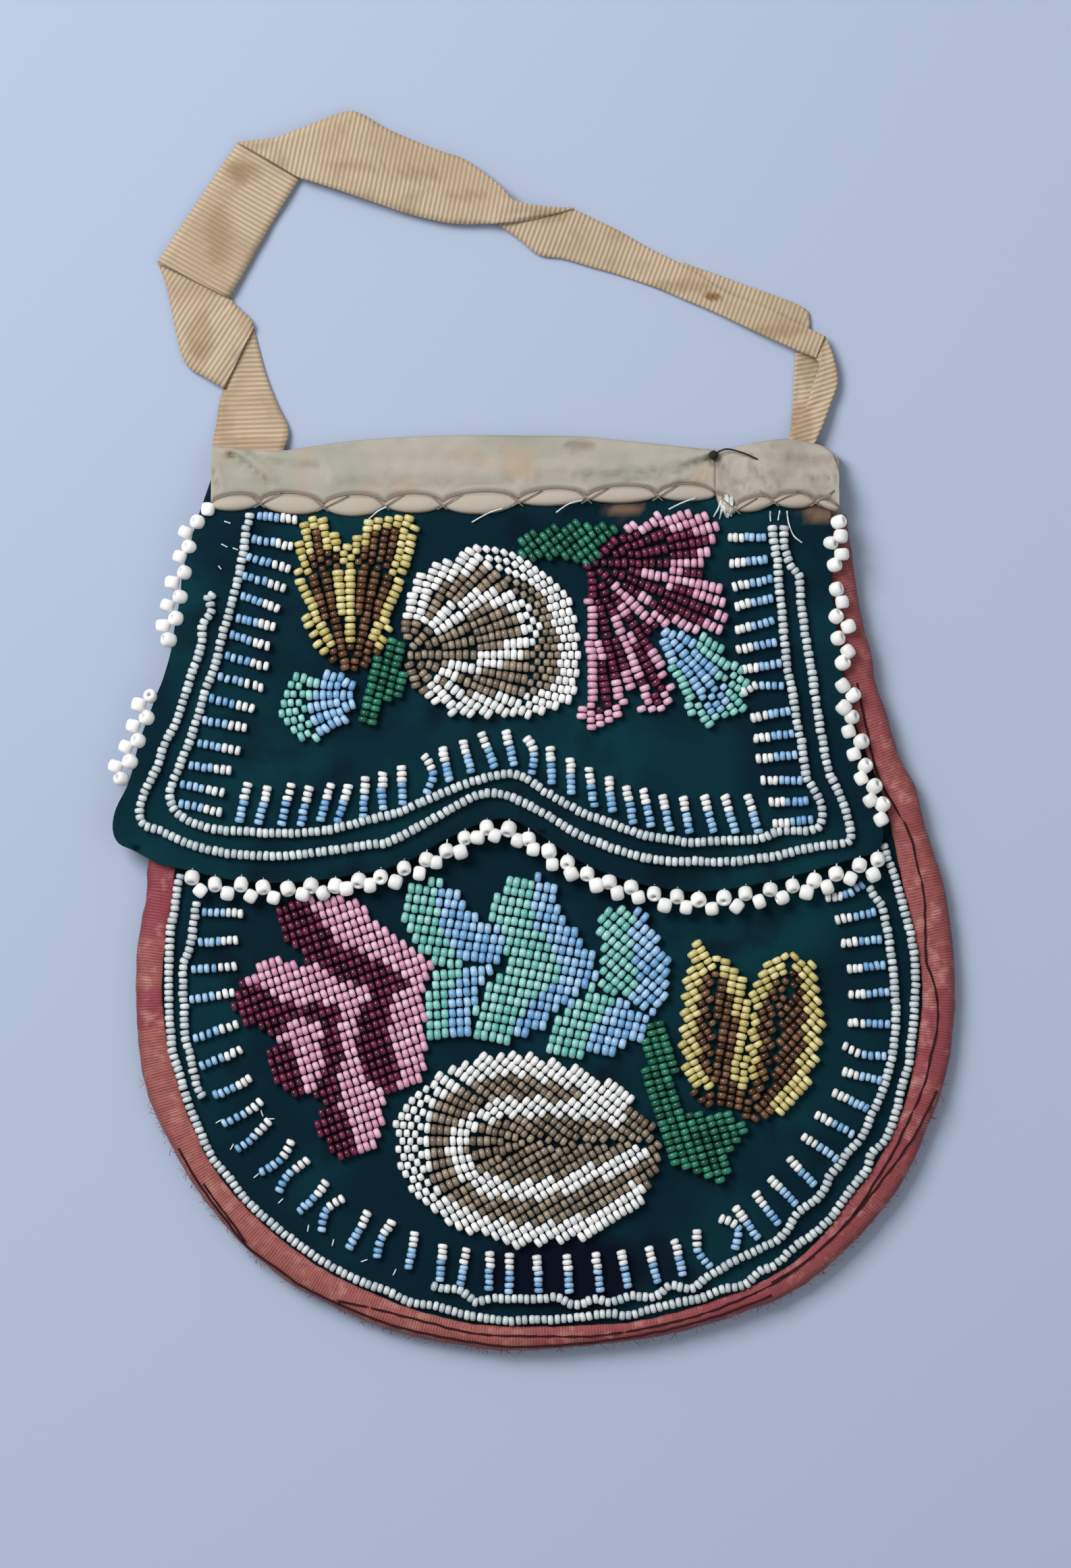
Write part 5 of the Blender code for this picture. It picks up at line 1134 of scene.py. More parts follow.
@dataclass
class EdgeChain:
    """Large white beads in a zigzag along the flap's edge."""

    name: str
    outer: Line
    inner: Line
    out: Point
    seed: int

    def build(self, beader: Beader) -> None:
        """Place the beads: the outer ones lie on their sides, the inner ones show their holes.

        Args:
            beader: What makes the piece.
        """
        chance = random.Random(self.seed)
        found = []
        for line, shows_hole in ((self.outer, False), (self.inner, True)):
            for x, y in line:
                if shows_hole:
                    axis = (self.out[0] + chance.gauss(0, 0.25), self.out[1] + chance.gauss(0, 0.25),
                            chance.uniform(0.5, 1.0))
                else:
                    axis = (self.out[1] + chance.gauss(0, 0.2), -self.out[0] + chance.gauss(0, 0.3),
                            chance.gauss(0, 0.1))
                wide = EDGE_DIAMETER * chance.uniform(0.94, 1.06)
                base = max(SIDE_LIP_TOP + crown(x, y), on_front(x, y)) + 0.2
                found.append(Bead((x, y, base + wide / 2), axis, EDGE_DIAMETER * chance.uniform(0.84, 0.98),
                                  wide, chance.random()))
        beader.thread_on(self.name, BeadKind.EDGE, found, [self.name])


class Shape(Enum):
    """How a patch of another glass lies within a beaded field."""

    AREA = "within an outline"
    BAND = "along a path"
    RIM = "along the field's edge"


@dataclass(frozen=True)
class Patch:
    """Where a field changes to another glass."""

    kind: BeadKind
    shape: Shape
    points: Line = ()
    reach: float = 0.0

    def holds(self, x: float, y: float, outline: Line) -> bool:
        """Tell whether a bead belongs to the patch. A rim leaves out what is near its points.

        Args:
            x: Place across the bag.
            y: Place along the bag.
            outline: The field's edge.

        Returns:
            Whether the bead is of the patch's glass.
        """
        if self.shape is Shape.AREA:
            return inside(x, y, self.points)
        if self.shape is Shape.BAND:
            return nearest(x, y, self.points)[0] < self.reach
        if any(math.dist((x, y), point[:2]) < point[2] for point in self.points):
            return False
        return nearest(x, y, outline, True)[0] < self.reach


@dataclass(frozen=True)
class Lanes:
    """A run of bead rows: all at one slope, or fanning out from a point."""

    slope: float = 0.0
    centre: Optional[Point] = None
    within: Optional[Line] = None


class Packing:
    """Beads of one size laid side by side, each turned its own way."""

    def __init__(self, long: float, wide: float) -> None:
        """Start with no beads.

        Args:
            long: Each bead's length along its row.
            wide: The spacing of the rows.
        """
        self.long, self.wide = long, wide
        self.places = np.empty((0, 2))
        self.slopes = np.empty(0)

    def apart(self, gap: np.ndarray, slope: np.ndarray) -> np.ndarray:
        """Measure how far beads are apart.

        Args:
            gap: The way from one bead to the other.
            slope: How the bead is turned.

        Returns:
            The distance, where 1 is just touching.
        """
        along = (gap[..., 0] * np.cos(slope) + gap[..., 1] * np.sin(slope)) / self.long
        across = (gap[..., 1] * np.cos(slope) - gap[..., 0] * np.sin(slope)) / self.wide
        return (np.abs(along) ** 3 + np.abs(across) ** 3) ** (1 / 3) + 1e-6

    def offer(self, x: float, y: float, slope: float, room: float) -> None:
        """Take a bead where the nearest one is far enough away.

        Args:
            x: Place across the bag.
            y: Place along the bag.
            slope: How the bead is turned.
            room: How far away the nearest bead has to be, where 1 is just touching.
        """
        place = np.array((x, y))
        if len(self.places) and self.apart(self.places - place, np.array(slope)).min() < room:
            return
        self.places = np.vstack((self.places, place))
        self.slopes = np.append(self.slopes, slope)

    def girths(self) -> np.ndarray:
        """Measure how wide each bead may be to meet the rows on both sides of it.

        Returns:
            A share of the usual width for each bead.
        """
        gap = self.places[:, None] - self.places[None]
        slope = self.slopes[:, None]
        along = gap[..., 0] * np.cos(slope) + gap[..., 1] * np.sin(slope)
        across = (gap[..., 1] * np.cos(slope) - gap[..., 0] * np.sin(slope)) / self.wide
        beside = (np.abs(along) < self.long * 0.8) & (np.abs(across) > 0.4)
        left = np.where(beside & (across > 0), across, 1.3).min(axis=1)
        right = np.where(beside & (across < 0), -across, 1.3).min(axis=1)
        return np.clip((np.minimum(left, 1.3) + np.minimum(right, 1.3)) / 2, 0.86, 1.2)

    def settle(self, rounds: int) -> None:
        """Ease beads apart that overlap.

        Args:
            rounds: How many times they are all moved.
        """
        for _ in range(rounds):
            gap = self.places[:, None] - self.places[None]
            apart = self.apart(gap, self.slopes[:, None])
            np.fill_diagonal(apart, 9)
            push = np.clip(1 / apart - 1, 0, 0.5)
            self.places = self.places + 0.3 * (gap * push[..., None]).sum(axis=1)


@dataclass
class BeadField:
    """A leaf, petal or oval of bead rows sewn side by side."""

    name: str
    outlines: Sequence[Line]
    lanes: Sequence[Lanes]
    ground: Height
    main: BeadKind
    patches: Sequence[Patch]
    nodes: dict[BeadKind, Sequence[str]]
    seed: int
    margin: float = 0.45
    long: float = 1.45
    wide: float = 1.95

    def depth(self, x: float, y: float) -> tuple[float, Line]:
        """Measure how far inside the field a place is.

        Args:
            x: Place across the bag.
            y: Place along the bag.

        Returns:
            The depth, below 0 outside, and the outline that it is in or next to.
        """
        best = (-1e9, self.outlines[0])
        for outline in self.outlines:
            gap = nearest(x, y, outline, True)[0]
            best = max(best, (gap if inside(x, y, outline) else -gap, outline), key=lambda found: found[0])
        return best

    def slope_at(self, x: float, y: float) -> float:
        """Tell which way the rows run at a place.

        Args:
            x: Place across the bag.
            y: Place along the bag.

        Returns:
            The angle from +X, in radians.
        """
        ways = [lanes for lanes in self.lanes if not lanes.within or inside(x, y, lanes.within)]
        lanes = (ways or self.lanes)[0]
        if lanes.centre is None:
            return math.radians(lanes.slope)
        return math.atan2(y - lanes.centre[1], x - lanes.centre[0])

    def rows(self, lanes: Lanes, box: tuple[float, float, float, float]) -> list[tuple[float, float]]:
        """Lay a run of rows over a box.

        Args:
            lanes: How the rows run.
            box: The lowest X and Y and the highest X and Y.

        Returns:
            The places of the beads, row after row.
        """
        low_x, low_y, high_x, high_y = box
        found = []
        if lanes.centre is None:
            slope = math.radians(lanes.slope)
            cos, sin = math.cos(slope), math.sin(slope)
            middle = ((low_x + high_x) / 2, (low_y + high_y) / 2)
            reach = int(math.hypot(high_x - low_x, high_y - low_y) / 2 / self.long) + 1
            for lane in range(-reach, reach + 1):
                for step in range(-reach, reach + 1):
                    far = (step + 0.1 * lane) * self.long
                    off = lane * self.wide
                    found.append((middle[0] + far * cos - off * sin, middle[1] + far * sin + off * cos))
            return found
        cx, cy = lanes.centre
        far = max(math.dist((cx, cy), corner) for corner in
                  ((low_x, low_y), (low_x, high_y), (high_x, low_y), (high_x, high_y)))
        count = max(round(math.tau * far * 0.85 / self.wide / 8) * 8, 16)
        for level in (8, 4, 2, 1):
            for lane in range(0, count, level):
                if lane % (level * 2) == 0 and level < 8:
                    continue
                angle = math.tau * lane / count
                radius = self.long * (0.6 + 0.5 * (lane % 2))
                while radius < far:
                    found.append((cx + math.cos(angle) * radius, cy + math.sin(angle) * radius))
                    radius += self.long
        return found

    def pack(self) -> Packing:
        """Lay the rows, fill what they leave open and ease the beads apart.

        Returns:
            The settled beads.
        """
        packing = Packing(self.long, self.wide)
        xs = [x for outline in self.outlines for x, _ in outline]
        ys = [y for outline in self.outlines for _, y in outline]
        box = (min(xs) - 1, min(ys) - 1, max(xs) + 1, max(ys) + 1)
        for lanes in self.lanes:
            for x, y in self.rows(lanes, box):
                if (not lanes.within or inside(x, y, lanes.within)) and self.depth(x, y)[0] > self.margin:
                    packing.offer(x, y, self.slope_at(x, y), 0.8)
        packing.settle(10)
        grid = 0.8
        for column in range(int((box[2] - box[0]) / grid)):
            for line in range(int((box[3] - box[1]) / grid)):
                x, y = box[0] + column * grid, box[1] + line * grid
                if self.depth(x, y)[0] > self.margin:
                    packing.offer(x, y, self.slope_at(x, y), 0.84)
        packing.settle(12)
        return packing

    def build(self, beader: Beader) -> None:
        """Fill the field with beads and make one piece of each glass.

        Args:
            beader: What makes the pieces.
        """
        chance = random.Random(self.seed)
        found: dict[BeadKind, list[Bead]] = {}
        packing = self.pack()
        for (x, y), slope, girth in zip(packing.places.tolist(), packing.slopes.tolist(),
                                        packing.girths().tolist()):
            depth, outline = self.depth(x, y)
            if depth < self.margin - 0.6:
                continue
            kind = next((patch.kind for patch in self.patches if patch.holds(x, y, outline)), self.main)
            wide = self.wide * girth * chance.uniform(0.96, 1.05) * GLASS[kind].girth
            x += chance.gauss(0, 0.05)
            y += chance.gauss(0, 0.05)
            turn = slope + chance.gauss(0, 0.07)
            bead = Bead((x, y, self.ground(x, y) + wide / 2 - BEAD_SINK),
                        (math.cos(turn), math.sin(turn), chance.gauss(0, 0.05)),
                        self.long * chance.uniform(0.92, 1.03), wide, chance.random())
            found.setdefault(kind, []).append(bead)
        for kind, beads in found.items():
            beader.thread_on(f"{self.name}_{kind.value}", kind, beads, self.nodes.get(kind, ()))


def flap_fields() -> list[BeadField]:
    """Lay out what is sewn on the flap.

    Returns:
        The leaves, bud, shell and flower.
    """
    kinds = BeadKind
    hinge = (-27.5, 49, 8.5)
    pink = [Patch(kinds.PINK, Shape.AREA, area) for area in FLAP_PINK_AREAS]
    pink += [Patch(kinds.PINK, Shape.BAND, path, reach) for path, reach in FLAP_PINK_BANDS]
    return [
        BeadField("flap_yellow_leaf", [FLAP_YELLOW], [Lanes(centre=(-38.2, 43))], on_flap, kinds.BROWN, [
            Patch(kinds.GOLD, Shape.RIM, [(-37.5, 44, 8.5)], 2.9),
            Patch(kinds.GOLD, Shape.BAND, [(-39, 72), (-39.2, 62), (-38.6, 54)], 1.9)],
            {kinds.BROWN: ["flap_yellow_leaf"]}, 11),
        BeadField("flap_blue_bud", [FLAP_BLUE_BUD], [Lanes(centre=(-33, 41))], on_flap, kinds.BLUE, [
            Patch(kinds.MINT, Shape.AREA, [(-46, 50), (-45, 43), (-48, 38.6), (-45.5, 35), (-44, 30),
                                           (-58, 30), (-58, 50)])],
            {kinds.BLUE: ["flap_blue_bud"]}, 12),
        BeadField("flap_green_left", [FLAP_GREEN_LEFT], [Lanes(76)], on_flap, kinds.GREEN, [],
                  {kinds.GREEN: ["flap_green_left"]}, 13),
        BeadField("flap_green_top", [FLAP_GREEN_TOP], [Lanes(38)], on_flap, kinds.GREEN, [],
                  {kinds.GREEN: ["flap_green_top"]}, 14),
        BeadField("flap_shell", [SHELL], [Lanes(centre=(-26.5, 49.4))], on_flap, kinds.TAN, [
            Patch(kinds.WHITE, Shape.RIM, [hinge], 4.7),
            Patch(kinds.WHITE, Shape.BAND, SHELL_CRESCENT, 1.8)],
            {kinds.TAN: ["flap_shell_field"], kinds.WHITE: ["flap_shell_rim", "flap_shell_band"]}, 15),
        BeadField("flap_flower", [FLAP_FLOWER], [Lanes(centre=(12.4, 68.6))], on_flap, kinds.MAROON, pink, {
            kinds.MAROON: ["flap_flower_top", "flap_flower_middle", "flap_flower_left", "flap_flower_right"],
            kinds.PINK: ["flap_flower_top_edge", "flap_flower_left_edge"]}, 16),
        BeadField("flap_teal_leaf", [FLAP_TEAL], [Lanes(centre=(25.2, 57))], on_flap, kinds.MINT, [
            Patch(kinds.BLUE, Shape.BAND, [(26.5, 55), (29, 52), (33, 47.5), (36, 43.5), (38, 40)], 3.1)],
            {kinds.MINT: ["flap_teal_leaf"]}, 17),
    ]


def front_fields() -> list[BeadField]:
    """Lay out what is sewn on the pouch's front.

    Returns:
        The flower, leaves, oval and stem.
    """
    kinds = BeadKind
    pink = [Patch(kinds.PINK, Shape.AREA, area) for area in BODY_PINK_AREAS]
    blue = [Patch(kinds.BLUE, Shape.AREA, area) for area in TEAL_BLUE_AREAS]
    leaves = [
        Lanes(-8, within=[(-30, 4), (-8, 4), (-8, -8), (-4, -12), (-14, -15), (-30, -15)]),
        Lanes(6, within=[(-30, -15), (-14, -15), (-6, -14.5), (-12, -24), (-12.7, -34), (-30, -34)]),
        Lanes(-10, within=[(-12.7, 5), (10, 5), (14, -12), (14, -18), (2.6, -28.6), (-12.7, -34)]),
        Lanes(-40, within=[(10, 5), (40, 5), (40, -27), (20, -23.5), (13.6, -19.4), (14, -12)]),
        Lanes(-12),
    ]
    petals = [f"body_petal_{number}" for number in ("one", "two", "three", "four", "five")]
    edges = [f"body_petal_{number}_edge" for number in ("one", "two", "five")]
    return [
        BeadField("body_flower", [BODY_FLOWER], [Lanes(20)], on_front, kinds.MAROON, pink,
                  {kinds.MAROON: petals, kinds.PINK: edges}, 21, margin=0.2),
        BeadField("body_oval", [OVAL], [
            Lanes(-38, within=[(0, -52.4), (-47, -15.4), (60, -15), (60, -53.2)]),
            Lanes(32, within=[(0, -52.4), (60, -53.2), (60, -84), (-51, -84)]),
            Lanes(centre=(0, -52.4))], on_front, kinds.TAN, [
            Patch(kinds.WHITE, Shape.AREA, [(-30, -30), (-21, -30), (-21, -76), (-30, -76)]),
            Patch(kinds.WHITE, Shape.RIM, [(26.5, -53, 10)], 4.9),
            Patch(kinds.WHITE, Shape.BAND, OVAL_RING, 1.95)],
            {kinds.TAN: ["body_oval_field"], kinds.WHITE: ["body_oval_rim", "body_oval_band"]}, 22),
        BeadField("body_green_stem", [BODY_STEM], [Lanes(-72)], on_front, kinds.GREEN, [],
                  {kinds.GREEN: ["body_green_stem"]}, 23),
        BeadField("body_yellow_leaf", [BODY_YELLOW], [
            Lanes(-58, within=[(25, -5), (37.5, -5), (37.6, -41), (25, -44)]),
            Lanes(80, within=[(37.5, -5), (45, -20), (45, -40), (46, -52), (37.6, -52), (37.6, -41)]),
            Lanes(-62, within=[(45, -20), (48, -5), (54.5, -5), (49, -40), (46, -46), (45, -40)]),
            Lanes(48, within=[(54.5, -5), (66, -5), (66, -52), (46, -52), (46, -46), (49, -40)])],
            on_front, kinds.BROWN, [
                Patch(kinds.GOLD, Shape.RIM, [(44, -50, 7.5), (37, -46, 5)], 3.8),
                Patch(kinds.GOLD, Shape.BAND, [(45, -18), (45, -30), (44.6, -38.5)], 2.6)],
            {kinds.BROWN: ["body_yellow_leaf"]}, 24),
        BeadField("body_teal_leaves", [TEAL_ONE, TEAL_TWO, TEAL_THREE], leaves, on_front, kinds.MINT, blue,
                  {kinds.MINT: [f"body_teal_leaf_{number}" for number in (1, 2, 3)]}, 31,
                  margin=0.1, long=1.6, wide=2.05),
    ]


def build_beadwork(beader: Beader) -> None:
    """Place every string, bar, edge bead and beaded field.

    Args:
        beader: What makes their pieces.
    """
    strings = [
        BeadString("flap_outer_string", FLAP_OUTER_STRING, on_flap, ["flap_outer_string"], 1),
        BeadString("flap_inner_string", FLAP_INNER_STRING, on_flap, ["flap_fringe"], 2),
        BeadString("body_outer_string", BODY_OUTER_STRING, on_front, ["body_outer_string"], 3),
        BeadString("body_inner_string_left", BODY_INNER_LEFT, on_front, ["body_fringe_left"], 4),
        BeadString("body_inner_string_right", BODY_INNER_RIGHT, on_front, ["body_fringe_right"], 5),
    ]
    loose = [f"body_loose_bar_{number}" for number in range(1, len(LOOSE_BARS) + 1)]
    bars = [
        FringeBars("flap_bars", FLAP_BARS, on_flap, 6),
        FringeBars("body_bars", BODY_BARS, on_front, 7, loose),
    ]
    chains = [EdgeChain("edge_beads_bottom", EDGE_BOTTOM_LOWER, EDGE_BOTTOM_UPPER, (0, -1), 8)]
    sides = (
        ("edge_beads_left_upper", EDGE_LEFT_UPPER, 0, (-1, 0.3)),
        ("edge_beads_left_lower", EDGE_LEFT_LOWER, 1, (-1, 0.4)),
        ("edge_beads_right_upper", EDGE_RIGHT_UPPER, 1, (1, 0.2)),
        ("edge_beads_right_lower", EDGE_RIGHT_LOWER, 1, (1, 0.4)),
    )
    for seed, (name, line, first, out) in enumerate(sides, 9):
        chains.append(EdgeChain(name, line[first::2], line[1 - first::2], out, seed))
    for piece in [*strings, *bars, *chains, *flap_fields(), *front_fields()]:
        piece.build(beader)


@dataclass(frozen=True)
class ClothFinish:
    """A woven or pile cloth: its colours, how it is marked and how its threads stand up."""

    name: str
    base: str
    worn: str
    stain: str
    wear_mm: float
    roughness: float
    sheen: float
    rib_mm: float = 0.0
    rib_depth: float = 0.0
    painted_groove_shade: str = ""
    fibre_mm: float = 0.5
    mark_and_highlight: str = ""
    soil: str = ""

    def material(self) -> bpy.types.Material:
        """Make the cloth, with broad worn marks, fine stains and its own weave, painted shade in the grooves
        between its ribs, and the marks, painted shade and painted highlight that the piece's attributes
        carry.

        Returns:
            The material.
        """
        material, tree, shader = new_material(self.name)
        wear = share_between(tree, grain(tree, self.wear_mm, 3.0), 0.45, 0.66)
        colour = blend_colours(tree, wear, linear(self.base), linear(self.worn))
        marks = share_between(tree, grain(tree, self.wear_mm * 0.45, 4.0), 0.54, 0.74)
        colour = blend_colours(tree, marks, colour, linear(self.stain))
        if self.rib_mm:
            ribs = in_ribs(tree, self.rib_mm)
            # Painted shade: the grooves between the ribs take a darker colour.
            colour = blend_colours(tree, ribs, linear(self.painted_groove_shade), colour)
            press(tree, shader, ribs, self.rib_depth)
        else:
            press(tree, shader, grain(tree, self.fibre_mm, 2.0), 0.12, 0.6)
        # The puff attribute carries a real brown mark on the velvet and a painted highlight on the cotton's
        # puffed scallops; the soil attribute carries the velvet's real navy stain, and on the cotton and the
        # ribbon real stains together with painted shade in creases, at folds and under edges.
        for name, marked in (("puff", self.mark_and_highlight), ("soil", self.soil)):
            if marked:
                own = add_node(tree, "ShaderNodeAttribute", {"attribute_name": name})
                colour = blend_colours(tree, own.outputs["Fac"], colour, linear(marked))
        tree.links.new(colour, shader.inputs["Base Color"])
        shader.inputs["Roughness"].default_value = self.roughness
        shader.inputs["Sheen Weight"].default_value = self.sheen
        shader.inputs["Sheen Roughness"].default_value = 0.4
        shader.inputs["Specular IOR Level"].default_value = 0.1
        return material


# Cut-pile cotton velvet swallows light, so it is nearly black with a teal bloom where the pile is worn; its
# marks are real: brown under the top binding and a navy stain at the bottom
VELVET = ClothFinish("cut_pile_velvet", "#03202B", "#07323B", "#03141F", 34, 0.95, 0.03,
                     mark_and_highlight="#6F5A48", soil="#050B1C")
# Plain-weave cotton washed thin: matt, with grey and brown marks and darker patches along the top edge and at
# the knot; painted shade in the stitched creases, along the scallops' lower edge and in the folds, and a
# painted highlight on the puffed scallops
CREAM = ClothFinish("plain_weave_cotton", "#A8A397", "#949789", "#A99783", 20, 0.9, 0.05, fibre_mm=0.35,
                    mark_and_highlight="#B7AC9E", soil="#64584B")
PATCH = ClothFinish("bleached_cotton_patch", "#ADA69C", "#9C958B", "#958B7F", 9, 0.9, 0.05, fibre_mm=0.3,
                    mark_and_highlight="#B3A797", soil="#5F5448")
# Grosgrain shows close ribs across its width, pale on top with painted shade in the grooves between them,
# painted shade at its folds and overlaps, and a dark stain
GROSGRAIN = ClothFinish("grosgrain_ribbon", "#C8B59C", "#B8A287", "#A38D70", 16, 0.75, 0.05, 1.0, 0.16,
                        "#A6917A", soil="#7A5A30")
# Plain lining cotton, unseen under the velvet
LINING = ClothFinish("lining_calico", "#C9BFA9", "#BEB39C", "#B3A58B", 40, 0.9, 0.05, fibre_mm=0.4)
# Silk tape with fine ribs and a low lustre, crimson where the dye held and salmon where it faded, rubbed
# paler in places, with painted shade in patches in the grooves between the ribs, darker along its outer edge
# and painted shade on its back
CRIMSON, SALMON, SILK_GROOVE_SHADE = "#8C3A44", "#9A5650", "#672B34"
RUBBED_SILK, SILK_DARK_EDGE_AND_SHADE = "#BC8279", "#431D23"
# Waxed sewing thread in nearly black red, bleached cotton, greyed waxed linen, worn silk and dark linen
DARK_THREAD, PALE_THREAD, STITCH_THREAD = "#2C0A0F", "#D8DDDD", "#877C6E"
FRAYED_SILK, KNOT_THREAD = "#9A4048", "#2B2420"


def silk_material() -> bpy.types.Material:
    """Make ribbed silk with painted shade in patches between its ribs; its faded places, darker outer edge
    and painted shade on its back come from the piece's own attributes.

    Returns:
        The material.
    """
    material, tree, shader = new_material("ribbed_silk_tape")
    faded = add_node(tree, "ShaderNodeAttribute", {"attribute_name": "faded"})
    colour = blend_colours(tree, faded.outputs["Fac"], linear(CRIMSON), linear(SALMON))
    rubbed = share_between(tree, grain(tree, 3.4, 5.0), 0.53, 0.76)
    colour = blend_colours(tree, rubbed, colour, linear(RUBBED_SILK))
    # Painted shade: the grooves between the ribs are darkened where the broken noise lets it show.
    ribs = in_ribs(tree, 0.62)
    share = share_between(tree, ribs, 0.0, 0.35)
    shaded = blend_colours(tree, share, linear(SILK_GROOVE_SHADE), colour)
    broken = share_between(tree, grain(tree, 1.8, 4.0), 0.38, 0.6)
    colour = blend_colours(tree, broken, colour, shaded)
    soil = add_node(tree, "ShaderNodeAttribute", {"attribute_name": "soil"})
    colour = blend_colours(tree, soil.outputs["Fac"], colour, linear(SILK_DARK_EDGE_AND_SHADE))
    tree.links.new(colour, shader.inputs["Base Color"])
    press(tree, shader, ribs, 0.12, 0.6)
    shader.inputs["Roughness"].default_value = 0.6
    shader.inputs["Sheen Weight"].default_value = 0.1
    shader.inputs["Specular IOR Level"].default_value = 0.3
    return material


def thread_material(name: str, colour: str) -> bpy.types.Material:
    """Make a matt spun thread of one colour.

    Args:
        name: The material's name.
        colour: The thread's sRGB hex colour.

    Returns:
        The material.
    """
    material, _, shader = new_material(name)
    shader.inputs["Base Color"].default_value = linear(colour)
    shader.inputs["Roughness"].default_value = 0.8
    shader.inputs["Specular IOR Level"].default_value = 0.25
    return material


@dataclass
class Panels:
    """The velvet panels and the linings between them."""

    step: float = 1.7
    inset: float = 1.4
    back_inset: float = 6.5
    velvet: Optional[bpy.types.Material] = None
    lining: Optional[bpy.types.Material] = None

    def pouch_outline(self, top: float, inset: float) -> list[Point]:
        """Cut the pouch's outline inside its binding's wall.

        Args:
            top: The height on the bag where it is cut straight across.
            inset: How far it lies inside the binding's outer edge.

        Returns:
            The closed outline.
        """
        outer = resample(smooth(BINDING_OUTER, 3), 4.0)
        edge = []
        for x, y in outer:
            _, foot = nearest(x, y, BINDING_INNER)
            run = math.dist((x, y), foot)
            edge.append((x + (foot[0] - x) * inset / run, y + (foot[1] - y) * inset / run))
        kept = [point for point in edge if point[1] < top - 1]
        return [(kept[-1][0], top), (kept[0][0], top), *kept]

    def navy(self, x: float, y: float, _: float) -> float:
        """Return how strongly the velvet is stained navy at the bottom of the pouch."""
        return max(stain(x, y, (7, -80), (19, 9)), 0.6 * stain(x, y, (26, -78), (4, 7)))

    def toned(self, x: float, y: float, _: float) -> float:
        """Return how strongly the velvet is marked brown under the top binding."""
        return max(stain(x, y, (19, 80), (3.6, 1.7)), stain(x, y, (60, 79.6), (3.8, 1.9)))

    def add(self, name: str, outline: Line, height: Height, thickness: float, finish: bpy.types.Material,
            slot: str, rests_on: Sequence[str]) -> None:
        """Make one panel as a sheet laid over what is under it.

        Args:
            name: The piece's name, and the CAD node's.
            outline: Its cut edge.
            height: The height of its upper face at a place.
            thickness: The cloth's thickness.
            finish: Its material.
            slot: The record's slot that the finish belongs to.
            rests_on: The pieces that it lies on.
        """
        thing = finish_mesh(cut_sheet(outline, self.step, thickness, height), name, finish)
        if finish is self.velvet:
            mark(thing, "soil", self.navy)
            mark(thing, "puff", self.toned)
        enlist(thing, [name], slot)
        area_of(outline)
        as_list(rests_on)

    def build(self) -> None:
        """Make the pouch's back and front, the flap and their linings."""
        self.velvet, self.lining = VELVET.material(), LINING.material()
        pouch = self.pouch_outline(POUCH_TOP, self.inset)
        front = self.pouch_outline(FRONT_PANEL_TOP, self.inset)
        back = self.pouch_outline(BACK_PANEL_TOP, self.back_inset)
        flap = smooth(FLAP_OUTLINE, 3) + [(-66, 91), (62.5, 91)]
        lining = [(x * 0.985 - 0.3, y * 0.985 + 1.2 if y < 88 else 90.6) for x, y in flap]

        def ruffle(height: Height) -> Height:
            """Return a height with the soft waves of the cloth on it."""
            return lambda x, y: height(x, y) + RUFFLE * rough(x / 26, y / 26, 3.0)

        velvet, cotton = (self.velvet, "velvet"), (self.lining, "lining_cotton")
        self.add("back_panel", back, lambda x, y: BACK_THICKNESS, BACK_THICKNESS, *velvet, [])
        self.add("back_lining", pouch, lambda x, y: BACK_LINING_TOP, LINING_THICKNESS, *cotton,
                 ["back_panel"])
        self.add("front_lining", front, lambda x, y: FRONT_LINING_TOP + crown(x, y), LINING_THICKNESS,
                 *cotton, ["back_lining"])
        self.add("front_panel", front, ruffle(on_front), PANEL_THICKNESS, *velvet, ["front_lining"])
        self.add("flap_lining", lining, lambda x, y: on_flap(x, y) - FLAP_LINING_DEPTH, LINING_THICKNESS,
                 *cotton, ["front_panel"])
        self.add("flap_panel", flap, ruffle(on_flap), PANEL_THICKNESS, *velvet, ["flap_lining"])


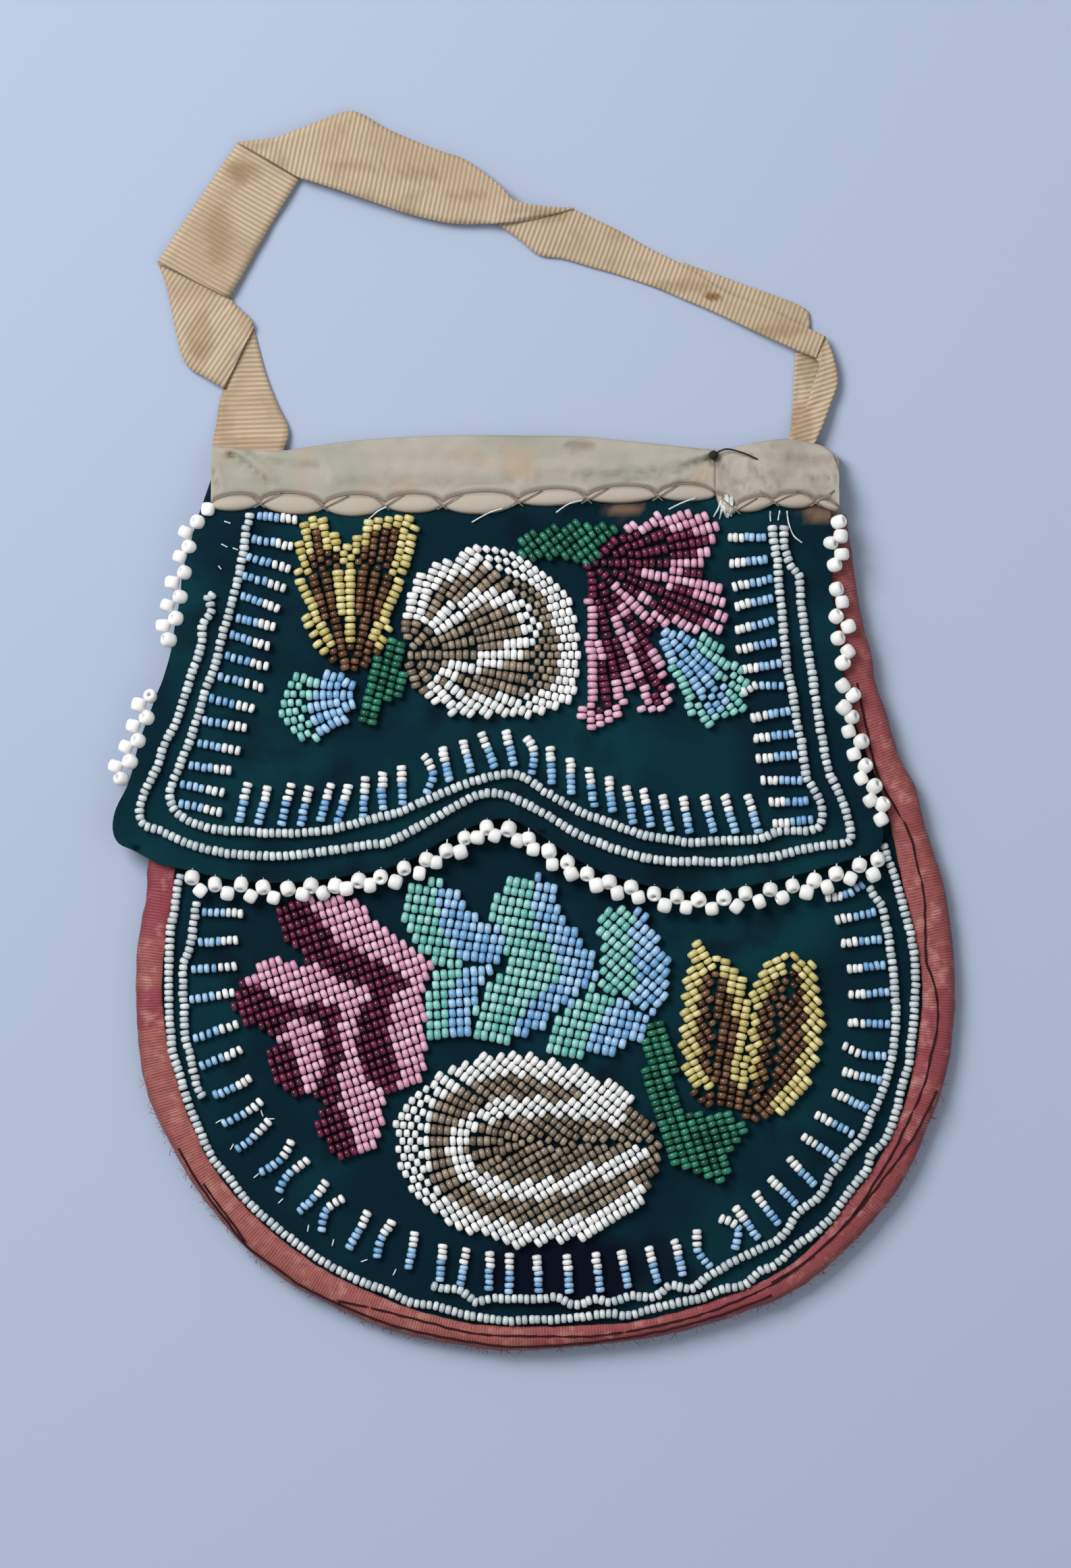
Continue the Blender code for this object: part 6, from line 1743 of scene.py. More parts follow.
@dataclass
class SideBinding:
    """Red silk tape folded round the pouch's edge, with its stitches and frayed fibres."""

    step: float = 0.9
    thickness: float = 0.45
    wall: float = 0.6
    fibres: int = 170
    thread: float = 0.5

    def edges(self) -> list[tuple[Point, Point]]:
        """Pair the tape's two seen edges.

        Returns:
            Matching places on the outer and the inner edge.
        """
        inner = smooth(BINDING_INNER, 3)
        return [(place, nearest(place[0], place[1], inner)[1])
                for place in resample(smooth(BINDING_OUTER, 3), self.step)]

    def profile(self, width: float) -> list[Point]:
        """Draw the folded tape's section.

        Args:
            width: How wide the tape is seen from the front.

        Returns:
            Steps inwards and heights, all round it.
        """
        top, thick, wall = SIDE_LIP_TOP, self.thickness, self.wall
        return [
            (1.0, 0.05), (width * 0.6, 0.0), (width - 0.3, 0.0), (width - 0.3, thick), (width * 0.6, thick),
            (wall + 0.5, thick), (wall, 1.2), (wall, 3.0), (wall + 0.5, top - thick - 0.1),
            (width * 0.5, top - thick + 0.1), (width, top - 0.6), (width + 0.05, top - 0.35),
            (width - 0.3, top - 0.1), (width * 0.75, top + 0.1), (width * 0.5, top + 0.16),
            (width * 0.28, top), (0.75, top - 0.3), (0.2, top - 1.1), (0.0, 2.2), (0.05, 1.0), (0.4, 0.3),
        ]

    def fade(self, x: float, y: float) -> float:
        """Give how far the dye has faded: on the left it held above and between two faded stretches.

        Args:
            x: Place across the bag.
            y: Place along the bag.

        Returns:
            0 for crimson to 1 for salmon.
        """
        if x > 0:
            return 0.35 + 0.3 * rough(x / 15, y / 15, 1.0) + (0.25 if y > -20 else 0)
        level = 0.0 if y > -10 or -29 < y <= -20 else 1.0
        return min(max(level + 0.15 * rough(x / 9, y / 9, 2.0), 0), 1)

    def build(self) -> None:
        """Make the tape, the dark stitches on it and the fibres along its worn edge."""
        pairs = self.edges()
        outline = [outer for outer, _ in pairs[::4]]
        sections = []
        for index, (outer, inner) in enumerate(pairs):
            width = math.dist(outer, inner)
            inward = ((inner[0] - outer[0]) / width, (inner[1] - outer[1]) / width)
            pucker = 0.22 * rough(index * 0.5, 1.0) + 0.25 * rough(index * 0.12, 7.0)
            ring = []
            for depth, z in self.profile(width):
                depth += 0.22 * rough(index * 0.3, z, 4.0) if depth < 1 or depth > width - 0.5 else 0
                x, y = outer[0] + inward[0] * depth, outer[1] + inward[1] * depth
                lift = crown(x, y) if z > 1.7 else 0
                ring.append((x, y, z + lift + (pucker if z > 3.9 else 0)))
            sections.append(ring)
        count, sides = len(sections) - 1, len(sections[0])

        def place(along: float, across: float) -> Place:
            """Return the point of the tape for shares along and round it."""
            return sections[round(along * count)][round(across * sides) % sides]

        def weave(along: float, across: float) -> Point:
            """Return the tape's own coordinates, so the ribs lie across it."""
            return (along * count * self.step, across * sides)

        form = woven_grid(count, sides, place, weave, ring=True)
        close_ends(form)
        tape = finish_mesh(form, "side_binding", silk_material())
        mark(tape, "faded", lambda x, y, _: self.fade(x, y))

        def soiled_and_shaded(x: float, y: float, z: float) -> float:
            """Return how dark the tape is: darker along its outer edge, and painted shade on its back, which
            lies on the floor.
            """
            edge = math.exp(-nearest(x, y, outline)[0] / 0.7)
            return edge * (0.5 + 0.5 * max(rough(x / 5, y / 5, 6.0), 0)) + (0.3 if z < 1 else 0)

        mark(tape, "soil", soiled_and_shaded)
        enlist(tape, ["side_binding"], "red_silk")
        self.build_stitches()
        self.build_fray(pairs)

    def build_stitches(self) -> None:
        """Sew the dark thread over the tape, dipping in at every stitch."""
        whole = bmesh.new()
        for line in SIDE_STITCHES:
            places = resample(smooth(line, 4), 1.0)
            path = []
            for index, (x, y) in enumerate(places):
                z = SIDE_LIP_TOP + crown(x, y) + 0.16 + 0.1 * math.sin(index * 1.4)
                path.append((x + 0.18 * rough(index * 0.4, 2.0), y + 0.18 * rough(index * 0.4, 9.0), z))
            add_form(whole, thread_form(path, self.thread))
        enlist(finish_mesh(whole, "side_stitches", thread_material("waxed_red_thread", DARK_THREAD)))

    def build_fray(self, pairs: Sequence[tuple[Point, Point]]) -> None:
        """Let worn fibres stand out of the tape's outer edge along the bottom.

        Args:
            pairs: Matching places on the tape's outer and inner edge.
        """
        chance = random.Random(41)
        whole = bmesh.new()
        low = [pair for pair in pairs if pair[0][1] < -40]
        for _ in range(self.fibres):
            outer, inner = chance.choice(low)
            away = Vector((outer[0] - inner[0], outer[1] - inner[1], 0)).normalized()
            side = Vector((-away.y, away.x, 0)) * chance.uniform(-1, 1)
            start = Vector((outer[0], outer[1], chance.uniform(1.2, 3.6))) - away * 0.6
            reach = chance.uniform(0.9, 1.9)
            path = [tuple(start + away * reach * t + side * reach * t * t + Vector((0, 0, -0.5 * t * t)))
                    for t in (0, 0.35, 0.7, 1.0)]
            add_form(whole, thread_form(path, chance.uniform(0.08, 0.16), 3))
        enlist(finish_mesh(whole, "side_fray", thread_material("frayed_silk_fibre", FRAYED_SILK)))


@dataclass
class TopBinding:
    """Cream cotton folded over the top edge, its lower edge drawn into scallops by the stitches."""

    name: str
    scallops: Line
    finish: ClothFinish
    slot: str
    lift: float = 0.0
    thickness: float = 0.5
    arch: float = 2.1
    column_mm: float = 0.55
    wall_y: float = 91.3
    back_y: float = 82.2
    knot: Point = (37.8, 91.3)
    # Every crease's path, its depth and its half width
    creases: Sequence[tuple[Line, float, float]] = (
        ([(-63.5, 91.4), (-60, 89.6), (-57.6, 87.4), (-55.2, 85.4)], 1.0, 0.55),
        ([(-66.9, 88.2), (-66.6, 86.4), (-65.9, 84.9)], 0.6, 0.4),
        ([(-59, 92), (-55.6, 90.2), (-51, 89.4), (-45, 89.2)], 0.5, 0.7),
        ([(9, 87), (17, 87.3), (25.5, 88.2), (32, 89.4), (37, 90.8)], 0.7, 0.5),
        ([(20, 86), (28, 87.3), (33, 88.8), (37.2, 90.4)], 0.55, 0.5),
        ([(-40, 85.2), (-30, 85.6), (-16, 85.2), (-4, 86)], 0.5, 1.1),
        ([(2, 86.4), (10, 86.1), (20, 86.6), (28, 86.2)], 0.4, 1.0),
        ([(45.8, 89.2), (48, 86.6), (49.6, 84.4), (50.8, 82.6)], 0.8, 0.45),
        ([(57, 86.5), (59.4, 86.3), (61.9, 86.6)], 0.8, 0.4),
        ([(40, 88.8), (42, 86.4), (45, 84.2), (49, 82.6)], 0.5, 0.45),
        ([(54, 90.4), (58, 89.6), (62.5, 90)], 0.4, 0.8),
    )

    def span(self, x: float) -> tuple[float, float, float]:
        """Find the scallop at a place across the bag.

        Args:
            x: Place across the bag.

        Returns:
            The lower edge, the stitched arch above it and how full the scallop is there.
        """
        knots, deeps = self.scallops[::2], self.scallops[1::2]
        start, low, end = knots[0], deeps[0], knots[1]
        for first, deep, second in zip(knots, deeps, knots[1:]):
            if x >= first[0]:
                start, low, end = first, deep, second
        share = min(max((x - start[0]) / (end[0] - start[0]), 0), 1)
        line = start[1] + (end[1] - start[1]) * share
        depth = (start[1] + end[1]) / 2 - low[1]
        bow = (4 * share * (1 - share)) ** 0.6
        rise = self.arch * min((end[0] - start[0]) / 12, 1)
        return line - 0.15 - depth * bow, line + 0.2 + rise * bow, bow

    def ground(self, x: float, y: float) -> float:
        """Return the height of the flap's velvet under the binding."""
        return UNDER_BINDING + crown(x, y) - flap_fall(y)

    def crease(self, x: float, y: float) -> float:
        """Give the small folds of the washed cotton, which gather towards the knot.

        Args:
            x: Place across the bag.
            y: Place along the bag.

        Returns:
            How far the cotton stands up there.
        """
        gap = math.dist((x, y), self.knot)
        turn = math.atan2(y - self.knot[1], x - self.knot[0])
        rays = 0.3 * math.sin(turn * 22) * math.exp(-gap / 12) * min(gap / 2, 1)
        slack = 0.5 * rough(x / 17, y / 1.9, self.lift) + 0.24 * rough(x / 3.1, y / 2.2, 4.0)
        end = math.dist((x, y), (-65, 91))
        folds = sum(1.25 * depth * self.valley(x, y, line, wide) for line, depth, wide in self.creases)
        return rays + slack + 0.5 * rough((x + y) / 2.6, 0, 2) * math.exp(-end / 8) + folds

    def valley(self, x: float, y: float, line: Line, wide: float) -> float:
        """Draw the section of one crease: a narrow valley with a soft ridge on its upper side.

        Args:
            x: Place across the bag.
            y: Place along the bag.
            line: The crease's path, from left to right.
            wide: The valley's half width.

        Returns:
            The height, where -1 is the valley's full depth.
        """
        if not line[0][0] - 3 < x < line[-1][0] + 3:
            return 0.0
        gap, foot = nearest(x, y, line)
        above = gap if y > foot[1] else -gap
        return 0.6 * math.exp(-((above - 2.2 * wide) / (1.4 * wide)) ** 2) - math.exp(-(above / wide) ** 2)

    def soiled_and_shaded(self, x: float, y: float, _: float) -> float:
        """Give how dark the cotton is: painted shade in the stitched crease, along the scallops' lower edge
        and in the creases' valleys, and darker patches along the top edge, at the knot and left of it.

        Args:
            x: Place across the bag.
            y: Place along the bag.

        Returns:
            How strongly it is darkened.
        """
        low, arch, _ = self.span(x)
        # Painted shade in the stitched groove under the arch and along the scallops' lower edge.
        crease = 0.7 * math.exp(-((y - arch) / 0.45) ** 2) + 0.5 * math.exp(-((y - low) / 0.45) ** 2)
        edge = 0.3 * max(rough(x / 6, 2.0), 0) * math.exp(-((y - 94.5) / 1.2) ** 2)
        # Painted shade in the creases' valleys.
        folds = max(0.5 * depth * max(-self.valley(x, y, line, wide * 0.6), 0)
                    for line, depth, wide in self.creases)
        marks = 0.4 * stain(x, y, (9.4, 93.4), (3.6, 1.3)) + 0.6 * stain(x, y, (38, 90.4), (1.5, 1.6))
        return crease + edge + folds + marks

    def section(self, x: float, top: float) -> list[Place]:
        """Draw the folded strip's closed section at a place across the bag.

        Args:
            x: Place across the bag.
            top: The strip's upper edge there.

        Returns:
            The section's points, all round it.
        """
        low, arch, bow = self.span(x)
        ring = []
        for share in (0.0, 0.1, 0.25, 0.42, 0.6, 0.78, 0.92, 1.0):
            y = low + (arch - low) * share
            puff = 0.05 + (0.25 + 1.0 * bow) * math.sin(math.pi * share) ** 0.6
            ring.append((x, y, self.ground(x, y) + puff + self.lift + 0.05 * rough(x / 1.5, y, 2.0)))
        for share in (0.04, 0.09, 0.15, 0.24, 0.34, 0.44, 0.54, 0.64, 0.74, 0.83, 0.9, 0.96, 1.0):
            y = arch + (top - 0.4 - arch) * share
            swell = 0.05 + 0.85 * (1 - math.exp(-(y - arch) / 0.6)) - 0.5 * max(share - 0.8, 0) * 5
            ring.append((x, y, self.ground(x, y) + swell + self.lift + self.crease(x, y) * min(share * 5, 1)))
        high = self.ground(x, top) + self.lift - 0.3
        for share in (0.25, 0.6, 1.0):
            ring.append((x, top - 0.1 * abs(share - 0.5), high + (0.3 - high) * share))
        for share in (0.05, 0.5, 1.0):
            ring.append((x, top - 0.4 + (self.back_y - top + 0.4) * share, 0.0))
        for share in (1.0, 0.5, 0.0):
            ring.append((x, self.wall_y + (self.back_y - self.wall_y) * share, self.thickness))
        roof = self.ground(x, self.wall_y) - 0.2
        for share in (0.5, 1.0):
            ring.append((x, self.wall_y, self.thickness + (roof - self.thickness) * share))
        for share in (0.6, 0.3, 0.03):
            y = low + 0.2 + (self.wall_y - low - 0.2) * share
            ring.append((x, y, self.ground(x, y) - 0.1))
        return ring

    def build(self) -> None:
        """Make the folded strip and the thread that draws it in."""
        left, right = self.scallops[0][0], self.scallops[-1][0]
        columns = round((right - left) / self.column_mm)
        top_line = smooth(BINDING_TOP, 4)
        sections = [self.section(left + (right - left) * index / columns,
                                 height_at(top_line, left + (right - left) * index / columns))
                    for index in range(columns + 1)]
        sides = len(sections[0])

        def place(along: float, across: float) -> Place:
            """Return the point of the strip for shares along and round it."""
            return sections[round(along * columns)][round(across * sides) % sides]

        form = woven_grid(columns, sides, place, ring=True)
        close_ends(form)
        strip = finish_mesh(form, self.name, self.finish.material())
        # Painted shade in the creases and along the scallops, with darker patches and stains.
        mark(strip, "soil", self.soiled_and_shaded)
        # Painted highlight: the puffed scallops are painted lighter.
        mark(strip, "puff", lambda x, y, _: 0.6 * (self.span(x)[0] < y < self.span(x)[1]))
        enlist(strip, [self.name], self.slot)
        self.build_stitches(left, right)

    def build_stitches(self, left: float, right: float) -> None:
        """Run the thread over every arch and cross it at every point where scallops meet.

        Args:
            left: The strip's left end.
            right: Its right end.
        """
        chance = random.Random(61)
        whole = bmesh.new()
        count = round((right - left) / 0.6)
        path = []
        for index in range(count + 1):
            x = left + 0.3 + (right - left - 0.6) * index / count
            _, arch, _ = self.span(x)
            path.append((x, arch, self.ground(x, arch) + 0.42 + self.lift))
        add_form(whole, thread_form(path, 0.32))
        for x, y in self.scallops[::2]:
            for side in (-1, 1):
                reach = 1.0 if side < 0 else chance.uniform(1.0, 1.9)
                ends = [(x + side * step * reach, y - 0.5 + step * 0.85)
                        for step in (-0.9, 0.0, 1.0, 2.0, 3.0)]
                cross = [(u, v, self.ground(u, v) + self.lift + rise)
                         for (u, v), rise in zip(ends, (0.9, 0.75, 1.35, 1.5, 1.1)) if left < u < right]
                if len(cross) > 4:
                    add_form(whole, thread_form(cross, 0.3))
        thread = thread_material("waxed_linen_thread", STITCH_THREAD)
        enlist(finish_mesh(whole, self.name + "_stitches", thread))


@dataclass(frozen=True)
class Rail:
    """One place along the ribbon: its two edges, its height and how it tilts across."""

    left: Point
    right: Point
    z: float
    tilt: float = 0.0


@dataclass
class RibbonHandle:
    """Grosgrain ribbon folded back and forth, twisted once and tucked into the top binding."""

    width: float = 16.5
    thickness: float = 0.35
    rows: int = 10
    # Every run's direction in degrees, and the places along it
    runs: Sequence[tuple[float, Sequence[Rail]]] = (
        (92.0, [Rail((-67, 92), (-52.6, 91.8), 3.4), Rail((-67.3, 94), (-52.2, 93.2), 2.2),
                Rail((-66.6, 98), (-51.4, 97), 1.4), Rail((-66.2, 101), (-53.4, 101.5), 1.0),
                Rail((-65.6, 104), (-56.2, 108.5), 0.7), Rail((-65, 105.5), (-58.8, 118.6), 0.6)]),
        (147.0, [Rail((-65, 105.5), (-58.6, 118.6), 1.5), Rail((-69, 107.9), (-59.6, 120.4), 1.5),
                 Rail((-73, 110.6), (-61.6, 122.3), 1.3), Rail((-74.9, 116.5), (-62.6, 123.3), 1.1),
                 Rail((-77.2, 127.4), (-63.4, 124.2), 0.9), Rail((-79, 132), (-63.8, 124.5), 0.8)]),
        (60.0, [Rail((-79, 132), (-63.8, 124.5), 1.7), Rail((-73.8, 140), (-59.6, 132), 1.6),
                Rail((-68, 148.6), (-54.6, 140.8), 1.5), Rail((-62.1, 157.3), (-49.1, 149.7), 1.4)]),
        (-12.0, [Rail((-62.1, 157.3), (-49.1, 149.7), 2.4), Rail((-54.5, 158.2), (-46.5, 148.9), 2.6, 0.2),
                 Rail((-48.6, 160.3), (-41.1, 147.2), 2.6, 0.5), Rail((-39.8, 163.6), (-34, 144.8), 2.4, 0.8),
                 Rail((-36, 163.2), (-31, 143.8), 2.3, 0.6), Rail((-30.1, 159.8), (-27, 142.4), 2.2),
                 Rail((-20, 155.6), (-19.2, 140.5), 2.2, -0.4), Rail((-14.9, 153.9), (-14, 140), 2.3, -0.6),
                 Rail((-10.7, 151), (-11, 140.1), 2.6, -1.0), Rail((-6.5, 147.6), (-8.8, 140.1), 3.0, -1.0),
                 Rail((-3.6, 144.8), (-7.6, 140.1), 3.1, -0.8), Rail((2.6, 143.7), (-3.6, 140.4), 2.7, -0.4),
                 Rail((8.6, 143.3), (0.4, 141.1), 1.9, -0.1)]),
        (-20.0, [Rail((8.6, 143.1), (-7.6, 140.1), 1.6), Rail((9.4, 142.8), (-3.2, 137.1), 1.4),
                 Rail((11, 142.1), (1.1, 133.7), 1.2), Rail((13.7, 140.8), (6.1, 132.9), 1.0),
                 Rail((17.9, 138.8), (12, 131.2), 0.9), Rail((24.6, 135), (17.9, 129.5), 0.8),
                 Rail((29.7, 132.5), (26.3, 126.6), 0.9), Rail((34.8, 129.6), (32.6, 123.9), 1.2),
                 Rail((40.6, 125.9), (39.2, 121.1), 1.6), Rail((48.1, 122.9), (46.2, 117.7), 1.9),
                 Rail((55, 119.6), (52.4, 114.8), 2.2), Rail((58.6, 117.8), (56, 113.2), 2.5),
                 Rail((61.3, 116.4), (59.4, 111.9), 2.7)]),
        (-20.0, [Rail((31.4, 132.1), (31.2, 130.9), 0.4), Rail((35.6, 130.6), (35.2, 126.4), 0.4),
                 Rail((40, 129), (39.4, 123.4), 0.4), Rail((48.6, 125.9), (47.4, 120.4), 0.5),
                 Rail((54, 123.9), (53, 118), 0.6), Rail((57.2, 122.2), (57, 116.6), 0.7),
                 Rail((57.8, 120.4), (58, 116), 0.7)]),
        (-80.0, [Rail((60.9, 114.4), (55.1, 112.9), 0.8), Rail((60.2, 110), (54.9, 108), 0.6),
                 Rail((58.6, 104), (54.6, 102), 0.9), Rail((56.9, 98), (53.9, 96), 2.0),
                 Rail((56.6, 92), (53.7, 92), 3.2)]),
        (-72.0, [Rail((61.3, 116.6), (59.3, 111.9), 2.2), Rail((62.4, 114.2), (59.9, 110.8), 2.4),
                 Rail((63.3, 111.6), (59.8, 109.2), 2.4),
                 Rail((64.1, 107.4), (58.4, 105.2), 2.2), Rail((63.2, 104), (57.2, 101.4), 2.3),
                 Rail((62.4, 101.7), (56, 99.4), 2.5), Rail((60.8, 97.6), (54.3, 97), 2.8),
                 Rail((59.4, 94.4), (53.8, 95.3), 3.2), Rail((58.6, 92), (53.8, 92), 3.6)]),
    )

    def soiled_and_shaded(self, x: float, y: float, _: float) -> float:
        """Give how dark the ribbon is: a dark stain on the right, and painted shade near the folds and where
        the runs lie over one another.

        Args:
            x: Place across the bag.
            y: Place along the bag.

        Returns:
            How strongly it is darkened.
        """
        # Painted shade near the folds and under the overlaps: centre and reach across and along each.
        folds = (
            (-61, 151, 4.5, 2.2), (-66, 138, 3, 7), (-38, 152, 7, 1.2), (-24, 150.5, 6, 1.6),
            (-14, 146, 5, 1.0), (56.4, 98, 2.6, 5), (57.4, 110, 1.6, 3), (3, 141.6, 5, 1.4), (-66, 97, 3, 6),
            (-58, 93.5, 8, 1.8), (30, 127, 8, 1.4), (50, 117.4, 8, 1.4), (-70, 116, 3, 6),
        )
        toned = max(stain(x, y, (cx, cy), (rx, ry)) for cx, cy, rx, ry in folds)
        return max(0.95 * stain(x, y, (37.6, 124.9), (2.2, 0.9)), 0.3 * toned)

    def build(self) -> None:
        """Lay each straight run, with the ribs square to its own direction."""
        whole = bmesh.new()
        length = 0.0
        for heading, rails in self.runs:
            angle = math.radians(heading)
            along = (math.cos(angle), math.sin(angle))
            fine = smooth([(*rail.left, *rail.right, rail.z, rail.tilt) for rail in rails], 8)
            count = len(fine) - 1

            def place(share: float, across: float, fine: Sequence = fine, count: int = count) -> Place:
                """Return the point of the run for shares along and across it."""
                ax, ay, bx, by, z, tilt = fine[round(share * count)]
                sag = 0.3 * rough(share * 7, across * 3, z) + tilt * (across - 0.5)
                return (ax + (bx - ax) * across, ay + (by - ay) * across, z + sag)

            def weave(share: float, across: float, place: Callable = place, along: Point = along) -> Point:
                """Return the ribbon's own coordinates, along the run and across it."""
                x, y, _ = place(share, across)
                return (x * along[0] + y * along[1], -x * along[1] + y * along[0])

            part = woven_grid(count, self.rows, place, weave)
            bmesh.ops.recalc_face_normals(part, faces=part.faces[:])
            bmesh.ops.solidify(part, geom=part.faces[:], thickness=self.thickness * MM)
            middles = [((a + c) / 2, (b + d) / 2) for a, b, c, d, _, _ in fine]
            length += sum(math.dist(a, b) for a, b in zip(middles, middles[1:]))
            add_form(whole, part)
        ribbon = finish_mesh(whole, "ribbon_handle", GROSGRAIN.material())
        # Painted shade at the folds and overlaps, and a real stain on the right.
        mark(ribbon, "soil", self.soiled_and_shaded)
        enlist(ribbon, ["ribbon_handle"], "tan_ribbon")


@dataclass
class Threads:
    """Loose ends, cut stitches and the knot."""

    pale: Sequence[Line] = (
        [(-12.8, 77.2), (-9.6, 79), (-6.4, 80.1)], [(-34.8, 77.5), (-32.6, 79.4), (-30.7, 80.4)],
        [(4.8, 79.2), (7.4, 81), (10.3, 81.8)], [(28.4, 79.9), (31, 81.2), (34, 82.3)],
        [(53.1, 79.5), (53.6, 76.6), (54.6, 74.3), (56.3, 72.9)],
        [(49.6, 79.4), (49.7, 77.4)], [(51.6, 79.6), (51.3, 77.6)],
        [(-64.6, 77.4), (-63.4, 77)], [(-65.2, 72.6), (-64, 72)], [(-62.8, 71.8), (-61.8, 71.4)],
        [(-65.8, 68), (-65.3, 67.4)],
    )
    stubs: Sequence[tuple[Point, float]] = (
        ((-63.2, -53.8), 60), ((-58.1, -59.8), 40), ((-53, -65.1), 45), ((-47.2, -70.9), 80),
        ((-42, -73.9), 75), ((-35.5, -77.6), 20), ((-29.1, -80.1), 65), ((-66, -48.4), 30),
        ((-55, -47.8), 0), ((-56.8, -46.8), 110),
    )
    tassel: Point = (40.6, 82.2)
    fibres: int = 26
    diameter: float = 0.32

    def build(self) -> None:
        """Make one piece of all the pale threads and one of the dark knot."""
        whole = bmesh.new()
        self.sew_pale(whole)
        self.cut_stubs(whole)
        self.tie_edge(whole)
        self.hang_tassel(whole)
        thread = thread_material("bleached_cotton_thread", PALE_THREAD)
        enlist(finish_mesh(whole, "pale_threads", thread))
        self.tie_knot()

    def sew_pale(self, whole: bmesh.types.BMesh) -> None:
        """Lay the long pale threads over the flap's upper part.

        Args:
            whole: The form that they are added to.
        """
        for line in self.pale:
            path = []
            for index, (x, y) in enumerate(smooth(line, 6)):
                ground = on_flap(x, y) + (1.5 if y > 79 else 0.25)
                path.append((x, y, ground + 0.25 + 0.15 * math.sin(index)))
            add_form(whole, thread_form(path, self.diameter))

    def cut_stubs(self, whole: bmesh.types.BMesh) -> None:
        """Let the cut ends stand out where the pouch's string is lost.

        Args:
            whole: The form that they are added to.
        """
        for (x, y), angle in self.stubs:
            turn = math.radians(angle)
            base = on_front(x, y) + 0.15
            path = [(x + math.cos(turn) * t, y + math.sin(turn) * t,
                     base + 0.3 * math.sin(math.pi * (t + 0.6) / 1.4)) for t in (-0.6, -0.3, 0.0, 0.4, 0.8)]
            add_form(whole, thread_form(path, self.diameter))

    def tie_edge(self, whole: bmesh.types.BMesh) -> None:
        """Tie every inner bead of the bottom chain to the flap.

        Args:
            whole: The form that the threads are added to.
        """
        for x, y in EDGE_BOTTOM_UPPER:
            base = on_flap(x, y + 3) - 0.6
            path = [(x, y + 1.2, base - 0.2), (x + 0.1, y + 1.9, base + 0.5), (x + 0.15, y + 2.5, base + 0.2)]
            add_form(whole, thread_form(path, 0.35))

    def hang_tassel(self, whole: bmesh.types.BMesh) -> None:
        """Let a tuft of fibres hang where the patch starts.

        Args:
            whole: The form that they are added to.
        """
        chance = random.Random(51)
        for _ in range(self.fibres):
            x, y = self.tassel[0] + chance.gauss(0, 0.75), self.tassel[1] + chance.gauss(0, 0.4)
            base = UNDER_BINDING + 1.0 + crown(x, y) - flap_fall(y)
            bend, drop = chance.gauss(0, 0.7), chance.uniform(2.2, 4.2)
            path = [(x + bend * t * t, y - drop * t, base + 0.9 * math.sin(2.6 * t) - 0.3 * t)
                    for t in (0, 0.3, 0.6, 1)]
            add_form(whole, thread_form(path, chance.uniform(0.22, 0.4), 4))

    def tie_knot(self) -> None:
        """Make the dark knot on the top binding with its tail."""
        dark = bmesh.new()
        base = 8.4 + crown(40, 91.4) - flap_fall(91)
        tail = [(38.2, 91.6, base), (39.4, 92.3, base + 0.3), (41, 92.6, base), (44, 91.8, base + 0.25),
                (47, 90.5, base)]
        add_form(dark, thread_form(smooth(tail, 5), 0.4))
        knot = bmesh.new()
        bmesh.ops.create_icosphere(knot, subdivisions=3, radius=0.95 * MM)
        for corner in knot.verts:
            corner.co *= 1 + 0.25 * rough(corner.co.x * 2600, corner.co.y * 2600, corner.co.z * 2600)
            corner.co += Vector((37.8, 91.3, base)) * MM
        add_form(dark, knot)
        enlist(finish_mesh(dark, "dark_knot", thread_material("dark_linen_thread", KNOT_THREAD)))


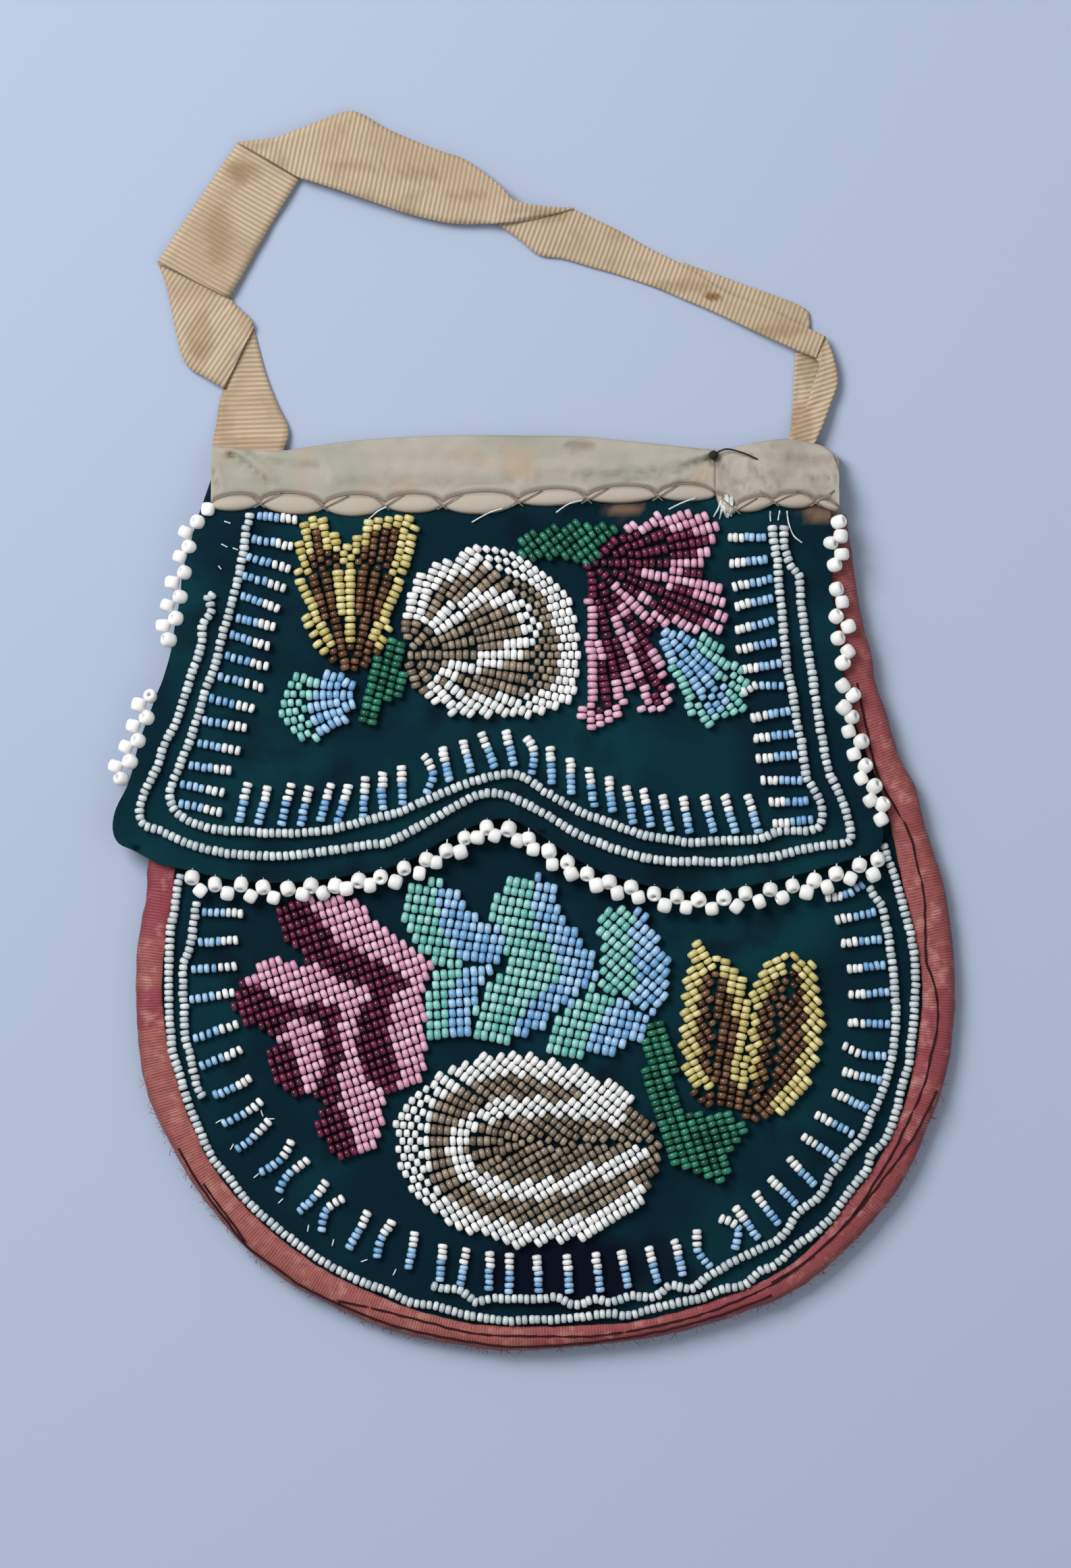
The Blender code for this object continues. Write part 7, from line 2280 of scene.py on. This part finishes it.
@dataclass
class Studio:
    """A plain pale floor, soft light and the photograph's viewing angle."""

    floor_colour: str = "#A9B6CE"
    distance: float = 1.5
    seen_height: float = 0.3288
    middle: tuple[float, float] = (0.0005, 0.0224)

    def build(self) -> None:
        """Make the floor, the lights, the world and the camera."""
        scene = bpy.context.scene
        scene.view_settings.view_transform = "Standard"
        low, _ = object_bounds()
        form = bmesh.new()
        bmesh.ops.create_grid(form, x_segments=1, y_segments=1, size=3.0)
        bmesh.ops.translate(form, vec=(0, 0, low.z), verts=form.verts[:])
        material, _, shader = new_material("painted_board")
        shader.inputs["Base Color"].default_value = linear(self.floor_colour)
        shader.inputs["Roughness"].default_value = 0.9
        floor = finish_mesh(form, "floor", material)
        floor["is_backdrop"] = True
        world = bpy.data.worlds.new("studio")
        scene.world = world
        world.use_nodes = True
        sky = world.node_tree.nodes["Background"]
        sky.inputs["Color"].default_value = linear("#FFFFFF")
        sky.inputs["Strength"].default_value = 0.33
        self.lamp("key", (-0.6, 0.6, 0.9), 0.6, 14.5)
        self.lamp("fill", (0.7, -0.3, 1.2), 1.2, 2.4)
        view = bpy.data.cameras.new("camera")
        view.sensor_width = 36.0
        view.lens = 36.0 * self.distance / self.seen_height
        view.clip_start, view.clip_end = 0.01, 20.0
        camera = bpy.data.objects.new("camera", view)
        camera.location = (*self.middle, self.distance + 0.005)
        scene.collection.objects.link(camera)
        scene.camera = camera

    def lamp(self, name: str, place: Place, size: float, watts: float) -> None:
        """Hang a square soft light that faces the bag.

        Args:
            name: The light's name.
            place: Where it hangs, in metres.
            size: Its width in metres.
            watts: Its power.
        """
        light = bpy.data.lights.new(name, "AREA")
        light.size = size
        light.energy = watts
        thing = bpy.data.objects.new(name, light)
        thing.location = place
        thing.rotation_mode = "QUATERNION"
        thing.rotation_quaternion = (Vector((0, 0.02, 0)) - Vector(place)).to_track_quat("-Z", "Y")
        bpy.context.scene.collection.objects.link(thing)
        thing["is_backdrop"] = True


def write_sizes() -> None:
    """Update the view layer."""
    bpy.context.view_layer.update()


def main() -> None:
    """Build every piece, then the studio."""
    logging.basicConfig(level=logging.INFO, format="%(message)s")
    Panels().build()
    SideBinding().build()
    TopBinding("top_binding", SCALLOPS, CREAM, "cream_cotton").build()
    TopBinding("top_binding_patch", PATCH_SCALLOPS, PATCH, "cream_patch", 0.25).build()
    RibbonHandle().build()
    beader = Beader()
    beader.prepare()
    build_beadwork(beader)
    Threads().build()
    write_sizes()
    Studio().build()


if __name__ == "__main__":
    main()
